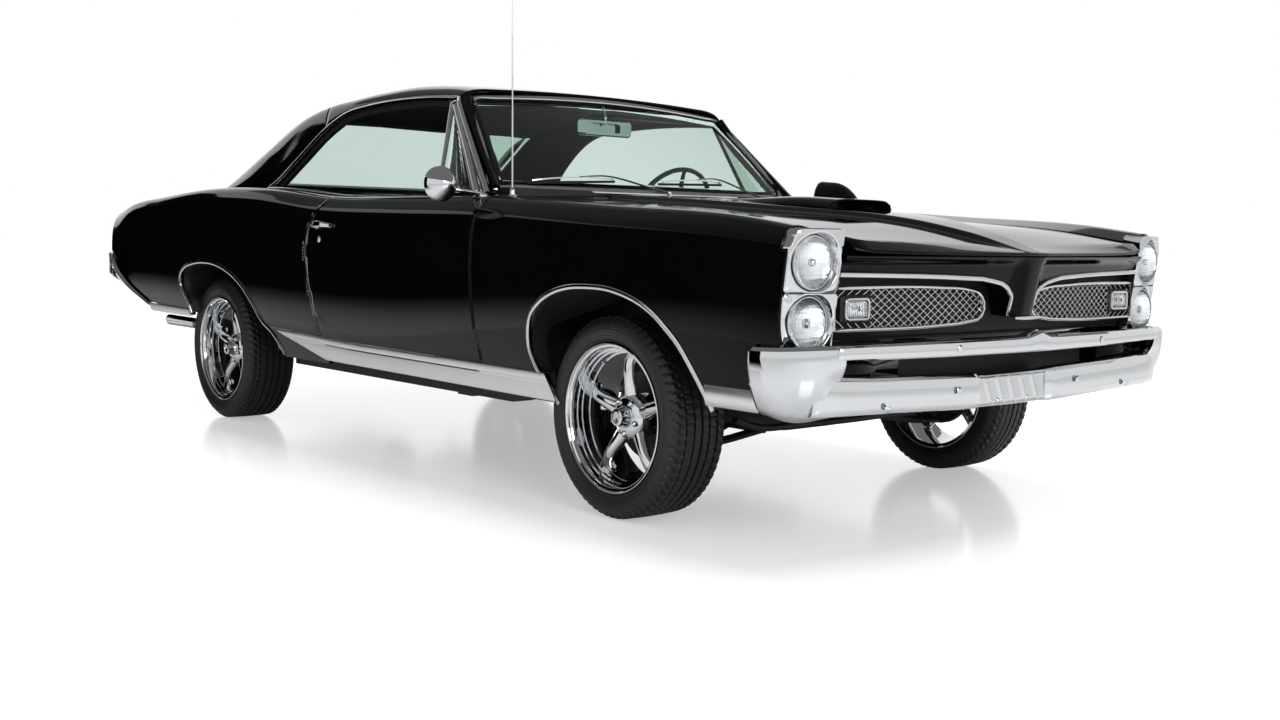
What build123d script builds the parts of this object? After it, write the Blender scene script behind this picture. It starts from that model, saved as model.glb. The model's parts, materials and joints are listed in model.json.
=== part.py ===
"""A two-door muscle car hardtop of the late 1960s: separate frame, long hood with a scoop,
stacked headlamps, split grilles, coke-bottle quarters and sail-panel roof.

Frame: +X to the front, +Y to the car's left, +Z up, millimetres. The origin is on the ground,
midway between the bumpers' extremes and on the car's centre plane.
"""

from build123d import *
from collections import namedtuple
import math
import os

# ---- Driving dimensions ------------------------------------------------------------------
WHEELBASE = 2921.0
FRONT_OVERHANG = 980.0
REAR_OVERHANG = 1347.0
FRONT_TRACK = 1548.0
REAR_TRACK = 1510.0
PANEL_GAP = 7.0          # between a door, hood or lid and the fixed panels
SEAT = 0.3               # between a piece and what it seats on
SKIN = 20.0              # fender and rear quarter wall
CABIN_WALL = 125.0       # door and cabin side, outer skin to trim

# Tyres and wheels
TYRE_RADIUS = 316.5
TYRE_WIDTH = 222.0
TYRE_SHOULDER = 26.0
RIM_RADIUS = 234.0       # flange
RIM_SEAT_RADIUS = 215.9  # 17 inch bead seat
RIM_WALL = 7.0
SPOKE_COUNT = 5
SPOKE_WIDTH = 46.0
HUB_RADIUS = 78.0
KINGPIN_INSET = 92.0     # kingpin axis inboard of the wheel's centre plane

# Heights above the ground
SILL_Z = 356.0
ROCKER_TOP_Z = 438.0
WAIST_Z = 700.0
FLOOR_Z = 345.0
FLOOR_THICK = 24.0
AXLE_FLOOR_Z = 560.0
TRUNK_FLOOR_Z = 485.0
FRAME_TOP_Z = FLOOR_Z - SEAT
FRAME_HEIGHT = 64.0
FRAME_WIDTH = 70.0

WINDSHIELD_BASE_Z = 1036.0

# Half widths
HOOD_HALF = 712.0
DECK_HALF = 604.0
BELT_HALF = 748.0        # inner top edge of doors and cabin sides

FRONT_AXLE_X = (FRONT_OVERHANG + WHEELBASE + REAR_OVERHANG) / 2 - FRONT_OVERHANG
REAR_AXLE_X = FRONT_AXLE_X - WHEELBASE


def xf(ahead):
    """X of a place this far ahead of the front axle."""
    return FRONT_AXLE_X + ahead


def xr(ahead):
    """X of a place this far ahead of the rear axle."""
    return REAR_AXLE_X + ahead


DOOR_FRONT_X = xf(-690.0)
DOOR_REAR_X = xr(1043.0)
LAMP_BACK_X = xf(774.0)
TAIL_X = xr(-1236.0)
HOOD_REAR_X = xf(-712.0)
DECK_FRONT_X = xr(-118.0)
DECK_REAR_X = TAIL_X + PANEL_GAP + 1
SAIL_BASE_FRONT_X = xr(302.0)
SAIL_BASE_REAR_X = xr(-282.0)
CABIN_BACK_X = xr(120.0)

Station = namedtuple("Station", "x sill_y waist_y shoulder_y shoulder_z peak_y peak_z edge_z mid_z")
# The body's cross-sections: sill, waist (the widest line), shoulder, the peak line that runs the
# length of the car, the side edge of hood or deck, and the centre line.
BODY = [
    Station(xf(845), 886, 924, 922, 856, 878, 917, 882, 872),
    Station(xf(560), 888, 940, 934, 886, 874, 950, 920, 930),
    Station(xf(0), 890, 946, 938, 905, 874, 974, 954, 978),
    Station(xf(-690), 892, 940, 928, 925, 862, 1003, 992, 1012),
    Station(xf(-1250), 892, 933, 917, 925, 852, 1002, 992, 1012),
    Station(xr(1043), 892, 936, 920, 930, 858, 1004, 996, 1012),
    Station(xr(500), 892, 944, 934, 955, 880, 1040, 1030, 1060),
    Station(xr(0), 892, 948, 940, 960, 890, 1041, 1034, 1068),
    Station(xr(-600), 880, 942, 932, 930, 880, 1005, 1000, 1036),
    Station(xr(-1000), 868, 926, 914, 905, 862, 974, 966, 992),
    Station(TAIL_X, 856, 900, 888, 868, 842, 932, 926, 946),
]


def body_at(x):
    """The body's cross-section at X, straight between the stations."""
    for front, rear in zip(BODY, BODY[1:]):
        if x >= rear.x:
            share = (front.x - x) / (front.x - rear.x)
            return Station(*(a + (b - a) * share for a, b in zip(front, rear)))
    return BODY[-1]


def ring(points):
    return Wire.make_polygon([Vector(*p) for p in points], close=True)


def skin(rings):
    """A solid with straight flanks through rings of as many corners each."""
    return Solid.make_loft(rings, ruled=True)


def block(x0, x1, y0, y1, z0, z1):
    middle = Pos((x0 + x1) / 2, (y0 + y1) / 2, (z0 + z1) / 2)
    return middle * Box(abs(x1 - x0), abs(y1 - y0), abs(z1 - z0))


def rod(start, end, radius):
    path = Vector(*end) - Vector(*start)
    return Solid.make_cylinder(radius, path.length, Plane(origin=start, z_dir=path.normalized()))


def along_y(radius, x, y0, y1, z):
    return rod((x, min(y0, y1), z), (x, max(y0, y1), z), radius)


def other_side(shape):
    return mirror(shape, about=Plane.XZ)


def both(shape):
    return [shape, other_side(shape)]


def stations(front_x, rear_x):
    """The X of each cross-section from front_x back to rear_x."""
    return [front_x] + [s.x for s in BODY if rear_x < s.x < front_x] + [rear_x]


def side_y(s, z):
    """Half width of the body's side at a height below its shoulder."""
    low, high = ((s.sill_y, SILL_Z), (s.waist_y, WAIST_Z)) if z < WAIST_Z else (
        (s.waist_y, WAIST_Z), (s.shoulder_y, s.shoulder_z))
    return low[0] + (high[0] - low[0]) * (z - low[1]) / (high[1] - low[1])


def side_ring(x, bottom_z, edge_y, wall):
    """Left body side at X: outside from the bottom up to the top edge, then back down inside."""
    s = body_at(x)
    edge_z = body_top_z(x, edge_y)
    corner_y = max(edge_y + 1, s.peak_y - wall + SKIN / 2)
    return ring([
        (x, side_y(s, bottom_z), bottom_z), (x, s.waist_y, WAIST_Z),
        (x, s.shoulder_y, s.shoulder_z), (x, s.peak_y, s.peak_z), (x, edge_y, edge_z),
        (x, edge_y, edge_z - SKIN), (x, corner_y, min(edge_z, s.peak_z) - SKIN * 1.1),
        (x, s.shoulder_y - wall, s.shoulder_z - 4),
        (x, s.waist_y - wall, WAIST_Z), (x, side_y(s, bottom_z) - wall, bottom_z),
    ])


def body_top_z(x, y):
    """Height of a fender's or door's top between its peak line and its inner edge."""
    s = body_at(x)
    return s.peak_z + (s.edge_z - s.peak_z) * (s.peak_y - y) / (s.peak_y - HOOD_HALF)


def side_panel(front_x, rear_x, bottom_z, edge_y, wall):
    return skin([side_ring(x, bottom_z, edge_y, wall) for x in stations(front_x, rear_x)])


# ---- Wheel openings ----------------------------------------------------------------------
# Each outline runs over the wheel from its front foot to its rear foot, as arcs through
# (ahead of the axle, height): foot, via, end of the front arc, via, end of the rear arc.
FRONT_OPENING = [(528, 330), (434, 505), (300, 641), (-34, 724), (-303, 660), (-380, 550), (-336, 330)]
REAR_OPENING = [(640, 330), (500, 530), (346, 652), (60, 713), (-150, 694), (-265, 610), (-215, 400)]


def opening_face(axle_x, outline, grow=0.0):
    """The wheel opening on the centre plane, grown outwards by a margin."""
    cx, cz = axle_x, TYRE_RADIUS
    p = []
    for ahead, height in outline:
        away = Vector(ahead, 0, height - TYRE_RADIUS)
        away = away + away.normalized() * grow
        p.append((cx + away.X, 0, cz + away.Z))
    edges = [
        Line(p[0], p[1]), ThreePointArc(p[1], p[2], p[3]), ThreePointArc(p[3], p[4], p[5]),
        Line(p[5], p[6]), Line(p[6], p[0]),
    ]
    return make_face([e.edges()[0] for e in edges])


def opening_cut(axle_x, outline, y0, y1, grow=0.0):
    return Pos(0, y0, 0) * extrude(opening_face(axle_x, outline, grow), amount=y1 - y0, dir=(0, 1, 0))


WHEEL_CUT_Y = (560.0, 1100.0)


def make_front_fender():
    whole = side_panel(LAMP_BACK_X, DOOR_FRONT_X + PANEL_GAP, SILL_Z, HOOD_HALF + PANEL_GAP, SKIN)
    nose_low = block(BUMPER_END_X - PANEL_GAP, xf(900), 600, 1100, SILL_Z - 10, BUMPER_END_TOP_Z + 8)
    apron_low = block(xf(300), xf(900), 600, 1100, SILL_Z - 10, APRON_LOW_Z)
    return whole - opening_cut(FRONT_AXLE_X, FRONT_OPENING, *WHEEL_CUT_Y) - nose_low - apron_low


BUMPER_END_TOP_Z = 592.0
BUMPER_END_X = xf(692.0)
APRON_LOW_Z = 407.0
APRON_TRIM_TOP_Z = 468.0
ROCKER_MOULDING = 7.0


def make_quarter():
    cabin = side_panel(DOOR_REAR_X - PANEL_GAP, CABIN_BACK_X, SILL_Z, BELT_HALF, CABIN_WALL)
    rear = side_panel(CABIN_BACK_X, TAIL_X, QUARTER_BOTTOM_Z, DECK_HALF + PANEL_GAP, SKIN)
    tub_room = block(xr(0), TUB_FRONT_X + 2 * SEAT, TUB_WALL_Y - SEAT, TUB_OUTER_Y + SEAT, 300, TUB_TOP_Z + SEAT)
    under = skin([ring([(x, y, z) for x, z in QUARTER_TAIL_CUT]) for y in (600, 1000)])
    opening = opening_cut(REAR_AXLE_X, REAR_OPENING, *WHEEL_CUT_Y)
    return (cabin - tub_room - opening) + (rear - under - opening)


QUARTER_BOTTOM_Z = 452.0
BUMPER_TOP_Z = 727.0
QUARTER_TAIL_CUT = [(TAIL_X - 50, BUMPER_TOP_Z), (TAIL_X + 8, BUMPER_TOP_Z), (xr(-700), 498), (xr(-700), 400), (TAIL_X - 50, 400)]
TUB_FRONT_X = xr(476.0) - SEAT
TUB_REAR_X = xr(-440.0)
TUB_WALL_Y = REAR_TRACK / 2 - TYRE_WIDTH / 2 - 74.0 + SEAT
TUB_OUTER_Y = 905.0
TUB_TOP_Z = 800.0


def make_door():
    front, rear = DOOR_FRONT_X, DOOR_REAR_X
    door = side_panel(front, rear, ROCKER_TOP_Z + PANEL_GAP, BELT_HALF, CABIN_WALL)
    bevel = skin([ring([(rear - 1, 925, z), (rear - 1, 700, z), (rear + 28, 700, z)]) for z in (400, 1100)])
    return door - bevel


# ---- Hood, deck and cowl -----------------------------------------------------------------
HOOD_THICK = 26.0
NOSE_SEAM_Z = 838.0
NOSE_POINT_X = xf(952.0)
NOSE_SIDE_X = xf(862.0)


def hood_ring(y, nose_x, crown):
    """Side view of the hood at a distance from the centre plane; crown 0 at the edge, 1 at the middle."""
    top = []
    for x in stations(min(nose_x - 60, BODY[0].x), HOOD_REAR_X):
        s = body_at(x)
        top.append((x, s.edge_z + (s.mid_z - s.edge_z) * crown))
    under = [(nose_x - 8, NOSE_SEAM_Z + PANEL_GAP)] + [(x, z - HOOD_THICK) for x, z in top]
    top.insert(0, (nose_x, NOSE_SEAM_Z + PANEL_GAP + 6))
    return ring([(x, y, z) for x, z in top] + [(x, y, z) for x, z in reversed(under)])


PEAK_NOSE_HALF = 48.0
PEAK_COWL_HALF = 350.0
PEAK_HEIGHT = 16.0
SCOOP_FRONT_X = xf(315.0)
SCOOP_REAR_X = xf(-330.0)
SCOOP_HALF = 150.0
SCOOP_HEIGHT = 44.0


def centre_z(x):
    return body_at(min(x, BODY[0].x)).mid_z


def make_hood():
    edge = HOOD_HALF
    plate = skin([
        hood_ring(-edge, NOSE_SIDE_X, 0), hood_ring(-PEAK_NOSE_HALF, NOSE_POINT_X, 1),
        hood_ring(PEAK_NOSE_HALF, NOSE_POINT_X, 1), hood_ring(edge, NOSE_SIDE_X, 0),
    ])
    peak = []
    for x in (NOSE_POINT_X - 90, xf(560), xf(0), HOOD_REAR_X):
        share = (NOSE_POINT_X - x) / (NOSE_POINT_X - HOOD_REAR_X)
        half = PEAK_NOSE_HALF + (PEAK_COWL_HALF - PEAK_NOSE_HALF) * share
        rise = PEAK_HEIGHT if x < xf(700) else 3.0
        z = centre_z(x)
        peak.append(ring([(x, -half, z - 20), (x, -half + 22, z + rise - 4), (x, 0, z + rise),
                          (x, half - 22, z + rise - 4), (x, half, z - 20)]))
    scoop = []
    for x, half, rise in ((SCOOP_FRONT_X, SCOOP_HALF, SCOOP_HEIGHT), (xf(150), SCOOP_HALF, SCOOP_HEIGHT),
                          (SCOOP_REAR_X, SCOOP_HALF - 60, PEAK_HEIGHT + 1)):
        z = centre_z(x)
        scoop.append(ring([(x, -half, z), (x, -half + 25, z + rise), (x, half - 25, z + rise), (x, half, z)]))
    mouth_z = centre_z(SCOOP_FRONT_X)
    mouth = block(SCOOP_FRONT_X - 90, SCOOP_FRONT_X + 20, -SCOOP_HALF + 30, SCOOP_HALF - 30,
                  mouth_z + PEAK_HEIGHT + 2, mouth_z + SCOOP_HEIGHT - 7)
    return plate + skin(peak) + (skin(scoop) - mouth)


TACH_X = xf(-190.0)
TACH_Y = 326.0


def hood_top_z(x, y):
    """Height of the hood's plain surface, outside its raised middle."""
    s = body_at(x)
    return s.edge_z + (s.mid_z - s.edge_z) * (HOOD_HALF - y) / (HOOD_HALF - PEAK_NOSE_HALF)


def make_tachometer():
    """Pod that stands on the hood in the driver's line of sight, dial to the rear."""
    rings = []
    for ahead, half, high in ((-85, 52, 108), (0, 52, 108), (70, 42, 62), (105, 26, 22)):
        x, left, right = TACH_X + ahead, TACH_Y + half, TACH_Y - half
        top = hood_top_z(x, TACH_Y) + high
        rings.append(ring([
            (x, right, hood_top_z(x, right) + SEAT), (x, TACH_Y - half * 0.7, top),
            (x, TACH_Y + half * 0.7, top), (x, left, hood_top_z(x, left) + SEAT)]))
    return skin(rings)


DECK_THICK = 26.0


def make_trunk_lid():
    rings = []
    for x in stations(DECK_FRONT_X, DECK_REAR_X):
        s = body_at(x)
        e = DECK_HALF
        rings.append(ring([(x, -e, s.edge_z), (x, -e * 0.5, s.mid_z - 6), (x, e * 0.5, s.mid_z - 6), (x, e, s.edge_z),
                           (x, e, s.edge_z - DECK_THICK), (x, -e, s.edge_z - DECK_THICK)]))
    return skin(rings)


FIREWALL_X = xf(-735.0)


COWL_LOW_Z = 944.0
DOOR_HINGE_Z = (590.0, 850.0)
HOOD_HINGE_Y = 590.0
LID_HINGE_Y = 305.0
DASH_HALF = 640.0


def make_cowl(fender):
    """Cowl top, firewall and the two hinge pillars in front of the doors."""
    rings = []
    y = HOOD_HALF + PANEL_GAP - SEAT
    lip_z = WINDSHIELD_BASE_Z - SEAT
    for x, edge_z, mid_z in ((HOOD_REAR_X - PANEL_GAP, 986, 1012), (xf(-775), 990, 1018),
                             (SHIELD_BASE_MID_X + 3, lip_z, lip_z), (SHIELD_BASE_SIDE_X - 12, lip_z, lip_z)):
        rings.append(ring([(x, -y, edge_z), (x, 0, mid_z), (x, y, edge_z), (x, y, COWL_LOW_Z), (x, -y, COWL_LOW_Z)]))
    foot = block(SHIELD_BASE_SIDE_X - 12, PILLAR_BASE[0] - PILLAR_DEPTH - 4, DASH_HALF + SEAT, y, COWL_LOW_Z, lip_z)
    wall = block(FIREWALL_X - 20, FIREWALL_X, -BELT_HALF + 8, BELT_HALF - 8, FLOOR_Z + FLOOR_THICK + SEAT, 960)
    wall -= block(FIREWALL_X - 30, FIREWALL_X + 10, -TUNNEL_HALF - SEAT, TUNNEL_HALF + SEAT, 300, TUNNEL_TOP_Z + SEAT)
    pillar = block(DOOR_FRONT_X + PANEL_GAP, DOOR_FRONT_X + 82, 640, 885, SILL_Z + 90, 940) - fender
    for z in DOOR_HINGE_Z:
        pillar += block(DOOR_FRONT_X + SEAT, DOOR_FRONT_X + PANEL_GAP + 5, 790, 850, z - 30, z + 30)
    for y in (-HOOD_HINGE_Y, HOOD_HINGE_Y):
        rings_front_x = HOOD_REAR_X - PANEL_GAP
        wall += block(rings_front_x - 5, HOOD_REAR_X - SEAT, y - 30, y + 30, 969, 984)
    link = block(FIREWALL_X - 20, DOOR_FRONT_X + 40, 630, 700, SILL_Z + 90, 940)
    return skin(rings) + wall + pillar + other_side(pillar) + link + other_side(link) + foot + other_side(foot)


# ---- Greenhouse --------------------------------------------------------------------------
Roofline = namedtuple("Roofline", "x rail_y rail_z mid_z")
ROOF = [
    Roofline(xf(-1224), 602, 1370, 1418),
    Roofline(xf(-1560), 622, 1384, 1440),
    Roofline(xr(1050), 622, 1382, 1442),
    Roofline(xr(640), 606, 1366, 1420),
    Roofline(xr(500), 596, 1352, 1400),
]
ROOF_THICK = 30.0
ROOF_SHOULDER = 0.8      # share of the half width at which the roof turns down to its rail
PILLAR_BASE = (xf(-905.0), 738.0, WINDSHIELD_BASE_Z)
PILLAR_DEPTH = 62.0
PILLAR_WIDTH = 46.0
SHIELD_BASE_MID_X = xf(-792.0)
SHIELD_BASE_SIDE_X = xf(-912.0)
SHIELD_TOP_MID_X = xf(-1222.0)
SHIELD_TOP_SIDE_X = xf(-1290.0)
SHIELD_BASE_HALF = 688.0
SHIELD_TOP_HALF = 556.0
SHIELD_TOP_Z = 1364.0
GLASS_THICK = 10.0


def bow(side_x, mid_x, half, thick, z):
    """A curved strip across the car in a level plane: its front bow, then its back one."""
    front = ThreePointArc((side_x, -half, z), (mid_x, 0, z), (side_x, half, z))
    back = ThreePointArc((side_x - thick, half, z), (mid_x - thick, 0, z), (side_x - thick, -half, z))
    edges = [front, Line(front @ 1, back @ 0), back, Line(back @ 1, front @ 0)]
    return Wire([e.edges()[0] for e in edges])


def shield_bow(rise, ahead, margin, thick):
    """The windshield's curve at a share of its height, moved ahead and widened by a margin."""
    side_x, mid_x, half, z = (low + (high - low) * rise for low, high in (
        (SHIELD_BASE_SIDE_X, SHIELD_TOP_SIDE_X), (SHIELD_BASE_MID_X, SHIELD_TOP_MID_X),
        (SHIELD_BASE_HALF, SHIELD_TOP_HALF), (WINDSHIELD_BASE_Z, SHIELD_TOP_Z)))
    return bow(side_x + ahead, mid_x + ahead, half + margin, thick, z)


def make_windshield():
    return skin([shield_bow(rise, 0, 0, GLASS_THICK) for rise in (0, 1)])


BACKLIGHT_TOP_X = xr(478.0)
BACKLIGHT_BASE_X = xr(-28.0)
BACKLIGHT_TOP_HALF = 530.0
BACKLIGHT_BASE_HALF = 560.0
BACKLIGHT_BASE_Z = 1066.0
BACKLIGHT_TOP_Z = 1356.0


def make_rear_window():
    return skin([
        bow(BACKLIGHT_BASE_X, BACKLIGHT_BASE_X - 18, BACKLIGHT_BASE_HALF, 12, BACKLIGHT_BASE_Z),
        bow(BACKLIGHT_TOP_X, BACKLIGHT_TOP_X - 18, BACKLIGHT_TOP_HALF, 12, BACKLIGHT_TOP_Z),
    ])


def make_roof():
    rings = []
    for r in ROOF:
        crown = r.rail_y * ROOF_SHOULDER
        rings.append(ring([
            (r.x, -r.rail_y, r.rail_z), (r.x, -crown, r.mid_z - 8), (r.x, 0, r.mid_z), (r.x, crown, r.mid_z - 8),
            (r.x, r.rail_y, r.rail_z), (r.x, r.rail_y - 20, r.rail_z - ROOF_THICK),
            (r.x, -r.rail_y + 20, r.rail_z - ROOF_THICK)]))
    whole = skin(rings)
    bx, by, bz = PILLAR_BASE
    top = ROOF[0]
    pillar = skin([
        ring([(bx, by - PILLAR_WIDTH, bz), (bx, by, bz), (bx - PILLAR_DEPTH, by + 4, bz),
              (bx - PILLAR_DEPTH, by - PILLAR_WIDTH, bz)]),
        ring([(top.x + 12, top.rail_y - PILLAR_WIDTH, top.rail_z - 20), (top.x + 12, top.rail_y, top.rail_z - 20),
              (top.x - PILLAR_DEPTH, top.rail_y + 4, top.rail_z - 20),
              (top.x - PILLAR_DEPTH, top.rail_y - PILLAR_WIDTH, top.rail_z - 20)]),
    ])
    rear, fore = ROOF[-1], ROOF[-2]
    sail = skin([
        ring([(SAIL_BASE_FRONT_X, 640, 1000), (SAIL_BASE_FRONT_X, 772, 1000), (SAIL_BASE_REAR_X, 690, 1000),
              (SAIL_BASE_REAR_X, 630, 1000)]),
        ring([(fore.x + 120, 560, fore.rail_z - 16), (fore.x + 120, fore.rail_y + 4, fore.rail_z - 16),
              (rear.x - 60, rear.rail_y - 10, rear.rail_z - 4), (rear.x - 60, 540, rear.rail_z - 4)]),
    ])
    opening = skin([shield_bow(rise, 150, 2, 150 + GLASS_THICK + 2) for rise in (-0.1, 1.15)])
    tulip = block(DECK_FRONT_X + PANEL_GAP, BACKLIGHT_BASE_X - 6, -640, 640, 1024, BACKLIGHT_BASE_Z - SEAT)
    for y in (-LID_HINGE_Y, LID_HINGE_Y):
        tulip += block(DECK_FRONT_X + SEAT, DECK_FRONT_X + PANEL_GAP + 5, y - 25, y + 25, 1026, 1044)
    return (whole + pillar + other_side(pillar) - opening) + sail + other_side(sail) + tulip


# ---- Front end ---------------------------------------------------------------------------
BEZEL_FRONT_X = xf(845.0)
BEZEL_INNER_Y = HOOD_HALF + 24.0
LAMP_Y = 826.0
UPPER_LAMP = (xf(808.0), 820.0)
LOWER_LAMP = (xf(792.0), 656.0)
LAMP_RADIUS = 72.0
CUP_RADIUS = 80.0
CUP_DEPTH = 12.0


def bezel_face_x(z):
    """The bezel's front face leans: its top is further forward."""
    low_z, high_z = 574.0, 905.0
    return xf(802) + (BEZEL_FRONT_X - xf(802)) * (z - low_z) / (high_z - low_z)


def make_bezel():
    s = body_at(LAMP_BACK_X)
    outline = [(BEZEL_INNER_Y, 574), (906, 574), (s.waist_y - 10, WAIST_Z), (s.shoulder_y - 6, 850),
               (s.peak_y - 6, s.peak_z - 8), (BEZEL_INNER_Y, s.peak_z - 40)]
    whole = skin([ring([(LAMP_BACK_X + SEAT, y, z) for y, z in outline]),
                  ring([(bezel_face_x(z), y, z) for y, z in outline])])
    for lamp_x, lamp_z in (UPPER_LAMP, LOWER_LAMP):
        whole -= rod((lamp_x - CUP_DEPTH, LAMP_Y, lamp_z), (lamp_x + 80, LAMP_Y, lamp_z), CUP_RADIUS)
    return whole


def make_lamp(lamp_x, y, lamp_z):
    """Sealed lamp: a drum with a domed lens, seated on the bottom of its cup."""
    profile = [(0, SEAT - CUP_DEPTH), (LAMP_RADIUS, SEAT - CUP_DEPTH), (LAMP_RADIUS, 0), (LAMP_RADIUS * 0.7, 9), (LAMP_RADIUS * 0.35, 13), (0, 14)]
    lamp = revolve(make_face(Polyline(*profile, close=True)), Axis.Y)
    return Pos(lamp_x, y, lamp_z) * Rot(0, 0, -90) * lamp


def make_lamps():
    lamps = [make_lamp(x, side * LAMP_Y, z) for x, z in (UPPER_LAMP, LOWER_LAMP) for side in (1, -1)]
    parking = block(GRILLE_X + 8, GRILLE_X + 40, PARKING_Y - 52, PARKING_Y + 52, 660, 720)
    return lamps + both(parking)


GRILLE_X = xf(806.0)
PARKING_Y = 655.0
GRILLE_LOW_Z = 612.0
GRILLE_HIGH_Z = 776.0


def make_grille():
    """Insert with a bright rim, tapered to its inner end, on a black back plate."""
    outline = [(746, 634), (746, 748), (330, 748), (170, 722), (118, 690), (170, 652), (330, 634)]
    back = block(GRILLE_X - 30, GRILLE_X - 18, 62, 730, GRILLE_LOW_Z, GRILLE_HIGH_Z)
    face = [(min(y, 729), z) for y, z in outline]
    insert = skin([ring([(GRILLE_X - 18, y, z) for y, z in face]), ring([(GRILLE_X, y, z) for y, z in face])])
    lamp_room = block(GRILLE_X - 4, GRILLE_X + 30, PARKING_Y - 60, PARKING_Y + 60, 652, 728)
    rim = skin([ring([(GRILLE_X - 1, y, z) for y, z in face]), ring([(GRILLE_X + 8, y, z) for y, z in face])])
    inner = [(y + (12 if y < 300 else -8), z + (-8 if z > 690 else 8)) for y, z in face]
    rim -= skin([ring([(GRILLE_X - 1, y, z) for y, z in inner]), ring([(GRILLE_X + 9, y, z) for y, z in inner])])
    foot = block(GRILLE_X - 4, GRILLE_X + 8 - SEAT, PARKING_Y - 56, PARKING_Y + 56, 656, 724)
    return back + insert + (rim - lamp_room) + foot


def make_nose():
    """Painted header above the grilles with the beak that parts them."""
    def nose_ring(y, front_x, low_z, low_x):
        return ring([(front_x, y, NOSE_SEAM_Z), (low_x, y, low_z), (low_x - 90, y, low_z),
                     (front_x - 110, y, NOSE_SEAM_Z)])
    half = [
        nose_ring(BEZEL_INNER_Y - SEAT, NOSE_SIDE_X - 4, 790, NOSE_SIDE_X - 18),
        nose_ring(400, xf(906), 782, xf(890)),
        nose_ring(130, xf(940), 750, xf(916)),
        nose_ring(60, xf(948), 720, xf(916)),
    ]
    beak = skin([
        ring([(xf(952), 0, NOSE_SEAM_Z), (xf(948), 60, NOSE_SEAM_Z), (xf(820), 60, NOSE_SEAM_Z),
              (xf(820), -60, NOSE_SEAM_Z), (xf(948), -60, NOSE_SEAM_Z)]),
        ring([(xf(914), 0, 656), (xf(908), 46, 656), (xf(800), 46, 656), (xf(800), -46, 656), (xf(908), -46, 656)]),
    ])
    return skin(half) + other_side(skin(half)) + beak


SUPPORT_X = xf(640.0)
FRONT_RAIL_TOP_Z = 450.0


def make_radiator():
    """Radiator core in its support, which also carries the nose and the grilles."""
    support = block(SUPPORT_X - 20, SUPPORT_X, -700, 700, FRONT_RAIL_TOP_Z + SEAT, 812)
    core = block(SUPPORT_X - 75, SUPPORT_X - 20, -330, 330, 460, 800)
    arms = [block(SUPPORT_X, GRILLE_X - 30 - SEAT, y - 15, y + 15, 640, 740) for y in (-700, -100, 100, 700)]
    top = block(SUPPORT_X - 20, xf(745), -690, 690, 800, 812)
    return support + core + arms[0] + arms[1] + arms[2] + arms[3] + top


# ---- Bumpers -----------------------------------------------------------------------------
BumperCut = namedtuple("BumperCut", "y front_x back_x low_z high_z")
UPPER_BAR = [
    BumperCut(0, xf(980), xf(925), 556, 622),
    BumperCut(60, xf(968), xf(915), 556, 604),
    BumperCut(400, xf(948), xf(895), 557, 602),
    BumperCut(790, xf(896), xf(852), 540, 600),
    BumperCut(880, xf(862), xf(816), 470, 596),
    BumperCut(916, xf(838), xf(806), 440, 594),
    BumperCut(920, xf(834), xf(720), 436, 594),
    BumperCut(944, xf(806), BUMPER_END_X, 420, 590),
]
LOWER_BAR = [
    BumperCut(0, xf(872), xf(830), 384, 488),
    BumperCut(170, xf(872), xf(830), 386, 490),
    BumperCut(200, xf(896), xf(845), 388, 496),
    BumperCut(760, xf(880), xf(820), 404, 512),
    BumperCut(880, xf(850), xf(735), 404, 530),
    BumperCut(944, xf(770), BUMPER_END_X, 408, 540),
]
REAR_BAR = [
    BumperCut(0, xr(-1347), xr(-1280), 520, 700),
    BumperCut(640, xr(-1322), TAIL_X - 32, 516, 704),
    BumperCut(860, xr(-1288), xr(-1246), 506, 718),
    BumperCut(908, xr(-1254), xr(-1240), 540, 724),
]


def bar(cuts):
    half = skin([ring([(c.back_x, c.y, c.low_z), (c.front_x, c.y, c.low_z + 10), (c.front_x, c.y, c.high_z - 8),
                       (c.back_x, c.y, c.high_z)]) for c in cuts])
    return half + other_side(half)


def make_front_bumper():
    bracket = block(RAIL[0].x + SEAT, xf(850), FRONT_RAIL_Y - 20, FRONT_RAIL_Y + 20, 400, FRONT_RAIL_TOP_Z - 5)
    upper = bar(UPPER_BAR)
    return [upper, (bar(LOWER_BAR) + bracket + other_side(bracket)) - upper]


def make_rear_bumper():
    """Rear bar with a slim strip each side that runs down the quarter's edge to its foot."""
    strip = []
    for x, low_y, high_y, low_z, high_z in ((TAIL_X + 6, 862, 905, 600, BUMPER_TOP_Z - SEAT),
                                            (xr(-702), 884, 936, 470, 496)):
        strip.append(ring([(x, low_y, low_z), (x, high_y, low_z), (x, high_y, high_z), (x, low_y, high_z)]))
    strip = skin(strip)
    end = block(TAIL_X - 60, TAIL_X + 8, 862, 905, 600, BUMPER_TOP_Z - SEAT)
    inner, outer = REAR_RAIL_Y - 25, REAR_RAIL_Y + 25
    bracket = block(xr(-1290), RAIL[-1].x - SEAT, inner, outer, TRUNK_FLOOR_Z - 60, TRUNK_FLOOR_Z - 1)
    bracket += block(xr(-1290), TAIL_X - 40, inner, outer, TRUNK_FLOOR_Z - 60, 560)
    half = strip + end + bracket
    return bar(REAR_BAR) + half + other_side(half)


# ---- Tail --------------------------------------------------------------------------------
TAIL_LAMP_Z = (772.0, 888.0)


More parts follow.
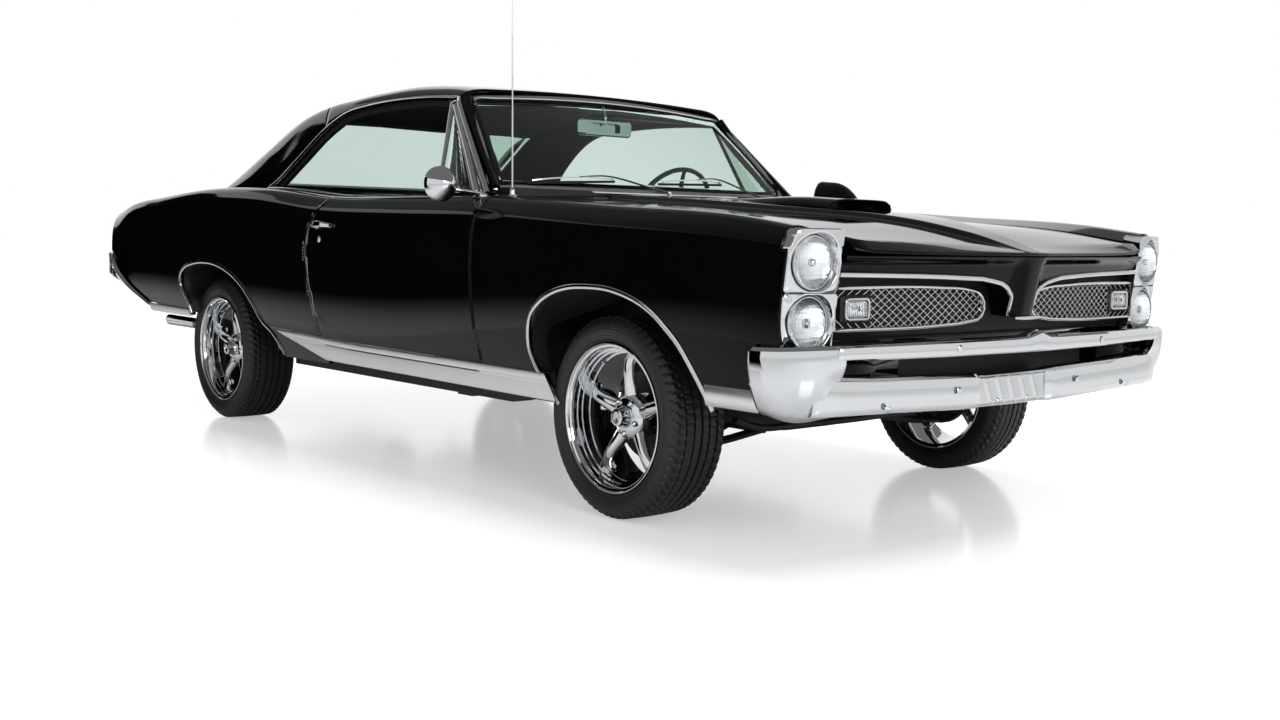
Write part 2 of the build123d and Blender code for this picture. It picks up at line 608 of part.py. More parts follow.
def make_tail_panel():
    front_x = TAIL_X - SEAT
    top = body_at(TAIL_X).edge_z - 6
    rings = []
    for y, x in ((-836, TAIL_X - 28), (-500, TAIL_X - 50), (0, TAIL_X - 60), (500, TAIL_X - 50), (836, TAIL_X - 28)):
        rings.append(ring([(front_x, y, top), (x + 10, y, top), (x - 8, y, top - 40), (x, y, 735), (front_x, y, 735)]))
    panel = skin(rings)
    for lamp in make_lamp_boxes(SEAT):
        panel -= lamp
    floor_edge = block(TAIL_X - 24, TAIL_X - SEAT, -640, 640, TRUNK_FLOOR_Z, 760)
    return panel + floor_edge


def make_lamp_boxes(room=0.0):
    lamp = block(TAIL_X - 68, TAIL_X - 22 + room, 250 - room, 800 + room, TAIL_LAMP_Z[0] - room, TAIL_LAMP_Z[1] + room)
    return both(lamp)


def make_tail_lamps():
    return make_lamp_boxes()


# ---- Bright lower mouldings --------------------------------------------------------------
def make_mouldings():
    """Rocker moulding of one side, as three strips: sill, ahead of the front wheel, behind the rear."""
    rings = []
    for x in stations(xf(-300), xr(700)):
        s = body_at(x)
        low, high = side_y(s, SILL_Z) + SEAT, side_y(s, ROCKER_TOP_Z) + SEAT
        rings.append(ring([(x, low, SILL_Z - 6), (x, high, ROCKER_TOP_Z), (x, high + ROCKER_MOULDING, ROCKER_TOP_Z - 8),
                           (x, low + ROCKER_MOULDING, SILL_Z)]))
    apron = []
    for x in stations(BUMPER_END_X - 16, xf(476)):
        s = body_at(x)
        low, high = side_y(s, APRON_LOW_Z) + SEAT, side_y(s, APRON_TRIM_TOP_Z) + SEAT
        apron.append(ring([(x, low, APRON_LOW_Z), (x, high, APRON_TRIM_TOP_Z), (x, high + ROCKER_MOULDING, APRON_TRIM_TOP_Z - 6),
                           (x, low + ROCKER_MOULDING, APRON_LOW_Z + 4)]))
    return both(skin(rings)) + both(skin(apron))


# ---- Chassis -----------------------------------------------------------------------------
FRONT_RAIL_Y = FRONT_TRACK / 2 - 374.0
SIDE_RAIL_Y = 690.0
REAR_RAIL_Y = TUB_WALL_Y - SEAT - 70.0
REAR_RAIL_TOP_Z = AXLE_FLOOR_Z - 20.0
RailPoint = namedtuple("RailPoint", "x y top_z")
RAIL = [
    RailPoint(xf(720), FRONT_RAIL_Y, FRONT_RAIL_TOP_Z),
    RailPoint(xf(260), FRONT_RAIL_Y, FRONT_RAIL_TOP_Z),
    RailPoint(xf(-420), FRONT_RAIL_Y, FRONT_RAIL_TOP_Z - 20),
    RailPoint(FIREWALL_X - 25, SIDE_RAIL_Y, FRAME_TOP_Z),
    RailPoint(TUB_FRONT_X - 4, SIDE_RAIL_Y, FRAME_TOP_Z),
    RailPoint(xr(330), REAR_RAIL_Y + 20, REAR_RAIL_TOP_Z),
    RailPoint(TUB_REAR_X + 180, REAR_RAIL_Y, REAR_RAIL_TOP_Z),
    RailPoint(TUB_REAR_X - 2, REAR_RAIL_Y, TRUNK_FLOOR_Z - SEAT),
    RailPoint(xr(-1180), REAR_RAIL_Y, TRUNK_FLOOR_Z - SEAT),
]


def make_frame():
    half = FRAME_WIDTH / 2
    rail = skin([ring([(p.x, p.y - half, p.top_z), (p.x, p.y + half, p.top_z), (p.x, p.y + half, p.top_z - FRAME_HEIGHT),
                       (p.x, p.y - half, p.top_z - FRAME_HEIGHT)]) for p in RAIL])
    members = [
        block(xf(660), xf(720), -FRONT_RAIL_Y, FRONT_RAIL_Y, 375, 435),
        block(xf(-90), xf(90), -FRONT_RAIL_Y, FRONT_RAIL_Y, 355, 400),
        block(xf(-1180), xf(-1080), -SIDE_RAIL_Y, SIDE_RAIL_Y, FRAME_TOP_Z - FRAME_HEIGHT - 14, 290),
        block(xr(250), xr(310), -REAR_RAIL_Y, REAR_RAIL_Y, REAR_RAIL_TOP_Z - 80, REAR_RAIL_TOP_Z - 20),
        block(xr(-1180), xr(-1120), -REAR_RAIL_Y, REAR_RAIL_Y, TRUNK_FLOOR_Z - FRAME_HEIGHT, TRUNK_FLOOR_Z - 40),
    ]
    frame = rail + other_side(rail)
    for member in members:
        frame += member
    return frame


TUNNEL_HALF = 125.0
TUNNEL_TOP_Z = 500.0


def make_floor():
    f0, f1 = FLOOR_Z, FLOOR_Z + FLOOR_THICK
    a0, a1 = AXLE_FLOOR_Z, AXLE_FLOOR_Z + FLOOR_THICK
    t0, t1 = TRUNK_FLOOR_Z, TRUNK_FLOOR_Z + FLOOR_THICK
    kick, step = xr(500), xr(-450)
    edge = body_at(xr(800)).sill_y - CABIN_WALL - SEAT
    floor = block(FIREWALL_X - 25 + SEAT, kick, -edge, edge, f0, f1)
    floor += block(FIREWALL_X - 20 - SEAT, kick, -TUNNEL_HALF, TUNNEL_HALF, f1, TUNNEL_TOP_Z)
    floor += block(kick - 24, kick, -edge, edge, f0, a1)
    floor -= block(FIREWALL_X, kick - 30, -TUNNEL_HALF + 15, TUNNEL_HALF - 15, f0 - 5, TUNNEL_TOP_Z - 15)
    tub = TUB_WALL_Y - SEAT
    floor += block(kick, step, -tub, tub, a0, a1)
    floor += block(step - FLOOR_THICK, step, -tub, tub, t0, a1)
    floor += block(TAIL_X, step, -tub, tub, t0, t1)
    rocker = block(DOOR_FRONT_X + PANEL_GAP - SEAT, DOOR_REAR_X - PANEL_GAP + SEAT, edge - 10, 888, SILL_Z + 2, ROCKER_TOP_Z)
    return floor + rocker + other_side(rocker)


def make_wheel_houses():
    front_wall = block(FIREWALL_X + SEAT, SUPPORT_X - 20 - SEAT, 452, 462, 475, 878)
    front_shelf = block(xf(-440), xf(560), 462, 900, 770, 780)
    rear_wall = block(TUB_REAR_X, TUB_FRONT_X, TUB_WALL_Y, TUB_WALL_Y + 10, AXLE_FLOOR_Z, TUB_TOP_Z)
    rear_shelf = block(TUB_REAR_X, TUB_FRONT_X, TUB_WALL_Y, TUB_OUTER_Y, TUB_TOP_Z - 10, TUB_TOP_Z)
    return both(front_wall + front_shelf) + both(rear_wall + rear_shelf)


ENGINE_BOX = (xf(-600), xf(380), -280, 280, 401, 860)


GEARBOX_REAR_X = xf(-1150.0)


def make_engine():
    """Engine with its gearbox, which reaches back into the tunnel."""
    gearbox = block(GEARBOX_REAR_X, ENGINE_BOX[0], -90, 90, 300, 470)
    return block(*ENGINE_BOX) + gearbox


def make_fuel_tank():
    return block(xr(-1080), xr(-560), -430, 430, 330, TRUNK_FLOOR_Z - SEAT)


PIPE_RADIUS = 25.0
PIPE_Z = FLOOR_Z - PIPE_RADIUS - SEAT
MUFFLER_RADIUS = 50.0
PIPE_Y = 300.0


def make_exhaust():
    """Two pipes with their mufflers, and the tail pipes that end behind the rear wheels."""
    pipes = []
    for side in (1, -1):
        y = PIPE_Y * side
        pipe = rod((xf(-620), y, PIPE_Z), (xr(720), y, PIPE_Z), PIPE_RADIUS)
        pipe += rod((xr(800), y, FLOOR_Z - MUFFLER_RADIUS - SEAT), (xr(1400), y, FLOOR_Z - MUFFLER_RADIUS - SEAT), MUFFLER_RADIUS)
        route = [(xr(720), y, PIPE_Z), (xr(440), y, PIPE_Z), (xr(180), y, 420), (xr(-220), y, 420), (xr(-440), 600 * side, 330),
                 (xr(-620), 760 * side, 330)]
        for start, end in zip(route, route[1:]):
            pipe += rod(start, end, PIPE_RADIUS)
            pipe += Pos(*end) * Sphere(PIPE_RADIUS)
        pipes.append(pipe)
    return pipes


def make_rear_axle():
    hub_y = REAR_TRACK / 2 - 40
    axle = along_y(38, REAR_AXLE_X, -hub_y, hub_y, TYRE_RADIUS)
    axle += Pos(REAR_AXLE_X, 0, TYRE_RADIUS) * Sphere(135)
    for side in (1, -1):
        axle += along_y(140, REAR_AXLE_X, side * (hub_y - 60), side * hub_y, TYRE_RADIUS)
        spring_y = side * REAR_RAIL_Y
        axle += rod((REAR_AXLE_X, spring_y, TYRE_RADIUS + 20),
                    (REAR_AXLE_X, spring_y, REAR_RAIL_TOP_Z - FRAME_HEIGHT - SEAT), 30)
    axle += rod((REAR_AXLE_X + 100, 0, TYRE_RADIUS), (GEARBOX_REAR_X - 1, 0, 336), 32)
    return axle


KINGPIN_Y = FRONT_TRACK / 2 - KINGPIN_INSET
KINGPIN_LOW_Z = 205.0
KINGPIN_HIGH_Z = 450.0
DRUM_RADIUS = 140.0
ARM_END = 12.0           # of a suspension arm beyond the kingpin axis, clear of the turning drum


def make_knuckle():
    """Upright on the kingpin axis with the spindle and the brake drum."""
    face_y = FRONT_TRACK / 2 - 40
    post = rod((FRONT_AXLE_X, KINGPIN_Y, KINGPIN_LOW_Z), (FRONT_AXLE_X, KINGPIN_Y, KINGPIN_HIGH_Z), 20)
    drum = along_y(DRUM_RADIUS, FRONT_AXLE_X, face_y - 22, face_y, TYRE_RADIUS)
    return post + drum + along_y(34, FRONT_AXLE_X, KINGPIN_Y, face_y, TYRE_RADIUS)


def make_front_suspension():
    """Lower and upper arms of one side, from the frame rail to the kingpin's ends."""
    rail_y = FRONT_RAIL_Y + FRAME_WIDTH / 2 + SEAT
    end_y = KINGPIN_Y + ARM_END
    low = block(FRONT_AXLE_X - 24, FRONT_AXLE_X + 24, rail_y, end_y, KINGPIN_LOW_Z - SEAT - 26, KINGPIN_LOW_Z - SEAT)
    low += block(FRONT_AXLE_X - 150, FRONT_AXLE_X + 150, rail_y, rail_y + 14, KINGPIN_LOW_Z - 26, 440)
    high = block(FRONT_AXLE_X - 20, FRONT_AXLE_X + 20, rail_y, end_y, KINGPIN_HIGH_Z + SEAT, KINGPIN_HIGH_Z + SEAT + 20)
    high += block(FRONT_AXLE_X - 20, FRONT_AXLE_X + 20, rail_y, rail_y + 14, 400, KINGPIN_HIGH_Z + 20)
    return low + high


# ---- Wheels ------------------------------------------------------------------------------
def wheel_profile(points):
    """A ring around the Y axis from (axial, radius) corners."""
    face = make_face(Polyline(*[(radius, axial, 0) for axial, radius in points], close=True))
    return revolve(face, Axis.Y)


def make_tyre():
    half, r, bead = TYRE_WIDTH / 2, TYRE_RADIUS, RIM_RADIUS + 1.5
    return wheel_profile([
        (-half + 16, bead), (-half, r - 52), (-half + 5, r - TYRE_SHOULDER), (-half + TYRE_SHOULDER, r),
        (half - TYRE_SHOULDER, r), (half - 5, r - TYRE_SHOULDER), (half, r - 52), (half - 16, bead),
        (half - 25, RIM_SEAT_RADIUS + SEAT), (-half + 25, RIM_SEAT_RADIUS + SEAT),
    ])


def make_wheel():
    """Deep-lipped wheel, outer face towards +Y, with round tapered spokes and a small cap."""
    half = TYRE_WIDTH / 2 - 14
    seat = RIM_SEAT_RADIUS
    rim = wheel_profile([
        (-half, RIM_RADIUS), (-half - 6, RIM_RADIUS), (-half - 6, seat - RIM_WALL), (half - 30, seat - RIM_WALL - 8),
        (half + 6, RIM_RADIUS - 8), (half + 6, RIM_RADIUS), (half, RIM_RADIUS), (half, seat + 4), (half - 8, seat),
        (-half + 8, seat), (-half, seat + 4),
    ])
    hub = wheel_profile([(-39.7, 0), (-39.7, HUB_RADIUS), (12, HUB_RADIUS), (26, 52), (26, 0)])
    cap = wheel_profile([(20, 0), (20, 34), (62, 30), (68, 24), (68, 0)])
    spider = hub + cap
    for n in range(SPOKE_COUNT):
        spoke = skin([
            ring([(-30, -14, 50), (30, -14, 50), (30, 30, 50), (-30, 30, 50)]),
            ring([(-23, 10, 150), (23, 10, 150), (23, 46, 150), (-23, 46, 150)]),
            ring([(-19, 34, seat - 4), (19, 34, seat - 4), (19, 60, seat - 4), (-19, 60, seat - 4)]),
        ])
        spider += spoke.rotate(Axis.Y, 360 / SPOKE_COUNT * n)
    return rim, spider - rim


def place_wheel(shapes, axle_x, half_track, left):
    place = Pos(axle_x, half_track if left else -half_track, TYRE_RADIUS)
    return [place * (shape if left else other_side(shape)) for shape in shapes]


# ---- Cabin -------------------------------------------------------------------------------
SEAT_Y = 370.0


def make_front_seat():
    base_z = FLOOR_Z + FLOOR_THICK + SEAT
    x = xf(-1300)
    cushion = block(x - 500, x, SEAT_Y - 235, SEAT_Y + 235, base_z + 60, base_z + 230)
    plinth = block(x - 440, x - 60, SEAT_Y - 180, SEAT_Y + 180, base_z, base_z + 60)
    back = skin([
        ring([(x - 470, SEAT_Y - 235, base_z + 200), (x - 470, SEAT_Y + 235, base_z + 200),
              (x - 590, SEAT_Y + 235, base_z + 200), (x - 590, SEAT_Y - 235, base_z + 200)]),
        ring([(x - 620, SEAT_Y - 210, base_z + 660), (x - 620, SEAT_Y + 210, base_z + 660),
              (x - 700, SEAT_Y + 210, base_z + 660), (x - 700, SEAT_Y - 210, base_z + 660)]),
    ])
    return cushion + plinth + back


def make_rear_seat():
    z = AXLE_FLOOR_Z + FLOOR_THICK + SEAT
    cushion = block(xr(120), xr(640), -560, 560, z, z + 150)
    back = skin([
        ring([(xr(200), -560, z + 120), (xr(200), 560, z + 120), (xr(60), 560, z + 120), (xr(60), -560, z + 120)]),
        ring([(xr(80), -560, z + 430), (xr(80), 560, z + 430), (xr(-20), 560, z + 430), (xr(-20), -560, z + 430)]),
    ])
    return cushion + back


def make_dashboard():
    front_x, step_x = FIREWALL_X - 20 - SEAT, SHIELD_BASE_SIDE_X - 12 - SEAT
    outline = [(front_x, 800), (front_x, COWL_LOW_Z - SEAT), (step_x, COWL_LOW_Z - SEAT), (step_x, 1000),
               (xf(-1035), 990), (xf(-1060), 800)]
    dash = skin([ring([(x, y, z) for x, z in outline]) for y in (-DASH_HALF, DASH_HALF)])
    return dash + rod(COLUMN_START, COLUMN_END, 26)


COLUMN_START = (xf(-1000.0), SEAT_Y, 873.0)
COLUMN_END = (xf(-1175.0), SEAT_Y, 955.0)
STEERING_RADIUS = 198.0


def make_steering_wheel():
    axis = (Vector(*COLUMN_END) - Vector(*COLUMN_START)).normalized()
    hub_at = Vector(*COLUMN_END) + axis * SEAT
    plane = Plane(origin=hub_at + axis * 40, z_dir=axis)
    wheel = plane * Torus(STEERING_RADIUS, 11)
    wheel += Solid.make_cylinder(30, 52, Plane(origin=hub_at, z_dir=axis))
    for angle in (0, 120, 240):
        wheel += plane * Rot(0, 0, angle + 90) * Pos(STEERING_RADIUS / 2, 0, 0) * Box(STEERING_RADIUS, 22, 6)
    return wheel


# ---- Small outside pieces ----------------------------------------------------------------
def make_wiper(y):
    x = xf(-762)
    z = 1017.8 - 28 * (abs(y) - 10) / (HOOD_HALF + PANEL_GAP) + SEAT
    arm = rod((x, y, z + 24), (x - 6, y - 330, z + 28), 5)
    return arm + rod((x, y, z), (x, y, z + 28), 10)


ANTENNA = (xf(-560.0), -HOOD_HALF - 58.0)
ANTENNA_HEIGHT = 790.0


def make_antenna():
    x, y = ANTENNA
    base = body_top_z(x, abs(y) + 12) + SEAT
    return rod((x, y, base), (x, y, base + 22), 12) + rod((x, y, base + 20), (x, y, base + ANTENNA_HEIGHT), 2.2)


def make_vent_window():
    """Triangular pivoting pane in its frame, on the door ahead of the main glass."""
    top_x, top_y, top_z = xf(-1262), 628, 1338
    front_x, rear_x = xf(-972), xf(-1296)
    y = BELT_HALF + 30
    z = body_top_z(rear_x, y) + SEAT
    return skin([
        ring([(front_x, y, z), (rear_x, y, z), (top_x - 20, top_y, top_z), (top_x, top_y, top_z)]),
        ring([(front_x, y - 14, z), (rear_x, y - 14, z), (top_x - 20, top_y - 14, top_z), (top_x, top_y - 14, top_z)]),
    ])


MIRROR_AT = (xf(-800.0), 985.0, 1040.0)


def make_mirror():
    x, y, z = MIRROR_AT
    head = rod((x - 18, y, z), (x + 30, y, z), 58)
    foot_x, foot_y = x + 20, body_at(x).peak_y - 26
    foot_z = body_top_z(foot_x, foot_y) + SEAT + 1
    foot = rod((foot_x, foot_y, foot_z), (foot_x, foot_y, foot_z + 12), 14)
    return head + foot + rod((x, y, z), (foot_x, foot_y, foot_z + 8), 7)


# ---- Everything --------------------------------------------------------------------------
def make_nodes():
    fender, quarter, door = make_front_fender(), make_quarter(), make_door()
    knuckle, tyre, wheel = make_knuckle(), make_tyre(), make_wheel()
    vent, mirror_left = make_vent_window(), make_mirror()
    roof = make_roof() - quarter - other_side(quarter)
    nodes = {
        "frame_rails": [make_frame()],
        "floor_pan": [make_floor()],
        "cowl_and_firewall": [make_cowl(fender)],
        "wheel_houses": make_wheel_houses(),
        "front_fender_left": [fender],
        "front_fender_right": [other_side(fender)],
        "quarter_left": [quarter],
        "quarter_right": [other_side(quarter)],
        "roof": [roof],
        "tail_panel": [make_tail_panel()],
        "nose_panel": [make_nose()],
        "grilles": both(make_grille()),
        "headlamp_bezels": both(make_bezel()),
        "front_lamps": make_lamps(),
        "front_bumper": make_front_bumper(),
        "rear_bumper": [make_rear_bumper()],
        "tail_lamps": make_tail_lamps(),
        "windshield": [make_windshield()],
        "rear_window": [make_rear_window()],
        "rocker_mouldings": make_mouldings(),
        "engine": [make_engine()],
        "radiator": [make_radiator()],
        "dashboard": [make_dashboard()],
        "front_seats": both(make_front_seat()),
        "rear_seat": [make_rear_seat()],
        "front_suspension": both(make_front_suspension()),
        "rear_axle": [make_rear_axle()],
        "exhaust": make_exhaust(),
        "fuel_tank": [make_fuel_tank()],
        "wipers": [make_wiper(-80), make_wiper(560)],
        "antenna": [make_antenna()],
        "steering_wheel": [make_steering_wheel()],
        "hood": [make_hood()],
        "hood_tachometer": [make_tachometer()],
        "trunk_lid": [make_trunk_lid()],
        "door_left": [door],
        "door_right": [other_side(door)],
        "vent_window_left": [vent],
        "vent_window_right": [other_side(vent)],
        "mirror_left": [mirror_left],
        "mirror_right": [other_side(mirror_left)],
        "knuckle_left": [knuckle],
        "knuckle_right": [other_side(knuckle)],
    }
    for end, axle_x, half_track in (("front", FRONT_AXLE_X, FRONT_TRACK / 2), ("rear", REAR_AXLE_X, REAR_TRACK / 2)):
        for side in ("left", "right"):
            nodes[f"tyre_{end}_{side}"] = place_wheel([tyre], axle_x, half_track, side == "left")
            nodes[f"wheel_{end}_{side}"] = place_wheel(wheel, axle_x, half_track, side == "left")
    return nodes


os.makedirs("parts", exist_ok=True)
for name, shapes in make_nodes().items():
    solids = [solid for shape in shapes for solid in shape.solids()]
    export_step(solids[0] if len(solids) == 1 else Compound(children=solids), f"parts/{name}.step")
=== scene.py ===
import json
import math
from functools import lru_cache

import bmesh
import bpy
import numpy as np
from mathutils import Matrix, Vector

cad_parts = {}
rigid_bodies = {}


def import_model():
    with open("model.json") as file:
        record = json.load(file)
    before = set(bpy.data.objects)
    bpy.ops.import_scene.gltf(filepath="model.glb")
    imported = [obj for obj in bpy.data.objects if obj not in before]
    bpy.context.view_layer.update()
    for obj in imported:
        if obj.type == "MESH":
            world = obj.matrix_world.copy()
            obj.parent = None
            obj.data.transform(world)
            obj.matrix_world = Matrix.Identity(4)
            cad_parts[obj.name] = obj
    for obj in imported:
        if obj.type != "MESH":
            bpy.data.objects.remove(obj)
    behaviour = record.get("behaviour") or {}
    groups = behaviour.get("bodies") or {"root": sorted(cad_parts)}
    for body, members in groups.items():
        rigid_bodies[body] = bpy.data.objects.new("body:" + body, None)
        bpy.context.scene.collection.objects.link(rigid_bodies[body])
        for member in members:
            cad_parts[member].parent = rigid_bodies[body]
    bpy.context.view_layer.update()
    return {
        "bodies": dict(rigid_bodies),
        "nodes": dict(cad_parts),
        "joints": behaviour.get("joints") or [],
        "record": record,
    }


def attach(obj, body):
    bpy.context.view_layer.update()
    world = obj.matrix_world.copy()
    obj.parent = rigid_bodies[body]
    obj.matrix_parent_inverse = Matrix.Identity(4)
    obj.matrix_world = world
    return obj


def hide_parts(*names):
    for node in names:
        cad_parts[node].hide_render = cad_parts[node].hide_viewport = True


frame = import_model()
nodes = frame["nodes"]
hinge = {j["name"]: Vector(j.get("pos_m") or (0, 0, 0)) for j in frame["joints"]}
AXLE_F = hinge["front_left_spin"].x
AXLE_R = hinge["rear_left_spin"].x

# ---- Studio -------------------------------------------------------------------------------
# A white floor in a bright surround, lit by a softbox overhead and one ahead of the car. A dark
# cloth lies out along its right side and rises at the far end, which keeps the flanks black, and a
# grey one hangs above.
def srgb(text):
    """Linear RGBA of an sRGB hex colour."""
    parts = [int(text[i:i + 2], 16) / 255 for i in (0, 2, 4)]
    return [c / 12.92 if c <= 0.04045 else ((c + 0.055) / 1.055) ** 2.4 for c in parts] + [1.0]


def add(tree, kind, inputs=None, **settings):
    """A node with its settings; an input is a value, the socket it is linked from, or a node that
    stands for its first socket."""
    node = tree.nodes.new("ShaderNode" + kind)
    for key, value in settings.items():
        setattr(node, key, value)
    for key, value in (inputs or {}).items():
        value = value.outputs[0] if isinstance(value, bpy.types.Node) else value
        if isinstance(value, bpy.types.NodeSocket):
            tree.links.new(value, node.inputs[key])
        else:
            node.inputs[key].default_value = value
    return node


def new_finish(name):
    """An empty material, its node tree, and the object coordinates in metres."""
    made = bpy.data.materials.new(name)
    made.use_nodes = True
    tree = made.node_tree
    tree.nodes.clear()
    return made, tree, add(tree, "TexCoord").outputs["Object"]


floor_paint, tree, where = new_finish("white_floor_paint")
# Gloss white floor paint, rolled on: faint roller texture, soft mirror of what stands on it.
stipple = add(tree, "TexNoise", {"Vector": where, "Scale": 60.0, "Detail": 3.0})
tone = add(tree, "TexNoise", {"Vector": where, "Scale": 0.5, "Detail": 2.0})
white = add(tree, "MixRGB", {"Fac": tone, "Color1": srgb("f4f4f4"), "Color2": srgb("eeeeef")})
bump = add(tree, "Bump", {"Height": stipple, "Strength": 0.03, "Distance": 0.001})
shine = add(tree, "BsdfPrincipled", {"Base Color": white, "Roughness": 0.16, "IOR": 1.5,
                                     "Normal": bump})
path = add(tree, "LightPath")
part = add(tree, "Math", {0: path.outputs["Is Glossy Ray"], 1: 0.1}, operation="MULTIPLY")
seen = add(tree, "Math", {0: path.outputs["Is Camera Ray"], 1: path.outputs["Is Transmission Ray"]},
           operation="MAXIMUM")
seen = add(tree, "Math", {0: seen, 1: part}, operation="MAXIMUM")
lift = add(tree, "Math", {0: seen, 1: 0.42}, operation="MULTIPLY")
glow = add(tree, "Emission", {"Color": srgb("ffffff"), "Strength": lift})
both_lit = add(tree, "AddShader", {0: shine, 1: glow})
add(tree, "OutputMaterial", {"Surface": both_lit})

card, tree, where = new_finish("black_cloth")
# Matt black duvetyne, paler towards its near edge, so that it shows no hard line in the paint.
fade = add(tree, "Attribute", attribute_name="fade")
nap = add(tree, "MixRGB", {"Fac": fade.outputs["Fac"], "Color1": srgb("e8e8e8"), "Color2": srgb("020202")})
felt = add(tree, "BsdfPrincipled", {"Base Color": nap, "Roughness": 1.0, "Specular IOR Level": 0.0})
add(tree, "OutputMaterial", {"Surface": felt})

ceiling, tree, where = new_finish("grey_ceiling_cloth")
# Grey silk above the set: trim and shoulders mirror it as a soft mid grey.
weave = add(tree, "TexNoise", {"Vector": where, "Scale": 400.0})
dim = add(tree, "MapRange", {"Value": weave, "To Min": 0.18, "To Max": 0.24})
silk = add(tree, "Emission", {"Color": srgb("ffffff"), "Strength": dim})
add(tree, "OutputMaterial", {"Surface": silk})


def mesh_object(name, points, faces, finish, smooth=True, sharp=None):
    """A mesh piece in the row frame; edges sharper than so many degrees stay crisp."""
    data = bpy.data.meshes.new(name)
    data.from_pydata([tuple(p) for p in points], [], [tuple(f) for f in faces])
    data.validate()
    made = bpy.data.objects.new(name, data)
    bpy.context.scene.collection.objects.link(made)
    data.materials.append(finish)
    if smooth:
        data.polygons.foreach_set("use_smooth", [True] * len(data.polygons))
        if sharp:
            data.set_sharp_from_angle(angle=math.radians(sharp))
    return made


floor = mesh_object("floor", [(-60, -60, 0), (60, -60, 0), (60, 60, 0), (-60, 60, 0)], [(0, 1, 2, 3)], floor_paint)

CAMERA_X, CAMERA_Y, CAMERA_Z = 5.114, -3.540, 0.902
CLOTH_Y = -0.93
# The cloth across its width: distance from the line y = CLOTH_Y, darkness and height
FADE = [(2.5, 0.0, 0.02), (3.05, 0.3, 0.02), (3.8, 0.75, 0.02), (4.7, 1.0, 0.02), (9.5, 1.0, 0.02), (9.5, 1.0, 5.2)]
cloth_points, cloth_fade = [], []
for x, turn in [(-3.2, -t) for t in (15, 12, 9, 6, 3)] + [(x, 0) for x in np.linspace(-3.2, 2.9, 20)]:
    away = Matrix.Rotation(math.radians(-turn), 3, "Z") @ Vector((x - CAMERA_X, CLOTH_Y - CAMERA_Y, 0)).normalized()
    for r, fade, z in FADE:
        cloth_points.append((x + away.x * r, CLOTH_Y - away.y * r, z))
        cloth_fade.append(fade)
m = len(FADE)
cloth_faces = [(i * m + j, (i + 1) * m + j, (i + 1) * m + j + 1, i * m + j + 1)
               for i in range(len(cloth_points) // m - 1) for j in range(m - 1)]
cloth = mesh_object("side_cloth", cloth_points, cloth_faces, card)
cloth.data.attributes.new("fade", "FLOAT", "POINT").data.foreach_set("value", cloth_fade)
cloth.visible_camera = False
cloth.visible_shadow = False
cloth.visible_diffuse = False
CEILING_R, CEILING_Z = 16, 8.5
turns = [math.radians(t) for t in range(0, 360, 10)]
overhead = mesh_object("overhead_cloth", [(CEILING_R * math.cos(t), CEILING_R * math.sin(t), CEILING_Z) for t in turns],
                       [tuple(range(len(turns)))], ceiling, smooth=False)
overhead.visible_camera = overhead.visible_shadow = overhead.visible_diffuse = False

world = bpy.data.worlds.new("surround")
bpy.context.scene.world = world
world.use_nodes = True
tree = world.node_tree
tree.nodes.clear()
path = add(tree, "LightPath")
seen = add(tree, "Math", {0: path.outputs["Is Camera Ray"], 1: path.outputs["Is Glossy Ray"]}, operation="MAXIMUM")
seen = add(tree, "Math", {0: seen, 1: path.outputs["Is Transmission Ray"]}, operation="MAXIMUM")
level = add(tree, "MapRange", {"Value": seen, "To Min": 0.5, "To Max": 1.0})
surround = add(tree, "Background", {"Color": srgb("ffffff"), "Strength": level})
add(tree, "OutputWorld", {"Surface": surround})


def softbox(name, place, aim, size_x, size_y, watts):
    """A rectangular lamp of a size in metres that faces a point."""
    lamp = bpy.data.lights.new(name, "AREA")
    lamp.shape, lamp.size, lamp.size_y, lamp.energy = "RECTANGLE", size_x, size_y, watts
    made = bpy.data.objects.new(name, lamp)
    made.location = place
    made.rotation_euler = (Vector(aim) - Vector(place)).to_track_quat("-Z", "Y").to_euler()
    bpy.context.scene.collection.objects.link(made)
    return made


top_light = softbox("top_softbox", (0.2, 0.6, 5.2), (0.2, 0.3, 0), 7.0, 2.6, 330)
top_light.visible_glossy = top_light.visible_transmission = False
softbox("front_softbox", (7.5, -2.5, 3.4), (1.5, 0, 0.6), 3.0, 2.0, 150)

lens = bpy.data.cameras.new("camera")
lens.sensor_width, lens.lens = 36.0, 39.92
lens.shift_x, lens.shift_y = -0.109, 0.0078
lens.clip_end = 200
camera = bpy.data.objects.new("camera", lens)
bpy.context.scene.collection.objects.link(camera)
yaw, pitch, roll = 2.3678, -0.0975, 0.0208
look = Vector((math.cos(pitch) * math.cos(yaw), math.cos(pitch) * math.sin(yaw), math.sin(pitch)))
level_right = Vector((math.sin(yaw), -math.cos(yaw), 0))
level_up = level_right.cross(look)
right = level_right * math.cos(roll) + level_up * math.sin(roll)
up = level_up * math.cos(roll) - level_right * math.sin(roll)
facing = Matrix((right, up, -look)).transposed().to_4x4()
camera.matrix_world = Matrix.Translation((CAMERA_X, CAMERA_Y, CAMERA_Z)) @ facing
bpy.context.scene.camera = camera
bpy.context.scene.view_settings.view_transform = "Standard"

# ---- Body sides ---------------------------------------------------------------------------
# Front fenders, doors and rear quarters: pressed steel sheet, welded or bolted to the body, with
# one peak line from the headlamps to the tail. Sprayed black and polished.
gloss_black, tree, where = new_finish("polished_black_enamel")
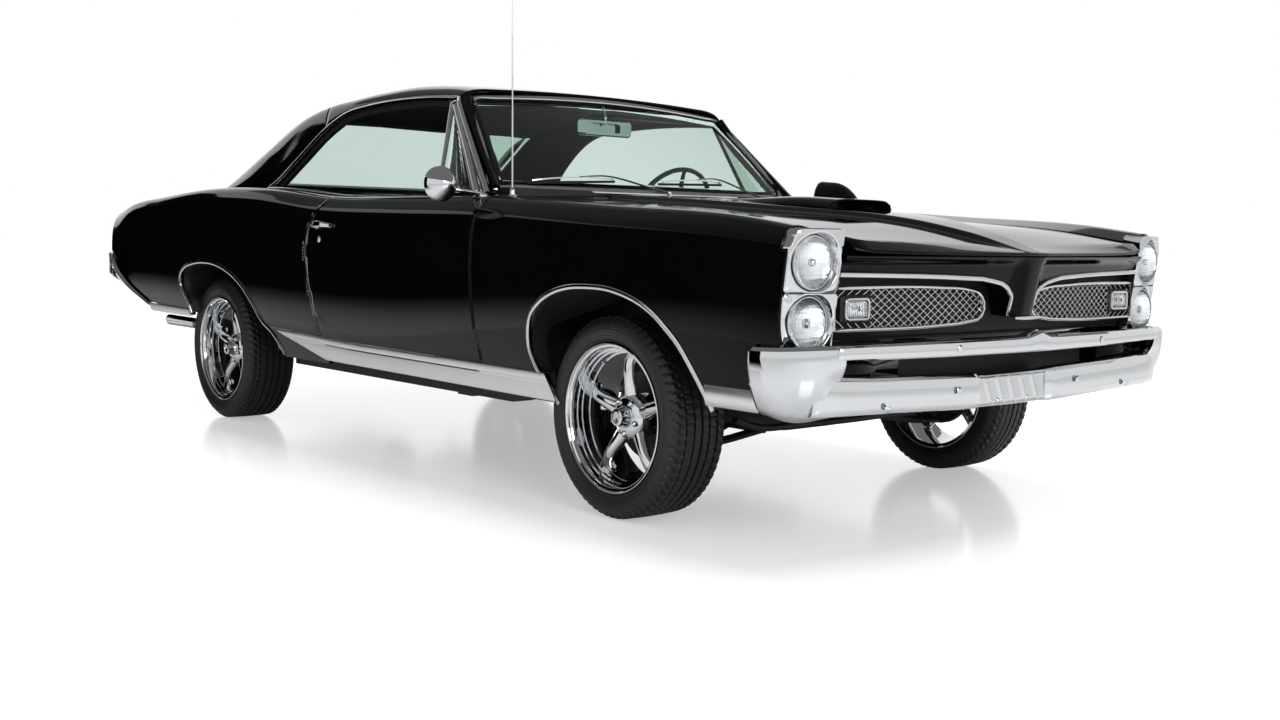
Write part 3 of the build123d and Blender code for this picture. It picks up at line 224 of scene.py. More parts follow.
# Deep gloss with a trace of orange peel about 4 mm across and a little dust on flat tops.
peel = add(tree, "TexNoise", {"Vector": where, "Scale": 250.0, "Detail": 1.0})
haze = add(tree, "TexNoise", {"Vector": where, "Scale": 3.0, "Detail": 4.0})
bump = add(tree, "Bump", {"Height": peel, "Strength": 0.012, "Distance": 0.0006})
rough = add(tree, "MapRange", {"Value": haze, "To Min": 0.03, "To Max": 0.075})
tint = add(tree, "MixRGB", {"Fac": haze, "Color1": srgb("060607"), "Color2": srgb("0a0a0b")})
enamel = add(tree, "BsdfPrincipled", {"Base Color": tint, "Roughness": rough,
                                      "IOR": 1.48, "Specular IOR Level": 0.28,
                                      "Specular Tint": srgb("9c9c9c"), "Normal": bump})
add(tree, "OutputMaterial", {"Surface": enamel})

TAIL_X = -2.513
# x, then (y, z) of sill, waist, shoulder and peak, and z at the hood's or deck's edge and middle
SECTIONS = np.array([
    (2.489, .886, .356, .924, .700, .922, .856, .878, .919, .882, .872),
    (2.204, .888, .356, .940, .700, .934, .886, .876, .952, .920, .930),
    (1.644, .890, .356, .946, .700, .938, .905, .876, .978, .954, .978),
    (0.954, .892, .356, .940, .700, .928, .925, .864, 1.006, .992, 1.012),
    (0.394, .892, .356, .933, .700, .917, .925, .854, 1.005, .992, 1.012),
    (-.234, .892, .356, .936, .700, .920, .930, .860, 1.008, .996, 1.012),
    (-.777, .892, .356, .944, .700, .934, .955, .882, 1.044, 1.030, 1.060),
    (-1.277, .892, .356, .948, .700, .940, .960, .892, 1.045, 1.034, 1.068),
    (-1.877, .880, .356, .942, .700, .932, .930, .882, 1.009, 1.000, 1.036),
    (-2.277, .868, .356, .926, .700, .914, .905, .864, .978, .966, .992),
    (TAIL_X, .856, .356, .900, .700, .888, .868, .844, .934, .926, .946),
])[::-1]


def through(xs, ys, x):
    """Smooth curve through the given stations, level with them at each one."""
    xs, ys = np.asarray(xs, float), np.asarray(ys, float)
    slope = np.gradient(ys, xs, axis=0)
    i = int(np.clip(np.searchsorted(xs, x) - 1, 0, len(xs) - 2))
    step = xs[i + 1] - xs[i]
    t = (x - xs[i]) / step
    if t < 0 or t > 1:
        end = 0 if t < 0 else -1
        return ys[end] + slope[end] * (x - xs[end])
    return ((1 + 2 * t) * (1 - t) ** 2 * ys[i] + t * (1 - t) ** 2 * step * slope[i]
            + t * t * (3 - 2 * t) * ys[i + 1] + t * t * (t - 1) * step * slope[i + 1])


HOOD_HALF = 0.712
# How far each corner is rounded, as a share of the flats beside it
SOFT = {1: 0.45, 2: 0.45, 3: 0.34}


@lru_cache(maxsize=None)
def section(x):
    """The side's five corners at a station, and the height of the hood or deck in the middle."""
    s = through(SECTIONS[:, 0], SECTIONS[:, 1:], x)
    return [np.array(p) for p in ((s[0], s[1]), (s[2], s[3]), (s[4], s[5]), (s[6], s[7]), (HOOD_HALF, s[8]))], s[9]


def side(x, v):
    """The body side at x: v runs 0 sill, 1 waist, 2 shoulder, 3 peak line, 4 hood's edge."""
    corners, _ = section(round(x, 5))
    for k, cut in SOFT.items():
        if abs(v - k) < cut:
            t = (v - k + cut) / (2 * cut)
            a = corners[k] + (corners[k - 1] - corners[k]) * cut
            b = corners[k] + (corners[k + 1] - corners[k]) * cut
            p = a * (1 - t) ** 2 + corners[k] * 2 * t * (1 - t) + b * t * t
            return Vector((x, p[0], p[1]))
    k = min(max(int(v), 0), 3)
    p = corners[k] + (corners[k + 1] - corners[k]) * (v - k)
    return Vector((x, p[0], p[1]))


def side_normal(x, v):
    """The way out of the body side there."""
    a = side(x, v + 0.02) - side(x, v - 0.02)
    b = side(x + 0.01, v) - side(x - 0.01, v)
    return a.cross(b).normalized() * (1 if a.cross(b).y + a.cross(b).z > 0 else -1)


def v_at(x, z):
    """Where on the side a height below the peak line lies."""
    low, high = -0.2, 2.9
    for _ in range(22):
        middle = (low + high) / 2
        low, high = (middle, high) if side(x, middle).z < z else (low, middle)
    return low


def v_top(x, y):
    """Where on the side's top, past the peak line, a half width lies."""
    corners, _ = section(round(x, 5))
    return 3 + (corners[3][0] - y) / (corners[3][0] - HOOD_HALF)


def smooth_path(points, count, closed=False):
    """Points evenly spaced on a smooth curve through the given ones."""
    p = np.array([tuple(q) for q in points], float)
    if closed:
        p = np.vstack([p, p[:1]])
    length = np.concatenate([[0], np.cumsum(np.linalg.norm(np.diff(p, axis=0), axis=1))])
    slope = np.gradient(p, length, axis=0)
    if closed:
        slope[0] = slope[-1] = (p[1] - p[-2]) / (length[1] + length[-1] - length[-2])
    found = []
    for d in np.linspace(0, length[-1], count + (1 if closed else 0)):
        i = int(np.clip(np.searchsorted(length, d) - 1, 0, len(length) - 2))
        step = length[i + 1] - length[i]
        t = (d - length[i]) / step
        found.append((1 + 2 * t) * (1 - t) ** 2 * p[i] + t * (1 - t) ** 2 * step * slope[i]
                     + t * t * (3 - 2 * t) * p[i + 1] + t * t * (t - 1) * step * slope[i + 1])
    return [Vector(q) for q in (found[:-1] if closed else found)]


FLAT = 0.30    # metres that one step of v takes while a sheet lies flat


def side_sheet(name, outline, thick, cuts=()):
    """A pressed panel on the body side. Its outline and cuts are (x, v) loops, cut flat first and
    then laid on the side's surface with its thickness inwards."""
    xs = [p[0] for p in outline]
    vs = [p[1] for p in outline]
    nx, nv = max(4, int((max(xs) - min(xs)) / 0.022)), max(8, int((max(vs) - min(vs)) * 20))
    grid_x, grid_v = np.linspace(min(xs) - 0.02, max(xs) + 0.02, nx), np.linspace(min(vs) - 0.05, max(vs) + 0.05, nv)
    points = [(x, v * FLAT, level) for level in (0.0, -1.0) for x in grid_x for v in grid_v]
    at = lambda level, i, j: level * nx * nv + i * nv + j
    faces = []
    for i in range(nx - 1):
        for j in range(nv - 1):
            faces.append((at(0, i, j), at(0, i + 1, j), at(0, i + 1, j + 1), at(0, i, j + 1)))
            faces.append((at(1, i, j), at(1, i, j + 1), at(1, i + 1, j + 1), at(1, i + 1, j)))
    border = ([(i, 0) for i in range(nx)] + [(nx - 1, j) for j in range(1, nv)]
              + [(i, nv - 1) for i in range(nx - 2, -1, -1)] + [(0, j) for j in range(nv - 2, 0, -1)])
    for (i, j), (m, n) in zip(border, border[1:] + border[:1]):
        faces.append((at(0, i, j), at(1, i, j), at(1, m, n), at(0, m, n)))
    made = mesh_object(name, points, faces, gloss_black)
    tools = []
    for operation, loop in [("INTERSECT", outline)] + [("DIFFERENCE", c) for c in cuts]:
        n = len(loop)
        area = sum(a[0] * b[1] - b[0] * a[1] for a, b in zip(loop, loop[1:] + loop[:1]))
        loop = loop if area > 0 else loop[::-1]
        prism = [(x, v * FLAT, level) for level in (-2.0, 1.0) for x, v in loop]
        walls = [(i, (i + 1) % n, n + (i + 1) % n, n + i) for i in range(n)]
        tool = mesh_object("tool", prism, walls + [tuple(range(n - 1, -1, -1)), tuple(range(n, 2 * n))], gloss_black)
        change = made.modifiers.new(operation, "BOOLEAN")
        change.operation, change.solver, change.object = operation, "EXACT", tool
        tools.append(tool)
    bpy.context.view_layer.update()
    data = bpy.data.meshes.new_from_object(made.evaluated_get(bpy.context.evaluated_depsgraph_get()))
    made.modifiers.clear()
    made.data = data
    for tool in tools:
        bpy.data.objects.remove(tool)
    flat = bmesh.new()
    flat.from_mesh(data)
    bmesh.ops.triangulate(flat, faces=[f for f in flat.faces if len(f.verts) > 4])
    flat.to_mesh(data)
    flat.free()
    inward = 1 if name.endswith("left") else -1
    for vertex in data.vertices:
        x, v, level = vertex.co.x, vertex.co.y / FLAT, vertex.co.z
        p = side(x, v)
        if level < -0.01:
            p = p + side_normal(x, v) * (level * thick)
        vertex.co = (p.x, p.y * inward, p.z)
    if inward < 0:
        data.flip_normals()
    data.polygons.foreach_set("use_smooth", [True] * len(data.polygons))
    data.set_sharp_from_angle(angle=math.radians(38))
    return made


def run(points, count):
    """Points evenly spaced on a smooth curve in a plane."""
    return [(p.x, p.y) for p in smooth_path([(a, b, 0) for a, b in points], count)]


FRONT_ARCH = [(-.248, .335), (-.29, .376), (-.358, .453), (-.382, .511), (-.376, .564), (-.354, .618), (-.303, .66),
              (-.225, .696), (-.139, .716), (-.034, .723), (.078, .719), (.157, .704), (.224, .683), (.281, .654),
              (.328, .618), (.374, .577), (.411, .528), (.448, .473), (.475, .429), (.497, .392)]
REAR_ARCH = [(-.196, .47), (-.213, .525), (-.258, .575), (-.268, .617), (-.248, .651), (-.194, .681), (-.100, .702),
             (.025, .713), (.158, .706), (.253, .686), (.346, .652), (.417, .609), (.476, .555), (.553, .476),
             (.630, .436), (.700, .375), (.722, .350)]
front_arch = [(AXLE_F + x, z) for x, z in run(FRONT_ARCH, 70)]
rear_arch = [(AXLE_R + x, z) for x, z in run(REAR_ARCH, 70)]
front_cut = [(x, v_at(x, z)) for x, z in front_arch]
rear_cut = [(x, v_at(x, z)) for x, z in rear_arch]
front_cut = [(front_cut[0][0], -0.4)] + front_cut + [(front_cut[-1][0], -0.4)]
rear_cut = [(rear_cut[0][0] + 0.001, -0.4)] + rear_cut + [(rear_cut[-1][0], -0.4)]

DOOR_FRONT = [(0.952, v_at(0.952, .445)), (0.948, 0.6), (0.944, 1.2), (0.948, 1.9), (0.953, 2.5), (0.953, 3.2),
              (0.953, 3.9)]
DOOR_REAR = [(-.196, v_at(-.196, .445)), (-.238, 0.5), (-.272, 1.0), (-.288, 1.35), (-.272, 1.75), (-.242, 2.1),
             (-.21, 2.5), (-.196, 3.0), (-.192, 3.9)]
GAP = 0.005
door_front, door_rear = run(DOOR_FRONT, 24), run(DOOR_REAR, 30)
fender_loop = ([(x + GAP, v) for x, v in door_front] + [(0.953 + GAP, v_top(.96, .720))]
               + [(x, v_top(x, .720)) for x in np.linspace(1.0, 2.425, 30)]
               + [(2.425, v) for v in np.linspace(3.0, v_at(2.425, .60), 12)]
               + [(2.338, v_at(2.338, .598)), (2.332, v_at(2.332, .408))]
               + [(x, v_at(x, .408)) for x in (2.25, 2.14)] + [(2.14, -.05), (0.953 + GAP, -.05)])
door_loop = (door_front + [(x, v_top(x, .744)) for x in np.linspace(.953, -.192, 24)]
             + door_rear[::-1][1:] + [(x, v_at(x, .445)) for x in np.linspace(-.15, .91, 12)])
quarter_top = [(x, v_top(x, y)) for x, y in
               run([(-.192 - GAP, .744), (-.55, .752), (-.95, .756), (-1.05, .715),
                    (-1.3, .64), (-1.395, .612), (-1.9, .612),
                    (TAIL_X, .612)], 50)]
quarter_loop = ([(x - GAP, v) for x, v in door_rear[1:-1]] + quarter_top
                + [(TAIL_X, v) for v in (3.2, 2.6, 2.0, 1.5, v_at(TAIL_X, .735))]
                + [(-2.46, v_at(-2.46, .71)), (-2.2, v_at(-2.2, .575)), (-1.965, v_at(-1.965, .497)),
                   (-1.46, v_at(-1.46, .458)), (-1.46, -.05), (-.5, -.05), (-.16 - GAP, -.05),
                   (-.16 - GAP, v_at(-.2, .44)), (-.201, v_at(-.2, .441))])
for hand in ("left", "right"):
    for piece, loop, cuts, thick, body in (
            ("front_fender", fender_loop, [front_cut], 0.016, "body"),
            ("door", door_loop, [], 0.05, f"door_{hand}"),
            ("quarter", quarter_loop, [rear_cut], 0.018, "body")):
        skin = side_sheet(f"{piece}_skin_{hand}", loop, thick, cuts)
        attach(skin, body)
        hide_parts(f"{piece}_{hand}")

# ---- Hood and scoop -----------------------------------------------------------------------
# One pressed steel lid hinged at the cowl: a raised middle that widens from the nose to the
# windshield, and a welded-on air scoop with a black mouth. Painted with the body.
def ease(t):
    """A soft step from 0 to 1."""
    t = min(max(t, 0.0), 1.0)
    return t * t * (3 - 2 * t)


def shell(name, rows, thick, finish, facing=(0, 0, 1), closed=False, sharp=35):
    """A sheet through rows of points; it faces the given way and is thick on its other side."""
    n, m = len(rows), len(rows[0])
    faces = [(i * m + j, (i + 1) * m + j, (i + 1) * m + (j + 1) % m, i * m + (j + 1) % m)
             for i in range(n - 1) for j in range(m if closed else m - 1)]
    made = mesh_object(name, [p for row in rows for p in row], faces, finish, sharp=sharp)
    if sum((f.normal * f.area for f in made.data.polygons), Vector()).dot(Vector(facing)) < 0:
        made.data.flip_normals()
    if thick:
        depth = made.modifiers.new("sheet", "SOLIDIFY")
        depth.thickness, depth.offset = thick, -1
    return made


def fit(piece, body, slot=None, *stands_for):
    """Fixes a piece to a body of the frame and hides the nodes it stands for; slot is not used."""
    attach(piece, body)
    if stands_for:
        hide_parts(*stands_for)
    return piece


# The nose in plan: (distance from the middle, x)
NOSE_X = [(0, 2.597), (.05, 2.595), (.13, 2.585), (.40, 2.551), (.66, 2.514), (.712, 2.502)]
HOOD_REAR = 0.932


def nose_x(y):
    """The hood's front edge."""
    return float(np.interp(abs(y), [p[0] for p in NOSE_X], [p[1] for p in NOSE_X]))


def peak_half(x):
    """Half width of the hood's raised middle."""
    return .048 + .302 * (2.597 - x) / (2.597 - HOOD_REAR)


def hood_z(x, y):
    """The hood's surface: its crown, and the raised middle with a soft crease each side."""
    corners, middle = section(round(min(x, 2.489), 5))
    top = middle + (corners[4][1] - middle) * (abs(y) / HOOD_HALF) ** 1.3
    if x > 2.489:
        top += (.852 - top) * (x - 2.489) / max(.01, nose_x(y) - 2.489)
    lift = ease((peak_half(x) - abs(y)) / .030 + .3)
    return top + .016 * lift * ease((2.62 - x) / .25)


rows = []
for t in np.linspace(0, 1, 74):
    row = []
    for side_sign, k in [(-1, i) for i in range(26, 0, -1)] + [(1, i) for i in range(27)]:
        half = peak_half(HOOD_REAR + (2.55 - HOOD_REAR) * t)
        y = (half - .022) * k / 10 if k <= 10 else (half - .022 + .034 * (k - 10) / 4 if k <= 14 else
                                                    half + .012 + (.710 - half - .012) * (k - 14) / 12)
        x = HOOD_REAR + (nose_x(y) - .006 - HOOD_REAR) * t
        row.append((x, side_sign * y, hood_z(x, y)))
    rows.append(row)
for ahead, down in ((.0045, -.002), (.006, -.006), (.004, -.010), (-.006, -.012)):
    rows.append([(x + ahead, y, z + down) for x, y, z in rows[73]])
fit(shell("hood_panel", rows, 0.012, gloss_black), "hood", "paint", "hood")

scoop_rows = []
for t in np.linspace(0, 1, 30):
    x = 1.262 + (1.868 - 1.262) * t
    half, rise = .095 + .056 * ease(t * 1.5), .018 + .030 * ease(t * 1.25)
    row = []
    for a in np.linspace(-1, 1, 33):
        across = math.copysign(abs(a) ** 0.8, a)
        profile = (1 - abs(a) ** 5) ** 0.5 if abs(a) < 1 else 0
        y = across * half
        lead = .020 * t * (1 - abs(a) ** 3)
        z = hood_z(x, 0) - .016 - .004 + (rise + .004) * profile
        row.append((x + lead, y, max(z, hood_z(x, y) - .003)))
    scoop_rows.append(row)
fit(shell("hood_scoop", scoop_rows, 0.005, gloss_black), "hood", "paint")

mouth_black, tree, where = new_finish("satin_black_paint_in_ducts")
# Chassis black sprayed thin over steel: flat, with a fine dry overspray grain.
grain = add(tree, "TexNoise", {"Vector": where, "Scale": 700.0, "Detail": 3.0})
tone = add(tree, "MixRGB", {"Fac": grain, "Color1": srgb("050505"), "Color2": srgb("0f0f0f")})
bump = add(tree, "Bump", {"Height": grain, "Strength": 0.15, "Distance": 0.0005})
dull = add(tree, "BsdfPrincipled", {"Base Color": tone, "Roughness": 0.62, "Normal": bump})
add(tree, "OutputMaterial", {"Surface": dull})

duct = []
for depth in (0.0, 0.11):
    x = 1.881 - depth
    duct.append([(x, y, z) for y, z in ((-.138, hood_z(1.86, .14) + .001), (-.131, hood_z(1.86, 0) + .019),
                                        (.131, hood_z(1.86, 0) + .019), (.138, hood_z(1.86, .14) + .001))])
duct_box = shell("scoop_duct", duct, 0, mouth_black, facing=(0, 0, -1), closed=True)
fit(duct_box, "hood", "frame_black")
fit(mesh_object("scoop_duct_end", [(1.81, -.138, hood_z(1.81, .14)), (1.81, .138, hood_z(1.81, .14)),
                                   (1.81, .131, hood_z(1.81, 0) + .02),
                                   (1.81, 0, hood_z(1.81, 0) + .024), (1.81, -.131, hood_z(1.81, 0) + .02)],
                [(0, 1, 2, 3, 4)], mouth_black),
    "hood", "frame_black")
divider = [[(x, y, hood_z(x, 0) + dz) for y, dz in ((-.006, -.002), (-.005, .026), (.005, .026), (.006, -.002))]
           for x in (1.81, 1.85, 1.879)]
fit(shell("scoop_divider", divider, 0, gloss_black, facing=(0, 0, 1), sharp=30), "hood", "paint")

# ---- Hood tachometer ----------------------------------------------------------------------
# A die-cast pod on the hood in the driver's line of sight, painted with it: a round dial under
# glass faces the windshield, and the pod tapers to a point ahead.
def around(count):
    """So many angles, evenly spaced round a circle."""
    return np.linspace(0, 2 * math.pi, count + 1)[:-1]


TACH = Vector((1.454, 0.326, 0))
pod_rows = []
for t in np.linspace(0, 1, 26):
    x = TACH.x - .085 + .190 * t
    size = math.sqrt(max(0.0, 1 - max(0.0, (t - .32) / .68) ** 1.9)) if t > .32 else 1.0
    base = hood_z(x, TACH.y) - .002
    half, high = .051 * (0.35 + 0.65 * size), .104 * size ** 1.25 + .002
    row = []
    for a in np.linspace(0, math.pi, 25):
        c, s = math.cos(a), math.sin(a)
        y = TACH.y + half * math.copysign(abs(c) ** .85, c) * (1 - .12 * s)
        row.append((x, y, max(base, base + high * s ** .62)))
    pod_rows.append(row)
fit(shell("tachometer_pod", pod_rows, 0.003, gloss_black), "hood", "paint", "hood_tachometer")

dial_black, tree, where = new_finish("printed_black_dial_face")
# Flat black printed card with a ring of 32 pale ticks, drawn by angle.
dial_z = hood_z(1.37, .326) + .052
at = add(tree, "VectorMath", {0: where, 1: (TACH.x, TACH.y, dial_z)}, operation="SUBTRACT")
split = add(tree, "SeparateXYZ", {0: at})
angle = add(tree, "Math", {0: split.outputs["Z"], 1: split.outputs["Y"]}, operation="ARCTAN2")
turns = add(tree, "Math", {0: angle, 1: 5.0929}, operation="MULTIPLY")
tooth = add(tree, "Math", {0: turns}, operation="FRACT")
tick = add(tree, "Math", {0: tooth, 1: 0.16}, operation="LESS_THAN")
y2 = add(tree, "Math", {0: split.outputs["Y"], 1: 2.0}, operation="POWER")
z2 = add(tree, "Math", {0: split.outputs["Z"], 1: 2.0}, operation="POWER")
radius = add(tree, "Math", {0: y2, 1: z2}, operation="ADD")
ring_in = add(tree, "Math", {0: radius, 1: 0.00105}, operation="GREATER_THAN")
ring_out = add(tree, "Math", {0: radius, 1: 0.0016}, operation="LESS_THAN")
marks = add(tree, "Math", {0: ring_in, 1: ring_out}, operation="MULTIPLY")
marks = add(tree, "Math", {0: marks, 1: tick}, operation="MULTIPLY")
card_tone = add(tree, "MixRGB", {"Fac": marks, "Color1": srgb("0c0c0d"), "Color2": srgb("d8d8d0")})
face = add(tree, "BsdfPrincipled", {"Base Color": card_tone, "Roughness": 0.4})
add(tree, "OutputMaterial", {"Surface": face})
centre = Vector((TACH.x - .084, TACH.y, dial_z))
disc = [centre + Vector((0, .045 * math.cos(a), .045 * math.sin(a))) for a in around(32)]
fit(mesh_object("tachometer_dial", disc, [tuple(range(32))], dial_black, smooth=False), "hood", "grille_black")

# ---- Roof and sail panels -----------------------------------------------------------------
# One pressed steel roof skin from the windshield header to the rear window, which runs down each
# side in a sail panel to the deck. Welded to the pillars and quarters, painted with the body.

# Eleven stations from the windshield's header to the deck: along the drip rail, the crest and the
# inner edge, and down the roof's middle as far as the rear window
STEPS = np.arange(11.0)
RAIL = np.array([(.420, .652, 1.373), (.20, .648, 1.385), (-.049, .641, 1.387),
                 (-.30, .636, 1.376), (-.475, .640, 1.353),
                 (-.646, .658, 1.283), (-.826, .688, 1.167), (-.985, .742, 1.048), (-1.25, .742, 1.040),
                 (-1.50, .716, 1.026), (-1.75, .702, 1.006)])
CREST = np.array([(.424, .602, 1.404), (.20, .598, 1.424), (-.05, .594, 1.433),
                  (-.30, .596, 1.425), (-.50, .600, 1.411),
                  (-.70, .602, 1.394), (-.921, .603, 1.356), (-1.12, .611, 1.289),
                  (-1.30, .622, 1.208), (-1.553, .640, 1.088),
                  (-1.75, .662, 1.012)])
INNER = np.array([(.430, .51, 1.415), (.20, .505, 1.441), (-.05, .50, 1.455), (-.30, .50, 1.446), (-.55, .51, 1.418),
                  (-.79, .532, 1.362), (-.90, .540, 1.297), (-1.03, .548, 1.222),
                  (-1.16, .555, 1.148), (-1.305, .563, 1.070),
                  (-1.75, .620, 1.008)])
SPINE = np.array([(.440, 0, 1.427), (.20, 0, 1.456), (-.05, 0, 1.468),
                  (-.30, 0, 1.460), (-.56, 0, 1.427), (-.808, 0, 1.368)])


def roof_row(t):
    """From the drip rail over the crest to the inner edge, and over to the middle on the roof."""
    a, b, c = (through(STEPS, path, t) for path in (RAIL, CREST, INNER))
    bend = b * 2 - (a + c) / 2
    return [a * (1 - s) ** 2 + bend * 2 * s * (1 - s) + c * s * s for s in np.linspace(0, 1, 9)[:-1]] + [c]


LID_HALF = .604


def deck_z(x, y):
    """Height of the rear deck and the trunk lid's skin."""
    corners, mid = section(round(x, 5))
    return corners[4][1] + (mid - .006 - corners[4][1]) * (1 - (abs(y) / LID_HALF) ** 2.4)


def lid_half(x):
    """Half width of the trunk lid: its front corners stay inside the sail panels."""
    return min(LID_HALF, through(INNER[::-1, 0], INNER[::-1], x)[1] - .009)


HANDS = (("left", 1), ("right", -1))
for hand, sign in HANDS:
    rows = []
    for t in np.linspace(5.0, 10.0, 60):
        row = [Vector((p[0], p[1] * sign, p[2])) for p in roof_row(t)]
        drop = Vector((0, -.004 * sign, -.016 if t < 9.0 else -.006))
        foot = row[-1] + drop
        if foot.x < -1.39:
            foot.z = min(foot.z, deck_z(foot.x, min(abs(foot.y), LID_HALF)) - .004)
        rows.append(row + [row[-1] + Vector((0, -.002 * sign, -.003)), foot])
    fit(shell(f"sail_panel_{hand}", rows, 0.008, gloss_black, facing=(0, sign, .2)),
        "body", "paint", *(("roof",) if sign > 0 else ()))

rows = []
for t in np.linspace(0, 5.0, 56):
    half = roof_row(t)
    d = through(STEPS[:6], SPINE, t)
    c, b = half[-1], half[-2]
    middle = [c + (np.array((d[0], c[1], d[2])) - c) * (1 - (1 - s) ** 2) + np.array((0, -c[1] * s, 0))
              for s in np.linspace(0, 1, 14)[1:]]
    row = [Vector(p) for p in half + middle]
    rows.append(row + [Vector((p.x, -p.y, p.z)) for p in row[-2::-1]])
fit(shell("roof_skin", rows, 0.008, gloss_black), "body", "paint")

# Ceiling of the cabin, from the header to the rear bow
lining, tree, where = new_finish("perforated_vinyl_headliner")
# Black vinyl with pin holes 6 mm apart.
holes = add(tree, "TexVoronoi", {"Vector": where, "Scale": 165.0, "Randomness": 0.0})
pin = add(tree, "MapRange", {"Value": holes, "From Min": 0.12, "From Max": 0.2})
# The pin holes are coloured near black: painted shade in the holes, while the bump presses them in.
shade = add(tree, "MixRGB", {"Fac": pin, "Color1": srgb("020202"), "Color2": srgb("171716")})
bump = add(tree, "Bump", {"Height": pin, "Strength": 0.4, "Distance": 0.001})
vinyl = add(tree, "BsdfPrincipled", {"Base Color": shade, "Roughness": 0.6, "Normal": bump})
add(tree, "OutputMaterial", {"Surface": vinyl})

rows = []
for t in np.linspace(0.1, 5.0, 24):
    a, c = through(STEPS, RAIL, t), through(STEPS, INNER, t)
    d = through(STEPS[:6], SPINE, t)
    sag = .010 + .004 * math.sin(t * math.pi * 1.6) ** 2
    row = [Vector((a[0], a[1] - .018, a[2] - .012)), Vector((a[0], a[1] - .05, a[2] - .004)),
           Vector((c[0], c[1] + .02, c[2] - .024 - sag)),
           Vector((c[0], c[1] * .6, c[2] - .022 - sag)), Vector((d[0], 0, d[2] - .032 - sag))]
    rows.append(row + [Vector((p.x, -p.y, p.z)) for p in row[-2::-1]])
fit(shell("headliner", rows, 0.004, lining, facing=(0, 0, -1)), "body", "cabin_black")

for hand, sign in HANDS:
    # Inner face of the sail panel, in the same vinyl
    rows = []
    for t in np.linspace(4.6, 9.0, 24):
        a, b, c = (through(STEPS, path, t) for path in (RAIL, CREST, INNER))
        low = max(1.03, a[2] - .03)
        rows.append([Vector((a[0], (a[1] - .022) * sign, low)),
                     Vector((b[0], (b[1] - .040) * sign, (low + b[2]) / 2 - .02)),
                     Vector((c[0], (c[1] - .004) * sign, c[2] - .014))])
    fit(shell(f"sail_lining_{hand}", rows, 0.003, lining, facing=(0, -sign, 0)), "body", "cabin_black")

# Deck panel between the sails, under the rear window
rows = []
for x in np.linspace(-1.296, -1.389, 6):
    half = through(INNER[::-1, 0], INNER[::-1], x)[1] + .004
    rows.append([Vector((x, y, 1.064 - (x + 1.296) ** 2 * 1.5 - abs(y / .6) ** 2 * .012))
                 for y in np.linspace(-half, half, 21)])
fit(shell("deck_front_panel", rows, 0.006, gloss_black), "body", "paint")

# ---- Pillars and window trims -------------------------------------------------------------
# Windshield pillars in body paint, edged in front by the glass's stainless reveal and behind by
# the door seal. A rolled stainless drip rail runs over the side windows down to the belt.
def face_outward(made):
    """Turns a closed piece's faces outwards."""
    mesh = bmesh.new()
    mesh.from_mesh(made.data)
    bmesh.ops.recalc_face_normals(mesh, faces=mesh.faces)
    mesh.to_mesh(made.data)
    mesh.free()
    return made


def sweep(name, path, outline, finish, outward, closed=False, size=None, sharp=35, ends=True):
    """A section carried along a path: its second coordinate points outward. size scales it point by
    point, both ways or as (width, height)."""
    n, m, points = len(path), len(outline), []
    for i, p in enumerate(path):
        ahead = path[(i + 1) % n] if closed or i < n - 1 else path[i]
        behind = path[i - 1] if closed or i > 0 else path[i]
        along = (ahead - behind).normalized()
        out = Vector(outward[i] if isinstance(outward, list) else outward)
        across = out.cross(along).normalized()
        out = along.cross(across)
        wide, high = (size[i] if isinstance(size[i], tuple) else (size[i], size[i])) if size else (1, 1)
        points += [p + across * u * wide + out * w * high for u, w in outline]
    faces = [(i * m + j, i * m + (j + 1) % m, (i + 1) % n * m + (j + 1) % m, (i + 1) % n * m + j)
             for i in range(n if closed else n - 1) for j in range(m)]
    if not closed and ends:
        faces += [tuple(range(m - 1, -1, -1)), tuple(range((n - 1) * m, n * m))]
    made = mesh_object(name, points, faces, finish, sharp=sharp)
    return face_outward(made)


def bead(wide, high, low=0.0):
    """A rolled moulding's section: flat foot, rounded top."""
    half = wide / 2
    return [(-half, low), (half, low), (half, high * .45), (half * .72, high * .86),
            (half * .3, high), (-half * .3, high),
            (-half * .72, high * .86), (-half, high * .45)]


stainless, tree, where = new_finish("polished_stainless_steel")
# Buffed stainless trim: bright, with fine polishing lines along it and slight waviness.
lines = add(tree, "TexNoise", {"Vector": where, "Scale": 900.0, "Detail": 2.0})
wave = add(tree, "TexNoise", {"Vector": where, "Scale": 9.0, "Detail": 1.0})
rough = add(tree, "MapRange", {"Value": lines.outputs["Fac"], "To Min": 0.10, "To Max": 0.22})
tone = add(tree, "MixRGB", {"Fac": wave, "Color1": srgb("b9babc"), "Color2": srgb("cfd0d1")})
bump = add(tree, "Bump", {"Height": wave, "Strength": 0.10, "Distance": 0.001})
bright = add(tree, "BsdfPrincipled", {"Base Color": tone, "Metallic": 1.0, "Roughness": rough,
                                      "Normal": bump})
add(tree, "OutputMaterial", {"Surface": bright})

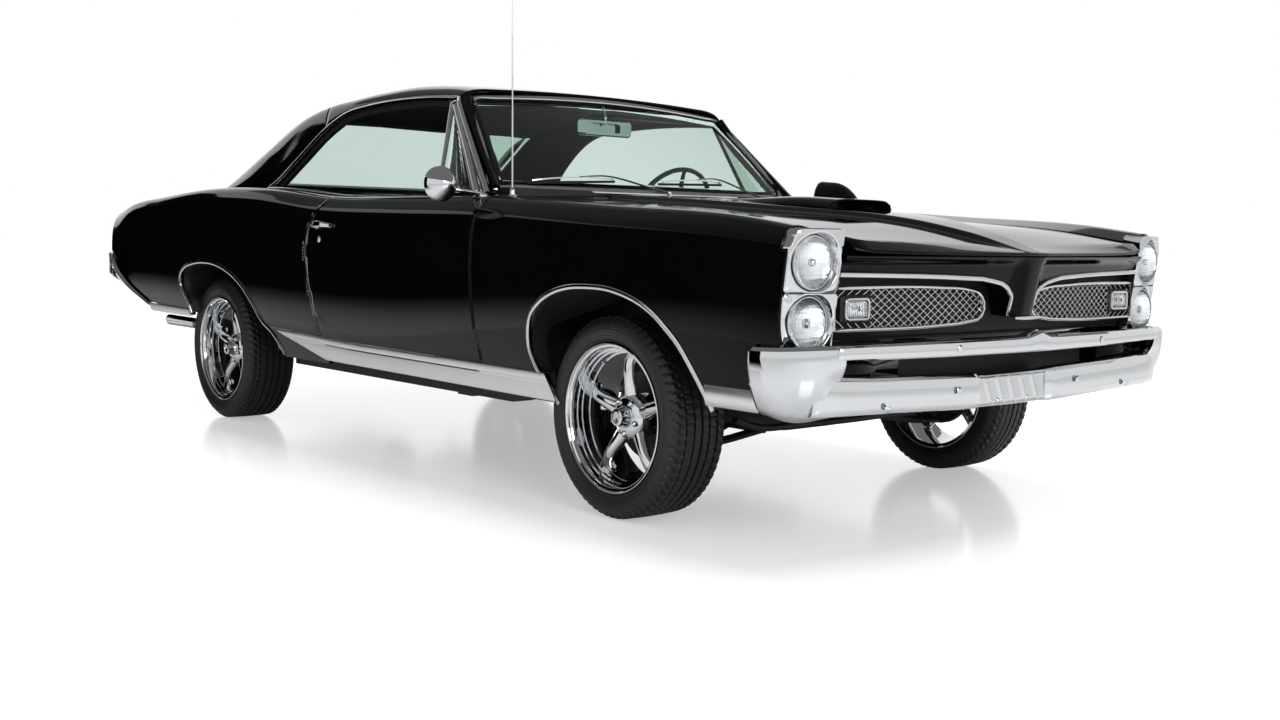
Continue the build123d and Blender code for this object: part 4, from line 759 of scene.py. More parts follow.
PILLAR = [(.760, .742, 1.026), (.618, .708, 1.160), (.490, .671, 1.290), (.428, .648, 1.370)]
for hand, sign in HANDS:
    path = [Vector((p.x, p.y * sign, p.z)) for p in smooth_path(PILLAR, 24)]
    post = sweep(f"windshield_pillar_{hand}", path,
                 [(-.030, -.030), (.024, -.030), (.026, -.004), (.018, .004), (-.026, .004), (-.034, -.004)],
                 gloss_black, (.2, sign, .35))
    fit(post, "body", "paint")
    rail_path = [through(STEPS, RAIL, t) for t in np.linspace(0, 7.0, 70)]
    rail_path = [Vector((p[0], (p[1] + .004) * sign, p[2] - .004)) for p in rail_path]
    drip = sweep(f"drip_rail_{hand}", [Vector((.420, .655 * sign, 1.357))] + rail_path,
                 bead(.022, .012), stainless, (0, sign, .25))
    fit(drip, "body", "bright_trim")
    # Inner lip of the side opening, a black seal with a bright edge
    seal = sweep(f"side_seal_{hand}", [p + Vector((0, -.010 * sign, -.016)) for p in rail_path],
                 [(-.011, -.012), (.011, -.012), (.013, .006), (-.013, .006)],
                 mouth_black, (0, sign, 0))
    fit(seal, "body", "cabin_black")

# ---- Nose panel ---------------------------------------------------------------------------
# Painted steel header over the two grille openings, with the beak that parts them. Its edge is
# finished with a bright moulding that runs down the beak and over its foot.
LOW_EDGE = [(0, .657), (.040, .657), (.050, .662), (.056, .700), (.062, .728), (.080, .748), (.120, .765), (.20, .777),
            (.40, .785), (.736, .790)]


def nose_low(y):
    """The nose's lower edge over the grille openings, and the beak's foot."""
    return float(np.interp(abs(y), [p[0] for p in LOW_EDGE], [p[1] for p in LOW_EDGE]))


def nose_front(y, z):
    """The nose's surface: it falls back below the hood's seam, and the beak stands out of it."""
    down = .840 - z
    beak = ease((.075 - abs(y)) / .05)
    return nose_x(y) - .005 - down * (.36 - .15 * beak) - .014 * (1 - beak) * ease(down / .03)


ys = [0, .012, .024, .034, .042, .048, .053, .057, .062, .070, .080, .095,
      .12, .15, .19, .24] + list(np.linspace(.3, .736, 12))
ys = [-y for y in ys[:0:-1]] + ys
rows = [[(nose_front(y, .840) - .035, y, .836) for y in ys], [(nose_front(y, .840) - .004, y, .8415) for y in ys]]
for s in np.linspace(0, 1, 16):
    rows.append([(nose_front(y, .839 + (nose_low(y) - .839) * s), y, .839 + (nose_low(y) - .839) * s) for y in ys])
rows.append([(nose_front(y, nose_low(y)) - .012, y, nose_low(y) - .001) for y in ys])
rows.append([(nose_front(y, nose_low(y)) - .075, y, nose_low(y) + .002) for y in ys])
fit(shell("nose_panel_skin", rows, 0, gloss_black, facing=(1, 0, 0)), "body", "paint", "nose_panel")

edge_ys = [.736, .66, .56, .46, .36, .27, .20, .15, .115, .092, .078, .069, .062]
for hand, sign in HANDS:
    path = [Vector((nose_front(y, nose_low(y)) + .001, y * sign, nose_low(y) - .001)) for y in edge_ys]
    path += [Vector((nose_front(.06, z) + .004, y * sign, z))
             for y, z in ((.0585, .715), (.0565, .695), (.055, .675), (.054, .664))]
    wide = [1.0] * len(edge_ys) + [.8] * 4
    trim = sweep(f"grille_opening_trim_{hand}", path, bead(.016, .009), stainless, (1, 0, -.25), size=wide)
    fit(trim, "body", "bright_trim")
foot = [Vector((nose_front(0, .657) - .004 * (abs(y) / .055) ** 2 + .001, y, .6555))
        for y in np.linspace(-.058, .058, 13)]
fit(sweep("beak_foot_trim", foot, bead(.013, .011), stainless, (1, 0, 0)), "body", "bright_trim")

# ---- Grilles ------------------------------------------------------------------------------
# A black backing in each opening carries a bright-rimmed insert of woven chrome wire, whose
# diamonds are 31 by 22 mm, and a square-framed parking lamp with a clear lens.
INSERT = [(.742, .634), (.742, .750), (.330, .749), (.190, .740), (.138, .727),
          (.119, .704), (.119, .676), (.138, .656),
          (.190, .646), (.330, .637)]
INSERT_X = 2.452


def insert_x(y):
    """The insert follows the opening: its inner end stands further forward."""
    return INSERT_X + .030 * ease((.75 - abs(y)) / .6)


def dome(name, radius, high, at, facing, finish, count=24, rings=5):
    """A round cap of a given rise, such as a bolt's head or a lens."""
    axis = Vector(facing).normalized()
    side_way = axis.orthogonal().normalized()
    other = axis.cross(side_way)
    points, faces = [Vector(at) + axis * high], []
    for r in range(1, rings + 1):
        s = r / rings
        for k in range(count):
            a = 2 * math.pi * k / count
            points.append(Vector(at) + (side_way * math.cos(a) + other * math.sin(a)) * radius * s
                          + axis * high * (1 - s * s))
    faces = [(0, 1 + k, 1 + (k + 1) % count) for k in range(count)]
    for r in range(rings - 1):
        for k in range(count):
            a, b = 1 + r * count + k, 1 + r * count + (k + 1) % count
            faces.append((a, a + count, b + count, b))
    return mesh_object(name, points, faces, finish)


back_rows = []
for z in (.606, .640, .700, .760, .800):
    back_rows.append([Vector((insert_x(y) - .030 - .01 * (z < .63), y, z)) for y in np.linspace(-.742, .742, 41)])
fit(shell("grille_back", back_rows, 0, mouth_black, facing=(1, 0, 0)), "body", "grille_black", "grilles")
floor_rows = []
for k in range(4):
    row = []
    for y in np.linspace(-.742, .742, 31):
        reach = nose_front(.3, .6) - .05 * (abs(y) / .7) ** 2 - INSERT_X - .02
        row.append(Vector((insert_x(y) - .032 + reach * k / 3, y, .607 - .006 * k)))
    floor_rows.append(row)
fit(shell("grille_sill", floor_rows, .002, gloss_black, facing=(0, 0, 1)), "body", "paint")

def inside(y, z):
    """Whether a wire shows there: within the insert and outside the parking lamp's pad."""
    if not .119 <= y <= .742 or (abs(y - .655) < .060 and abs(z - .692) < .037):
        return False
    top = float(np.interp(y, [.119, .138, .19, .33, .742], [.704, .727, .740, .749, .750]))
    low = float(np.interp(y, [.119, .138, .19, .33, .742], [.676, .656, .646, .637, .634]))
    return low <= z <= top


fine = run(INSERT[1:] + INSERT[:1], 60)
for hand, sign in HANDS:
    rim_path = [Vector((insert_x(y), y * sign, z)) for y, z in fine]
    rim = sweep(f"grille_rim_{hand}", rim_path, bead(.011, .009, -.006), stainless, (1, 0, 0), closed=True)
    fit(rim, "body", "bright_trim")
    verts, faces = [], []
    for slope in (.71, -.71):
        for n in range(-4, 26):
            wire = []
            for y in np.arange(.119 + n * .031 - .095, .119 + n * .031 + .096, .0031):
                z = .692 + slope * (y - .119 - n * .031)
                if inside(y, z):
                    wire.append((y, z))
                elif wire:
                    break
            if len(wire) < 3:
                continue
            base = len(verts)
            for y, z in wire:
                weave = math.sin(math.pi * (y - .119) / .0155 + (0 if slope > 0 else math.pi)) * .0010
                for dz, dx in ((-.0012, 0), (-.0007, .0011), (.0007, .0011), (.0012, 0), (0, -.0012)):
                    verts.append((insert_x(y) - .001 + weave + dx, (y - slope * dz) * sign, z + dz))
            for k in range(len(wire) - 1):
                for j in range(5):
                    a, b = base + 5 * k + j, base + 5 * k + (j + 1) % 5
                    faces.append((a, b, b + 5, a + 5) if sign > 0 else (a, a + 5, b + 5, b))
    fit(mesh_object(f"grille_wires_{hand}", verts, faces, stainless, sharp=40), "body", "chrome")

lens_glass, tree, where = new_finish("pressed_clear_lamp_glass")
# Pressed glass with vertical flutes 7 mm apart and cross bars 14 mm apart inside.
flute = add(tree, "TexWave", {"Vector": where, "Scale": 45.0, "Distortion": 0.4}, bands_direction="Y")
bars = add(tree, "TexWave", {"Vector": where, "Scale": 22.0, "Distortion": 0.2}, bands_direction="Z")
relief = add(tree, "Math", {0: flute.outputs["Fac"], 1: bars.outputs["Fac"]}, operation="ADD")
bump = add(tree, "Bump", {"Height": relief, "Strength": 0.5, "Distance": 0.002})
clear = add(tree, "BsdfPrincipled", {"Base Color": srgb("fbfdfe"), "Roughness": 0.02,
                                     "IOR": 1.3, "Transmission Weight": 1.0,
                                     "Normal": bump})
add(tree, "OutputMaterial", {"Surface": clear})

silvered, tree, where = new_finish("aluminised_reflector")
# Vacuum-aluminised bowl inside the lamp: bright, with a faint ripple.
ripple = add(tree, "TexNoise", {"Vector": where, "Scale": 30.0, "Detail": 2.0})
bump = add(tree, "Bump", {"Height": ripple, "Strength": 0.2, "Distance": 0.002})
tone = add(tree, "MixRGB", {"Fac": ripple, "Color1": srgb("dde0e2"), "Color2": srgb("f4f6f8")})
foil = add(tree, "BsdfPrincipled", {"Base Color": tone, "Metallic": 1.0, "Roughness": 0.18, "Normal": bump})
add(tree, "OutputMaterial", {"Surface": foil})

amber_bulb, tree, where = new_finish("amber_dipped_bulb_glass")
# Bulb dipped in amber lacquer, slightly uneven.
lacquer = add(tree, "TexNoise", {"Vector": where, "Scale": 120.0})
tone = add(tree, "MixRGB", {"Fac": lacquer, "Color1": srgb("b06a28"), "Color2": srgb("d9a066")})
bulb = add(tree, "BsdfPrincipled", {"Base Color": tone, "Roughness": 0.15, "IOR": 1.5})
add(tree, "OutputMaterial", {"Surface": bulb})


def rounded(half_y, half_z, corner, count=8):
    """Corners of a rounded rectangle in the car's cross plane."""
    found = []
    for cy, cz, a0 in ((half_y - corner, half_z - corner, 0), (corner - half_y, half_z - corner, .5),
                       (corner - half_y, corner - half_z, 1), (half_y - corner, corner - half_z, 1.5)):
        for k in range(count):
            a = math.pi * (a0 + k / (count - 1) / 2)
            found.append((cy + corner * math.cos(a), cz + corner * math.sin(a)))
    return found


for hand, sign in HANDS:
    at = Vector((insert_x(.655), .655 * sign, .692))
    base = rounded(.060, .036, .008)
    pad = [[at + Vector((d, y * g, z * g)) for y, z in base]
           for d, g in ((-.020, 1), (.001, 1), (.0025, .95), (.0025, .02))]
    fit(shell(f"parking_lamp_pad_{hand}", pad, 0, mouth_black, facing=(1, 0, 0), closed=True), "body", "grille_black")
    frame_path = [at + Vector((.004, y, z)) for y, z in rounded(.047, .028, .013)]
    fit(sweep(f"parking_lamp_frame_{hand}", frame_path, bead(.010, .010, -.004), stainless, (1, 0, 0), closed=True),
        "body", "bright_trim")
    loop = rounded(.043, .024, .010)
    glass_rows = [[at + Vector((d, y * g, z * g)) for y, z in loop]
                  for d, g in ((.006, 1), (.012, .85), (.015, .5), (.016, .02))]
    fit(shell(f"parking_lens_{hand}", glass_rows, .0025, lens_glass, facing=(1, 0, 0), closed=True),
        "body", "lamp_glass",
        *(("front_lamps",) if sign > 0 else ()))
    bowl = [[at + Vector((d, y * g, z * g)) for y, z in loop]
            for d, g in ((.005, 1), (.0034, .8), (.003, .5), (.003, .02))]
    fit(shell(f"parking_reflector_{hand}", bowl, 0, silvered, facing=(1, 0, 0), closed=True), "body", "chrome")
    bulb_piece = dome(f"parking_bulb_{hand}", .008, .0085, at + Vector((.0035, -.010 * sign, 0)),
                      (1, 0, 0), amber_bulb, 16, 4)
    fit(bulb_piece, "body", "lamp_glass")

# ---- Headlamps and their bezels -----------------------------------------------------------
# Two stacked pairs of 146 mm sealed-beam lamps, each in a chromed die-cast bezel with deep round
# cups and a square outer edge, screwed to the fender's end.
def rings_x(at, profile, count):
    """Rings about a line along X, one for each (radius, distance along)."""
    return [[at + Vector((d, r * math.cos(a), r * math.sin(a))) for a in around(count)] for r, d in profile]


chrome, tree, where = new_finish("chrome_plate_on_steel")
# Triple-plated chrome: a mirror, with faint haze and a few pinhead specks 1.5 mm across.
haze = add(tree, "TexNoise", {"Vector": where, "Scale": 14.0, "Detail": 5.0})
rough = add(tree, "MapRange", {"Value": haze, "To Min": 0.02, "To Max": 0.085})
specks = add(tree, "TexVoronoi", {"Vector": where, "Scale": 60.0})
speck = add(tree, "MapRange", {"Value": specks, "From Min": 0.02, "From Max": 0.05})
tone = add(tree, "MixRGB", {"Fac": speck, "Color1": srgb("a6a6a6"), "Color2": srgb("ccced0")})
bump = add(tree, "Bump", {"Height": haze, "Strength": 0.05, "Distance": 0.002})
plate = add(tree, "BsdfPrincipled", {"Base Color": tone, "Metallic": 1.0, "Roughness": rough,
                                     "Normal": bump})
add(tree, "OutputMaterial", {"Surface": plate})

LAMPS = [("upper", AXLE_F + .808, .820, .7395, .912), ("lower", AXLE_F + .792, .656, .5745, .7375)]
LAMP_Y = .826


def bezel_x(y, z):
    """The bezel's face leans back downwards and falls away at its outer side."""
    lean = (z - .574) / .331
    return AXLE_F + .804 + .043 * lean - .030 * ease((y - .77) / .16)


def bezel_outer_y(z):
    """The bezel's outer edge follows the fender's end."""
    return float(np.interp(z, [.574, .70, .85, .912], [.905, .916, .914, .872]))


for hand, sign in HANDS:
    for where_at, lamp_x, lamp_z, low, high in LAMPS:
        rings = [[] for _ in range(9)]
        count = 72
        for k in range(count):
            a = 2 * math.pi * k / count
            c, s = math.cos(a), math.sin(a)
            top = high - (.012 * ease((LAMP_Y + .08 * c - .86) / .04) if where_at == "upper" else 0)
            reach = min((((bezel_outer_y(lamp_z + .075 * s) if c > 0 else .738) - LAMP_Y) / c) if abs(c) > .01 else 9,
                        ((top if s > 0 else low) - lamp_z) / s if abs(s) > .01 else 9)
            bound = (LAMP_Y + reach * c, lamp_z + reach * s)
            for n, (r, depth) in enumerate(((.0705, .000), (.0725, .004),
                                            (.0765, .55), (.0790, .93), (.0815, 1.0), (.0850, 1.0))):
                y, z = LAMP_Y + r * c, lamp_z + r * s
                y = min(y, bound[0]) if c > 0 else max(y, bound[0])
                z = min(z, bound[1]) if s > 0 else max(z, bound[1])
                front = bezel_x(y, z)
                x = lamp_x - .004 + (front - lamp_x + .004) * depth
                rings[n].append(Vector((x, y * sign, z)))
            y, z = bound
            rings[6].append(Vector((bezel_x(y, z) - .0005, (y - .003 * c) * sign, z - .003 * s)))
            rings[7].append(Vector((bezel_x(y, z) - .004, y * sign, z)))
            rings[8].append(Vector((AXLE_F + .776, y * sign, z)))
        cup = shell(f"headlamp_bezel_{where_at}_{hand}", rings, 0, chrome, facing=(1, 0, 0), closed=True, sharp=50)
        fit(cup, "body", "chrome", *(("headlamp_bezels",) if where_at == "upper" and sign > 0 else ()))
        at = Vector((lamp_x, LAMP_Y * sign, lamp_z))
        lens_rows = rings_x(at, ((.0715, -.004), (.0705, .004), (.066, .0075),
                                 (.054, .0125), (.038, .0165), (.018, .019), (.001, .0195)), 48)
        fit(shell(f"headlamp_lens_{where_at}_{hand}", lens_rows, 0, lens_glass, facing=(1, 0, 0), closed=True),
            "body", "lamp_glass")
        bowl = rings_x(at, ((.0690, .003), (.062, -.001), (.05, -.0045), (.034, -.007), (.018, -.008), (.001, -.0085)),
                       48)
        fit(shell(f"headlamp_reflector_{where_at}_{hand}", bowl, 0, silvered, facing=(1, 0, 0), closed=True),
            "body", "chrome")
        shield = dome(f"headlamp_bulb_shield_{where_at}_{hand}", .012,
                      .010, at + Vector((-.006, 0, 0)), (1, 0, 0), chrome, 20, 4)
        fit(shield, "body", "chrome")
        ring_path = rings_x(at, ((.0715, .004),), 48)[0]
        fit(sweep(f"headlamp_ring_{where_at}_{hand}", ring_path, bead(.005, .004, -.003),
                  stainless, (1, 0, 0), closed=True), "body", "bright_trim")
    strip = []
    for z in np.linspace(.578, .905, 12):
        x = AXLE_F + .774
        y = bezel_outer_y(z)
        strip.append([Vector((x, (y - .004) * sign, z)), Vector((bezel_x(y, z) - .006, (y + .002) * sign, z)),
                      Vector((bezel_x(y, z) - .008, (y + .006) * sign, z)), Vector((x, (y + .006) * sign, z))])
    fit(shell(f"bezel_side_strip_{hand}", strip, 0, gloss_black, facing=(0, sign, 0)), "body", "paint")
    inner = []
    for z in np.linspace(.600, .862, 8):
        inner.append([Vector((AXLE_F + .70, .7375 * sign, z)), Vector((bezel_x(.738, z) - .004, .7375 * sign, z))])
    fit(shell(f"bezel_inner_wall_{hand}", inner, 0, mouth_black, facing=(0, -sign, 0)), "body", "grille_black")

# ---- Front bumper -------------------------------------------------------------------------
# Pressed steel, chrome plated: an upper bar drawn to a point in the middle and a lower bar with
# the number plate's ribbed recess, joined by a deep wrap-around end each side and bolted on.
UPPER_CUTS = [(0, .9795, .925, .556, .624), (.022, .9770, .922, .556, .616),
              (.055, .972, .915, .556, .606), (.12, .967, .912, .556, .603),
              (.40, .948, .895, .556, .602), (.62, .924, .874, .557, .601),
              (.745, .903, .850, .558, .600), (.80, .890, .838, .556, .598)]
LOWER_CUTS = [(0, .872, .830, .384, .486), (.168, .872, .830, .386, .488),
              (.186, .893, .836, .386, .494), (.21, .899, .840, .388, .497),
              (.45, .897, .840, .396, .503), (.66, .889, .835, .403, .508),
              (.78, .874, .820, .404, .516), (.85, .850, .80, .402, .53)]
BAR_SECTION = [(0, .06), (.50, 0), (.80, .03), (.93, .12), (.985, .28),
               (1, .48), (.985, .68), (.93, .86), (.82, .96), (.60, 1), (0, .98)]


def bumper_bar(name, cuts, section_shape):
    """A chromed bar through cuts (y, front, back, low, high), with x from the front axle."""
    table = np.array(cuts)
    ends = table[-1, 0]
    rows = []
    ys = sorted(set([round(v, 4) for v in np.linspace(0, ends, 40)] + [c[0] for c in cuts]))
    for y in [-v for v in ys[:0:-1]] + ys:
        front, back, low, high = (float(np.interp(abs(y), table[:, 0], table[:, k])) for k in (1, 2, 3, 4))
        rows.append([Vector((AXLE_F + back + (front - back) * u, y, low + (high - low) * w)) for u, w in section_shape])
    return shell(name, rows, .003, chrome, facing=(1, 0, 0), sharp=24)


fit(bumper_bar("front_bumper_upper_bar", UPPER_CUTS, BAR_SECTION), "body", "chrome", "front_bumper")
fit(bumper_bar("front_bumper_lower_bar", LOWER_CUTS,
               [(0, .02), (.50, 0), (.78, .03), (.90, .12), (.94, .22),
                (.95, .30), (.99, .38), (1, .50), (.985, .72), (.93, .88), (.80, .97),
                (.55, 1), (0, .98)]), "body", "chrome")
END_PLAN = [(.892, .772), (.886, .80), (.874, .845), (.855, .882), (.828, .912),
            (.790, .934), (.745, .944), (.692, .944)]
for hand, sign in HANDS:
    plan = run(END_PLAN, 41)
    rows = []
    for i, (x, y) in enumerate(plan):
        t = i / 40
        ahead, behind = plan[min(i + 1, 40)], plan[max(i - 1, 0)]
        along = Vector((ahead[0] - behind[0], ahead[1] - behind[1], 0)).normalized()
        out_way = Vector((along.y, -along.x, 0))
        out_way = out_way if out_way.dot(Vector((1, 1, 0))) > 0 else -out_way
        top, low = .600 - .009 * ease((t - .2) / .8), .398 + .004 * t - .012 * math.sin(math.pi * t)
        row = []
        for s in np.linspace(0, 1, 21):
            z = top + (low - top) * s
            tuck = (-.058 * s ** 2.1 * (1 - .25 * t) + .006 * math.sin(math.pi * s) - .010 * (1 - ease(s / .06))
                    - .016 * ease((s - .93) / .07))
            cove = -.016 * math.exp(-((s - .50) / .16) ** 2) * (1 - ease(t / .30))
            p = Vector((AXLE_F + x, y, z)) + out_way * (tuck + cove)
            row.append(Vector((p.x, p.y * sign, p.z)))
        inward = [Vector((row[0].x - out_way.x * .02, row[0].y - out_way.y * .02 * sign, row[0].z - .0005)),
                  Vector((row[-1].x - out_way.x * .02, row[-1].y - out_way.y * .02 * sign, row[-1].z + .001))]
        rows.append([inward[0]] + row + [inward[1]])
    fit(shell(f"front_bumper_end_{hand}", rows, .003, chrome, facing=(.7, .7 * sign, 0), sharp=30), "body", "chrome")
    filler = [[Vector((AXLE_F + x, y * sign, z)) for z in (.440, .520, .592)]
              for x, y in ((.840, .50), (.832, .68), (.822, .79), (.800, .87), (.752, .910))]
    fit(shell(f"front_bumper_filler_{hand}", filler, .002, gloss_black, facing=(1, 0, 0)), "body", "frame_black")
    for n, (x, y, z, way) in enumerate(((.868, .842, .528, (.8, .6, -.1)),
                                        (.905, .30, .452, (1, .05, .1)), (.952, .36, .579, (1, .1, 0)),
                                        (.898, .60, .418, (1, .1, -.5)))):
        bolt = dome(f"front_bumper_bolt_{n}_{hand}", .0115, .005, (AXLE_F + x, y * sign, z),
                    (way[0], way[1] * sign, way[2]), chrome, 20, 4)
        fit(bolt, "body", "chrome")

plate_rows = []
for z in np.linspace(.394, .480, 8):
    row = []
    for y in np.linspace(-.168, .168, 85):
        lean_y = y + (z - .437) * .45
        rib = ease(1 - abs(((lean_y + .5) % .058) - .029) / .008) * ease((.15 - abs(y)) / .02)
        row.append(Vector((AXLE_F + .8725 + .005 * rib, y, z)))
    plate_rows.append(row)
fit(shell("number_plate_recess", plate_rows, .002, chrome, facing=(1, 0, 0), sharp=60), "body", "chrome")
for n, y in enumerate((-.075, .075)):
    fit(dome(f"plate_bolt_{n}", .008, .006, (AXLE_F + .874, y, .405), (1, 0, 0), chrome, 6, 3), "body", "chrome")

# ---- Tyres --------------------------------------------------------------------------------
# Low-profile radial tyres of black rubber, moulded in one: ribbed sidewalls, three rain grooves
# and a blocky shoulder. They seat on the wheels' flanges.
rubber, tree, where = new_finish("moulded_tyre_rubber")
# Carbon-black rubber: matt, with a fine grit and soft patches of road grime.
grime = add(tree, "TexNoise", {"Vector": where, "Scale": 18.0, "Detail": 4.0})
grit = add(tree, "TexNoise", {"Vector": where, "Scale": 900.0, "Detail": 2.0})
tone = add(tree, "MixRGB", {"Fac": grime, "Color1": srgb("0d0d0e"), "Color2": srgb("1a1a1b")})
rough = add(tree, "MapRange", {"Value": grime, "To Min": 0.42, "To Max": 0.62})
bump = add(tree, "Bump", {"Height": grit, "Strength": 0.12, "Distance": 0.0006})
cured = add(tree, "BsdfPrincipled", {"Base Color": tone, "Roughness": rough, "IOR": 1.5,
                                     "Normal": bump})
add(tree, "OutputMaterial", {"Surface": cured})

TYRE_R, TYRE_HALF = 0.3165, 0.111
WHEELS = [(end, hand, Vector(hinge[f"{end}_{hand}_spin"])) for end in ("front", "rear") for hand in ("left", "right")]


def round_mesh(name, profile, count, finish, wave=None, closed=True, sharp=35):
    """A turned ring about Y: the profile is (axial, radius); wave lowers the radius point by point."""
    m = len(profile)
    points = []
    for k in range(count):
        a = 2 * math.pi * k / count
        for y, r in profile:
            r = r - (wave(k, y, r) if wave else 0)
            points.append((r * math.cos(a), y, r * math.sin(a)))
    faces = [(k * m + j, k * m + (j + 1) % m, (k + 1) % count * m + (j + 1) % m, (k + 1) % count * m + j)
             for k in range(count) for j in range(m if closed else m - 1)]
    made = mesh_object(name, points, faces, finish, sharp=sharp)
    return face_outward(made)


def tyre_profile():
    """Closed section of the tyre from the outer bead over the tread to the inner bead."""
    r, h = TYRE_R, TYRE_HALF
    outer = [(h - .0165, .2345), (h - .0115, .2375), (h - .0085, .2420),
             (h - .0092, .2450), (h - .0050, .2500), (h - .0028, .2560),
             (h - .0034, .2575), (h - .0020, .2600), (h - .0008, .2660),
             (h - .0014, .2675), (h - .0003, .2700), (h - .0006, .2770),
             (h - .0018, .2820), (h - .0008, .2835), (h - .0030, .2890),
             (h - .0060, .2945), (h - .0105, .3010), (h - .0165, .3070),
             (h - .0230, .3118)]
    tread = []
    for y in (.0880, .0800, .0700, .0640, .0625, .0590, .0575, .0450, .0330,
              .0315, .0270, .0255, .0130, .0050, .0035, 0.0):
        groove = .0072 if y in (.0625, .0590, .0315, .0270, .0035, 0.0) else 0
        tread.append((y, r - (y / .111) ** 2 * .0035 - groove))
    across = outer + tread
    return across + [(-y, q) for y, q in reversed(across[:-1])] + [(-h + .026, .2165), (h - .026, .2165)]


profile = tyre_profile()
BLOCKS = 66


def tread_cut(k, y, r):
    """Cross grooves between the tread blocks: slanted on the shoulder, sipes nearer the middle."""
    a, depth = abs(y), 0.0
    if r < .298 or a < .004:
        return 0.0
    slant = int(round((a - .06) * 110 * (1 if y > 0 else -1)))
    place = (k + slant + (0 if y > 0 else 2)) % 4
    if a > .066:
        depth = .0062 * (1 - ease((a - .098) / .014)) if place == 0 else 0
    elif .034 < a < .058:
        depth = .0045 if (place == 0) else 0
    elif .006 < a < .026:
        depth = .0028 if (place == 2) else 0
    return depth if r > .300 else depth * .35


for end, hand, at in WHEELS:
    tyre = round_mesh(f"tyre_{end}_{hand}_treaded", profile, BLOCKS * 4, rubber, tread_cut, sharp=28)
    if hand == "right":
        tyre.data.transform(Matrix.Rotation(math.pi, 4, "Z"))
    tyre.data.transform(Matrix.Translation(at))
    fit(tyre, f"wheel_{end}_{hand}", "tyre", f"tyre_{end}_{hand}")

# ---- Wheels -------------------------------------------------------------------------------
# Chromed one-piece 17-inch wheels: a deep stepped lip, five round spokes that taper to the rim, a
# conical centre cap and five lug nuts. The brake drum shows between the spokes.
LIP = [(-.097, .2335), (-.1030, .2340), (-.1035, .2310), (-.0985, .2270),
       (-.0975, .2175), (-.060, .2065), (.020, .1985), (.0300, .1985),
       (.0310, .2030), (.0550, .2040), (.0560, .2085), (.0700, .2095),
       (.0710, .2140), (.0850, .2150), (.0860, .2200), (.0960, .2215),
       (.0975, .2275), (.1015, .2290), (.1035, .2315), (.1025, .2340),
       (.0970, .2340), (.0950, .2200), (.0880, .2160), (-.0880, .2160),
       (-.0950, .2200)]
LUG_CIRCLE_R = .0535
HUB = [(.0, .070), (.018, .076), (.030, .074), (.040, .064), (.046, .050),
       (.047, .036), (.0475, .0), (-.0395, .0), (-.0395, .070)]
CAP = [(.046, .0345), (.049, .0345), (.052, .0320), (.060, .0305), (.074, .0275),
       (.078, .0265), (.0795, .0240), (.0800, .0190),
       (.0765, .0180), (.0755, .0)]


def spoke_mesh(name, angle):
    """A round spoke: wide and thick at the hub, slim in the middle, opening to a foot at the rim."""
    stations = [(.050, .030, .036, .020), (.085, .0275, .040, .022), (.120, .0230, .0445, .0205),
                (.150, .0215, .0455, .0185),
                (.175, .0225, .0425, .0180), (.192, .0270, .0360, .0200), (.2005, .0330, .0300, .0220)]
    rows = []
    for s in np.linspace(0, 1, 22):
        p = through(np.linspace(0, 1, len(stations)), np.array(stations), s)
        reach, half, crown, deep = p
        row = []
        for k in range(20):
            a = 2 * math.pi * k / 20
            u, w = half * math.cos(a), deep * (math.sin(a) if math.sin(a) > 0 else math.sin(a) * .8)
            row.append(Vector((u, crown - deep + w, reach)))
        rows.append(row)
    made = shell(name, rows, 0, chrome, facing=(0, 1, 0), closed=True, sharp=50)
    made.data.transform(Matrix.Rotation(angle, 4, "Y"))
    return made


def joined(name, parts):
    """Several meshes as one piece."""
    mesh = bmesh.new()
    for part in parts:
        mesh.from_mesh(part.data)
    bmesh.ops.recalc_face_normals(mesh, faces=mesh.faces)
    data = bpy.data.meshes.new(name)
    mesh.to_mesh(data)
    mesh.free()
    for material in parts[0].data.materials:
        data.materials.append(material)
    data.polygons.foreach_set("use_smooth", [True] * len(data.polygons))
    data.set_sharp_from_angle(angle=math.radians(40))
    made = bpy.data.objects.new(name, data)
    bpy.context.scene.collection.objects.link(made)
    for part in parts:
        bpy.data.objects.remove(part)
    return made


def wheel_pieces(name):
    """One wheel about its own middle: rim, hub, cap, spokes, lug nuts and valve."""
    parts = [round_mesh("lip", LIP, 144, chrome, sharp=30), round_mesh("hub", HUB, 60, chrome, closed=False),
             round_mesh("cap", CAP, 48, chrome, closed=False)]
    for n in range(5):
        parts.append(spoke_mesh("spoke", 2 * math.pi * n / 5))
        a = 2 * math.pi * (n + .5) / 5
        nut = [(.030, .0105), (.046, .0105), (.052, .0085), (.0565, .0050), (.0575, .0)]
        piece = round_mesh("nut", nut, 12, chrome, closed=False, sharp=20)
        piece.data.transform(Matrix.Translation((LUG_CIRCLE_R * math.sin(a), 0, LUG_CIRCLE_R * math.cos(a))))
        parts.append(piece)
    valve = round_mesh("valve", [(.0, .004), (.022, .004), (.024, .003), (.0245, .0)], 10, chrome, closed=False)
    valve.data.transform(Matrix.Translation((.192 * math.sin(.55), .034, .192 * math.cos(.55))))
    parts.append(valve)
    return joined(name, parts)


for end, hand, at in WHEELS:
    wheel = wheel_pieces(f"wheel_{end}_{hand}_spoked")
    if hand == "right":
        wheel.data.transform(Matrix.Rotation(math.pi, 4, "Z"))
    wheel.data.transform(Matrix.Translation(at))
    fit(wheel, f"wheel_{end}_{hand}", "wheel_chrome", f"wheel_{end}_{hand}")

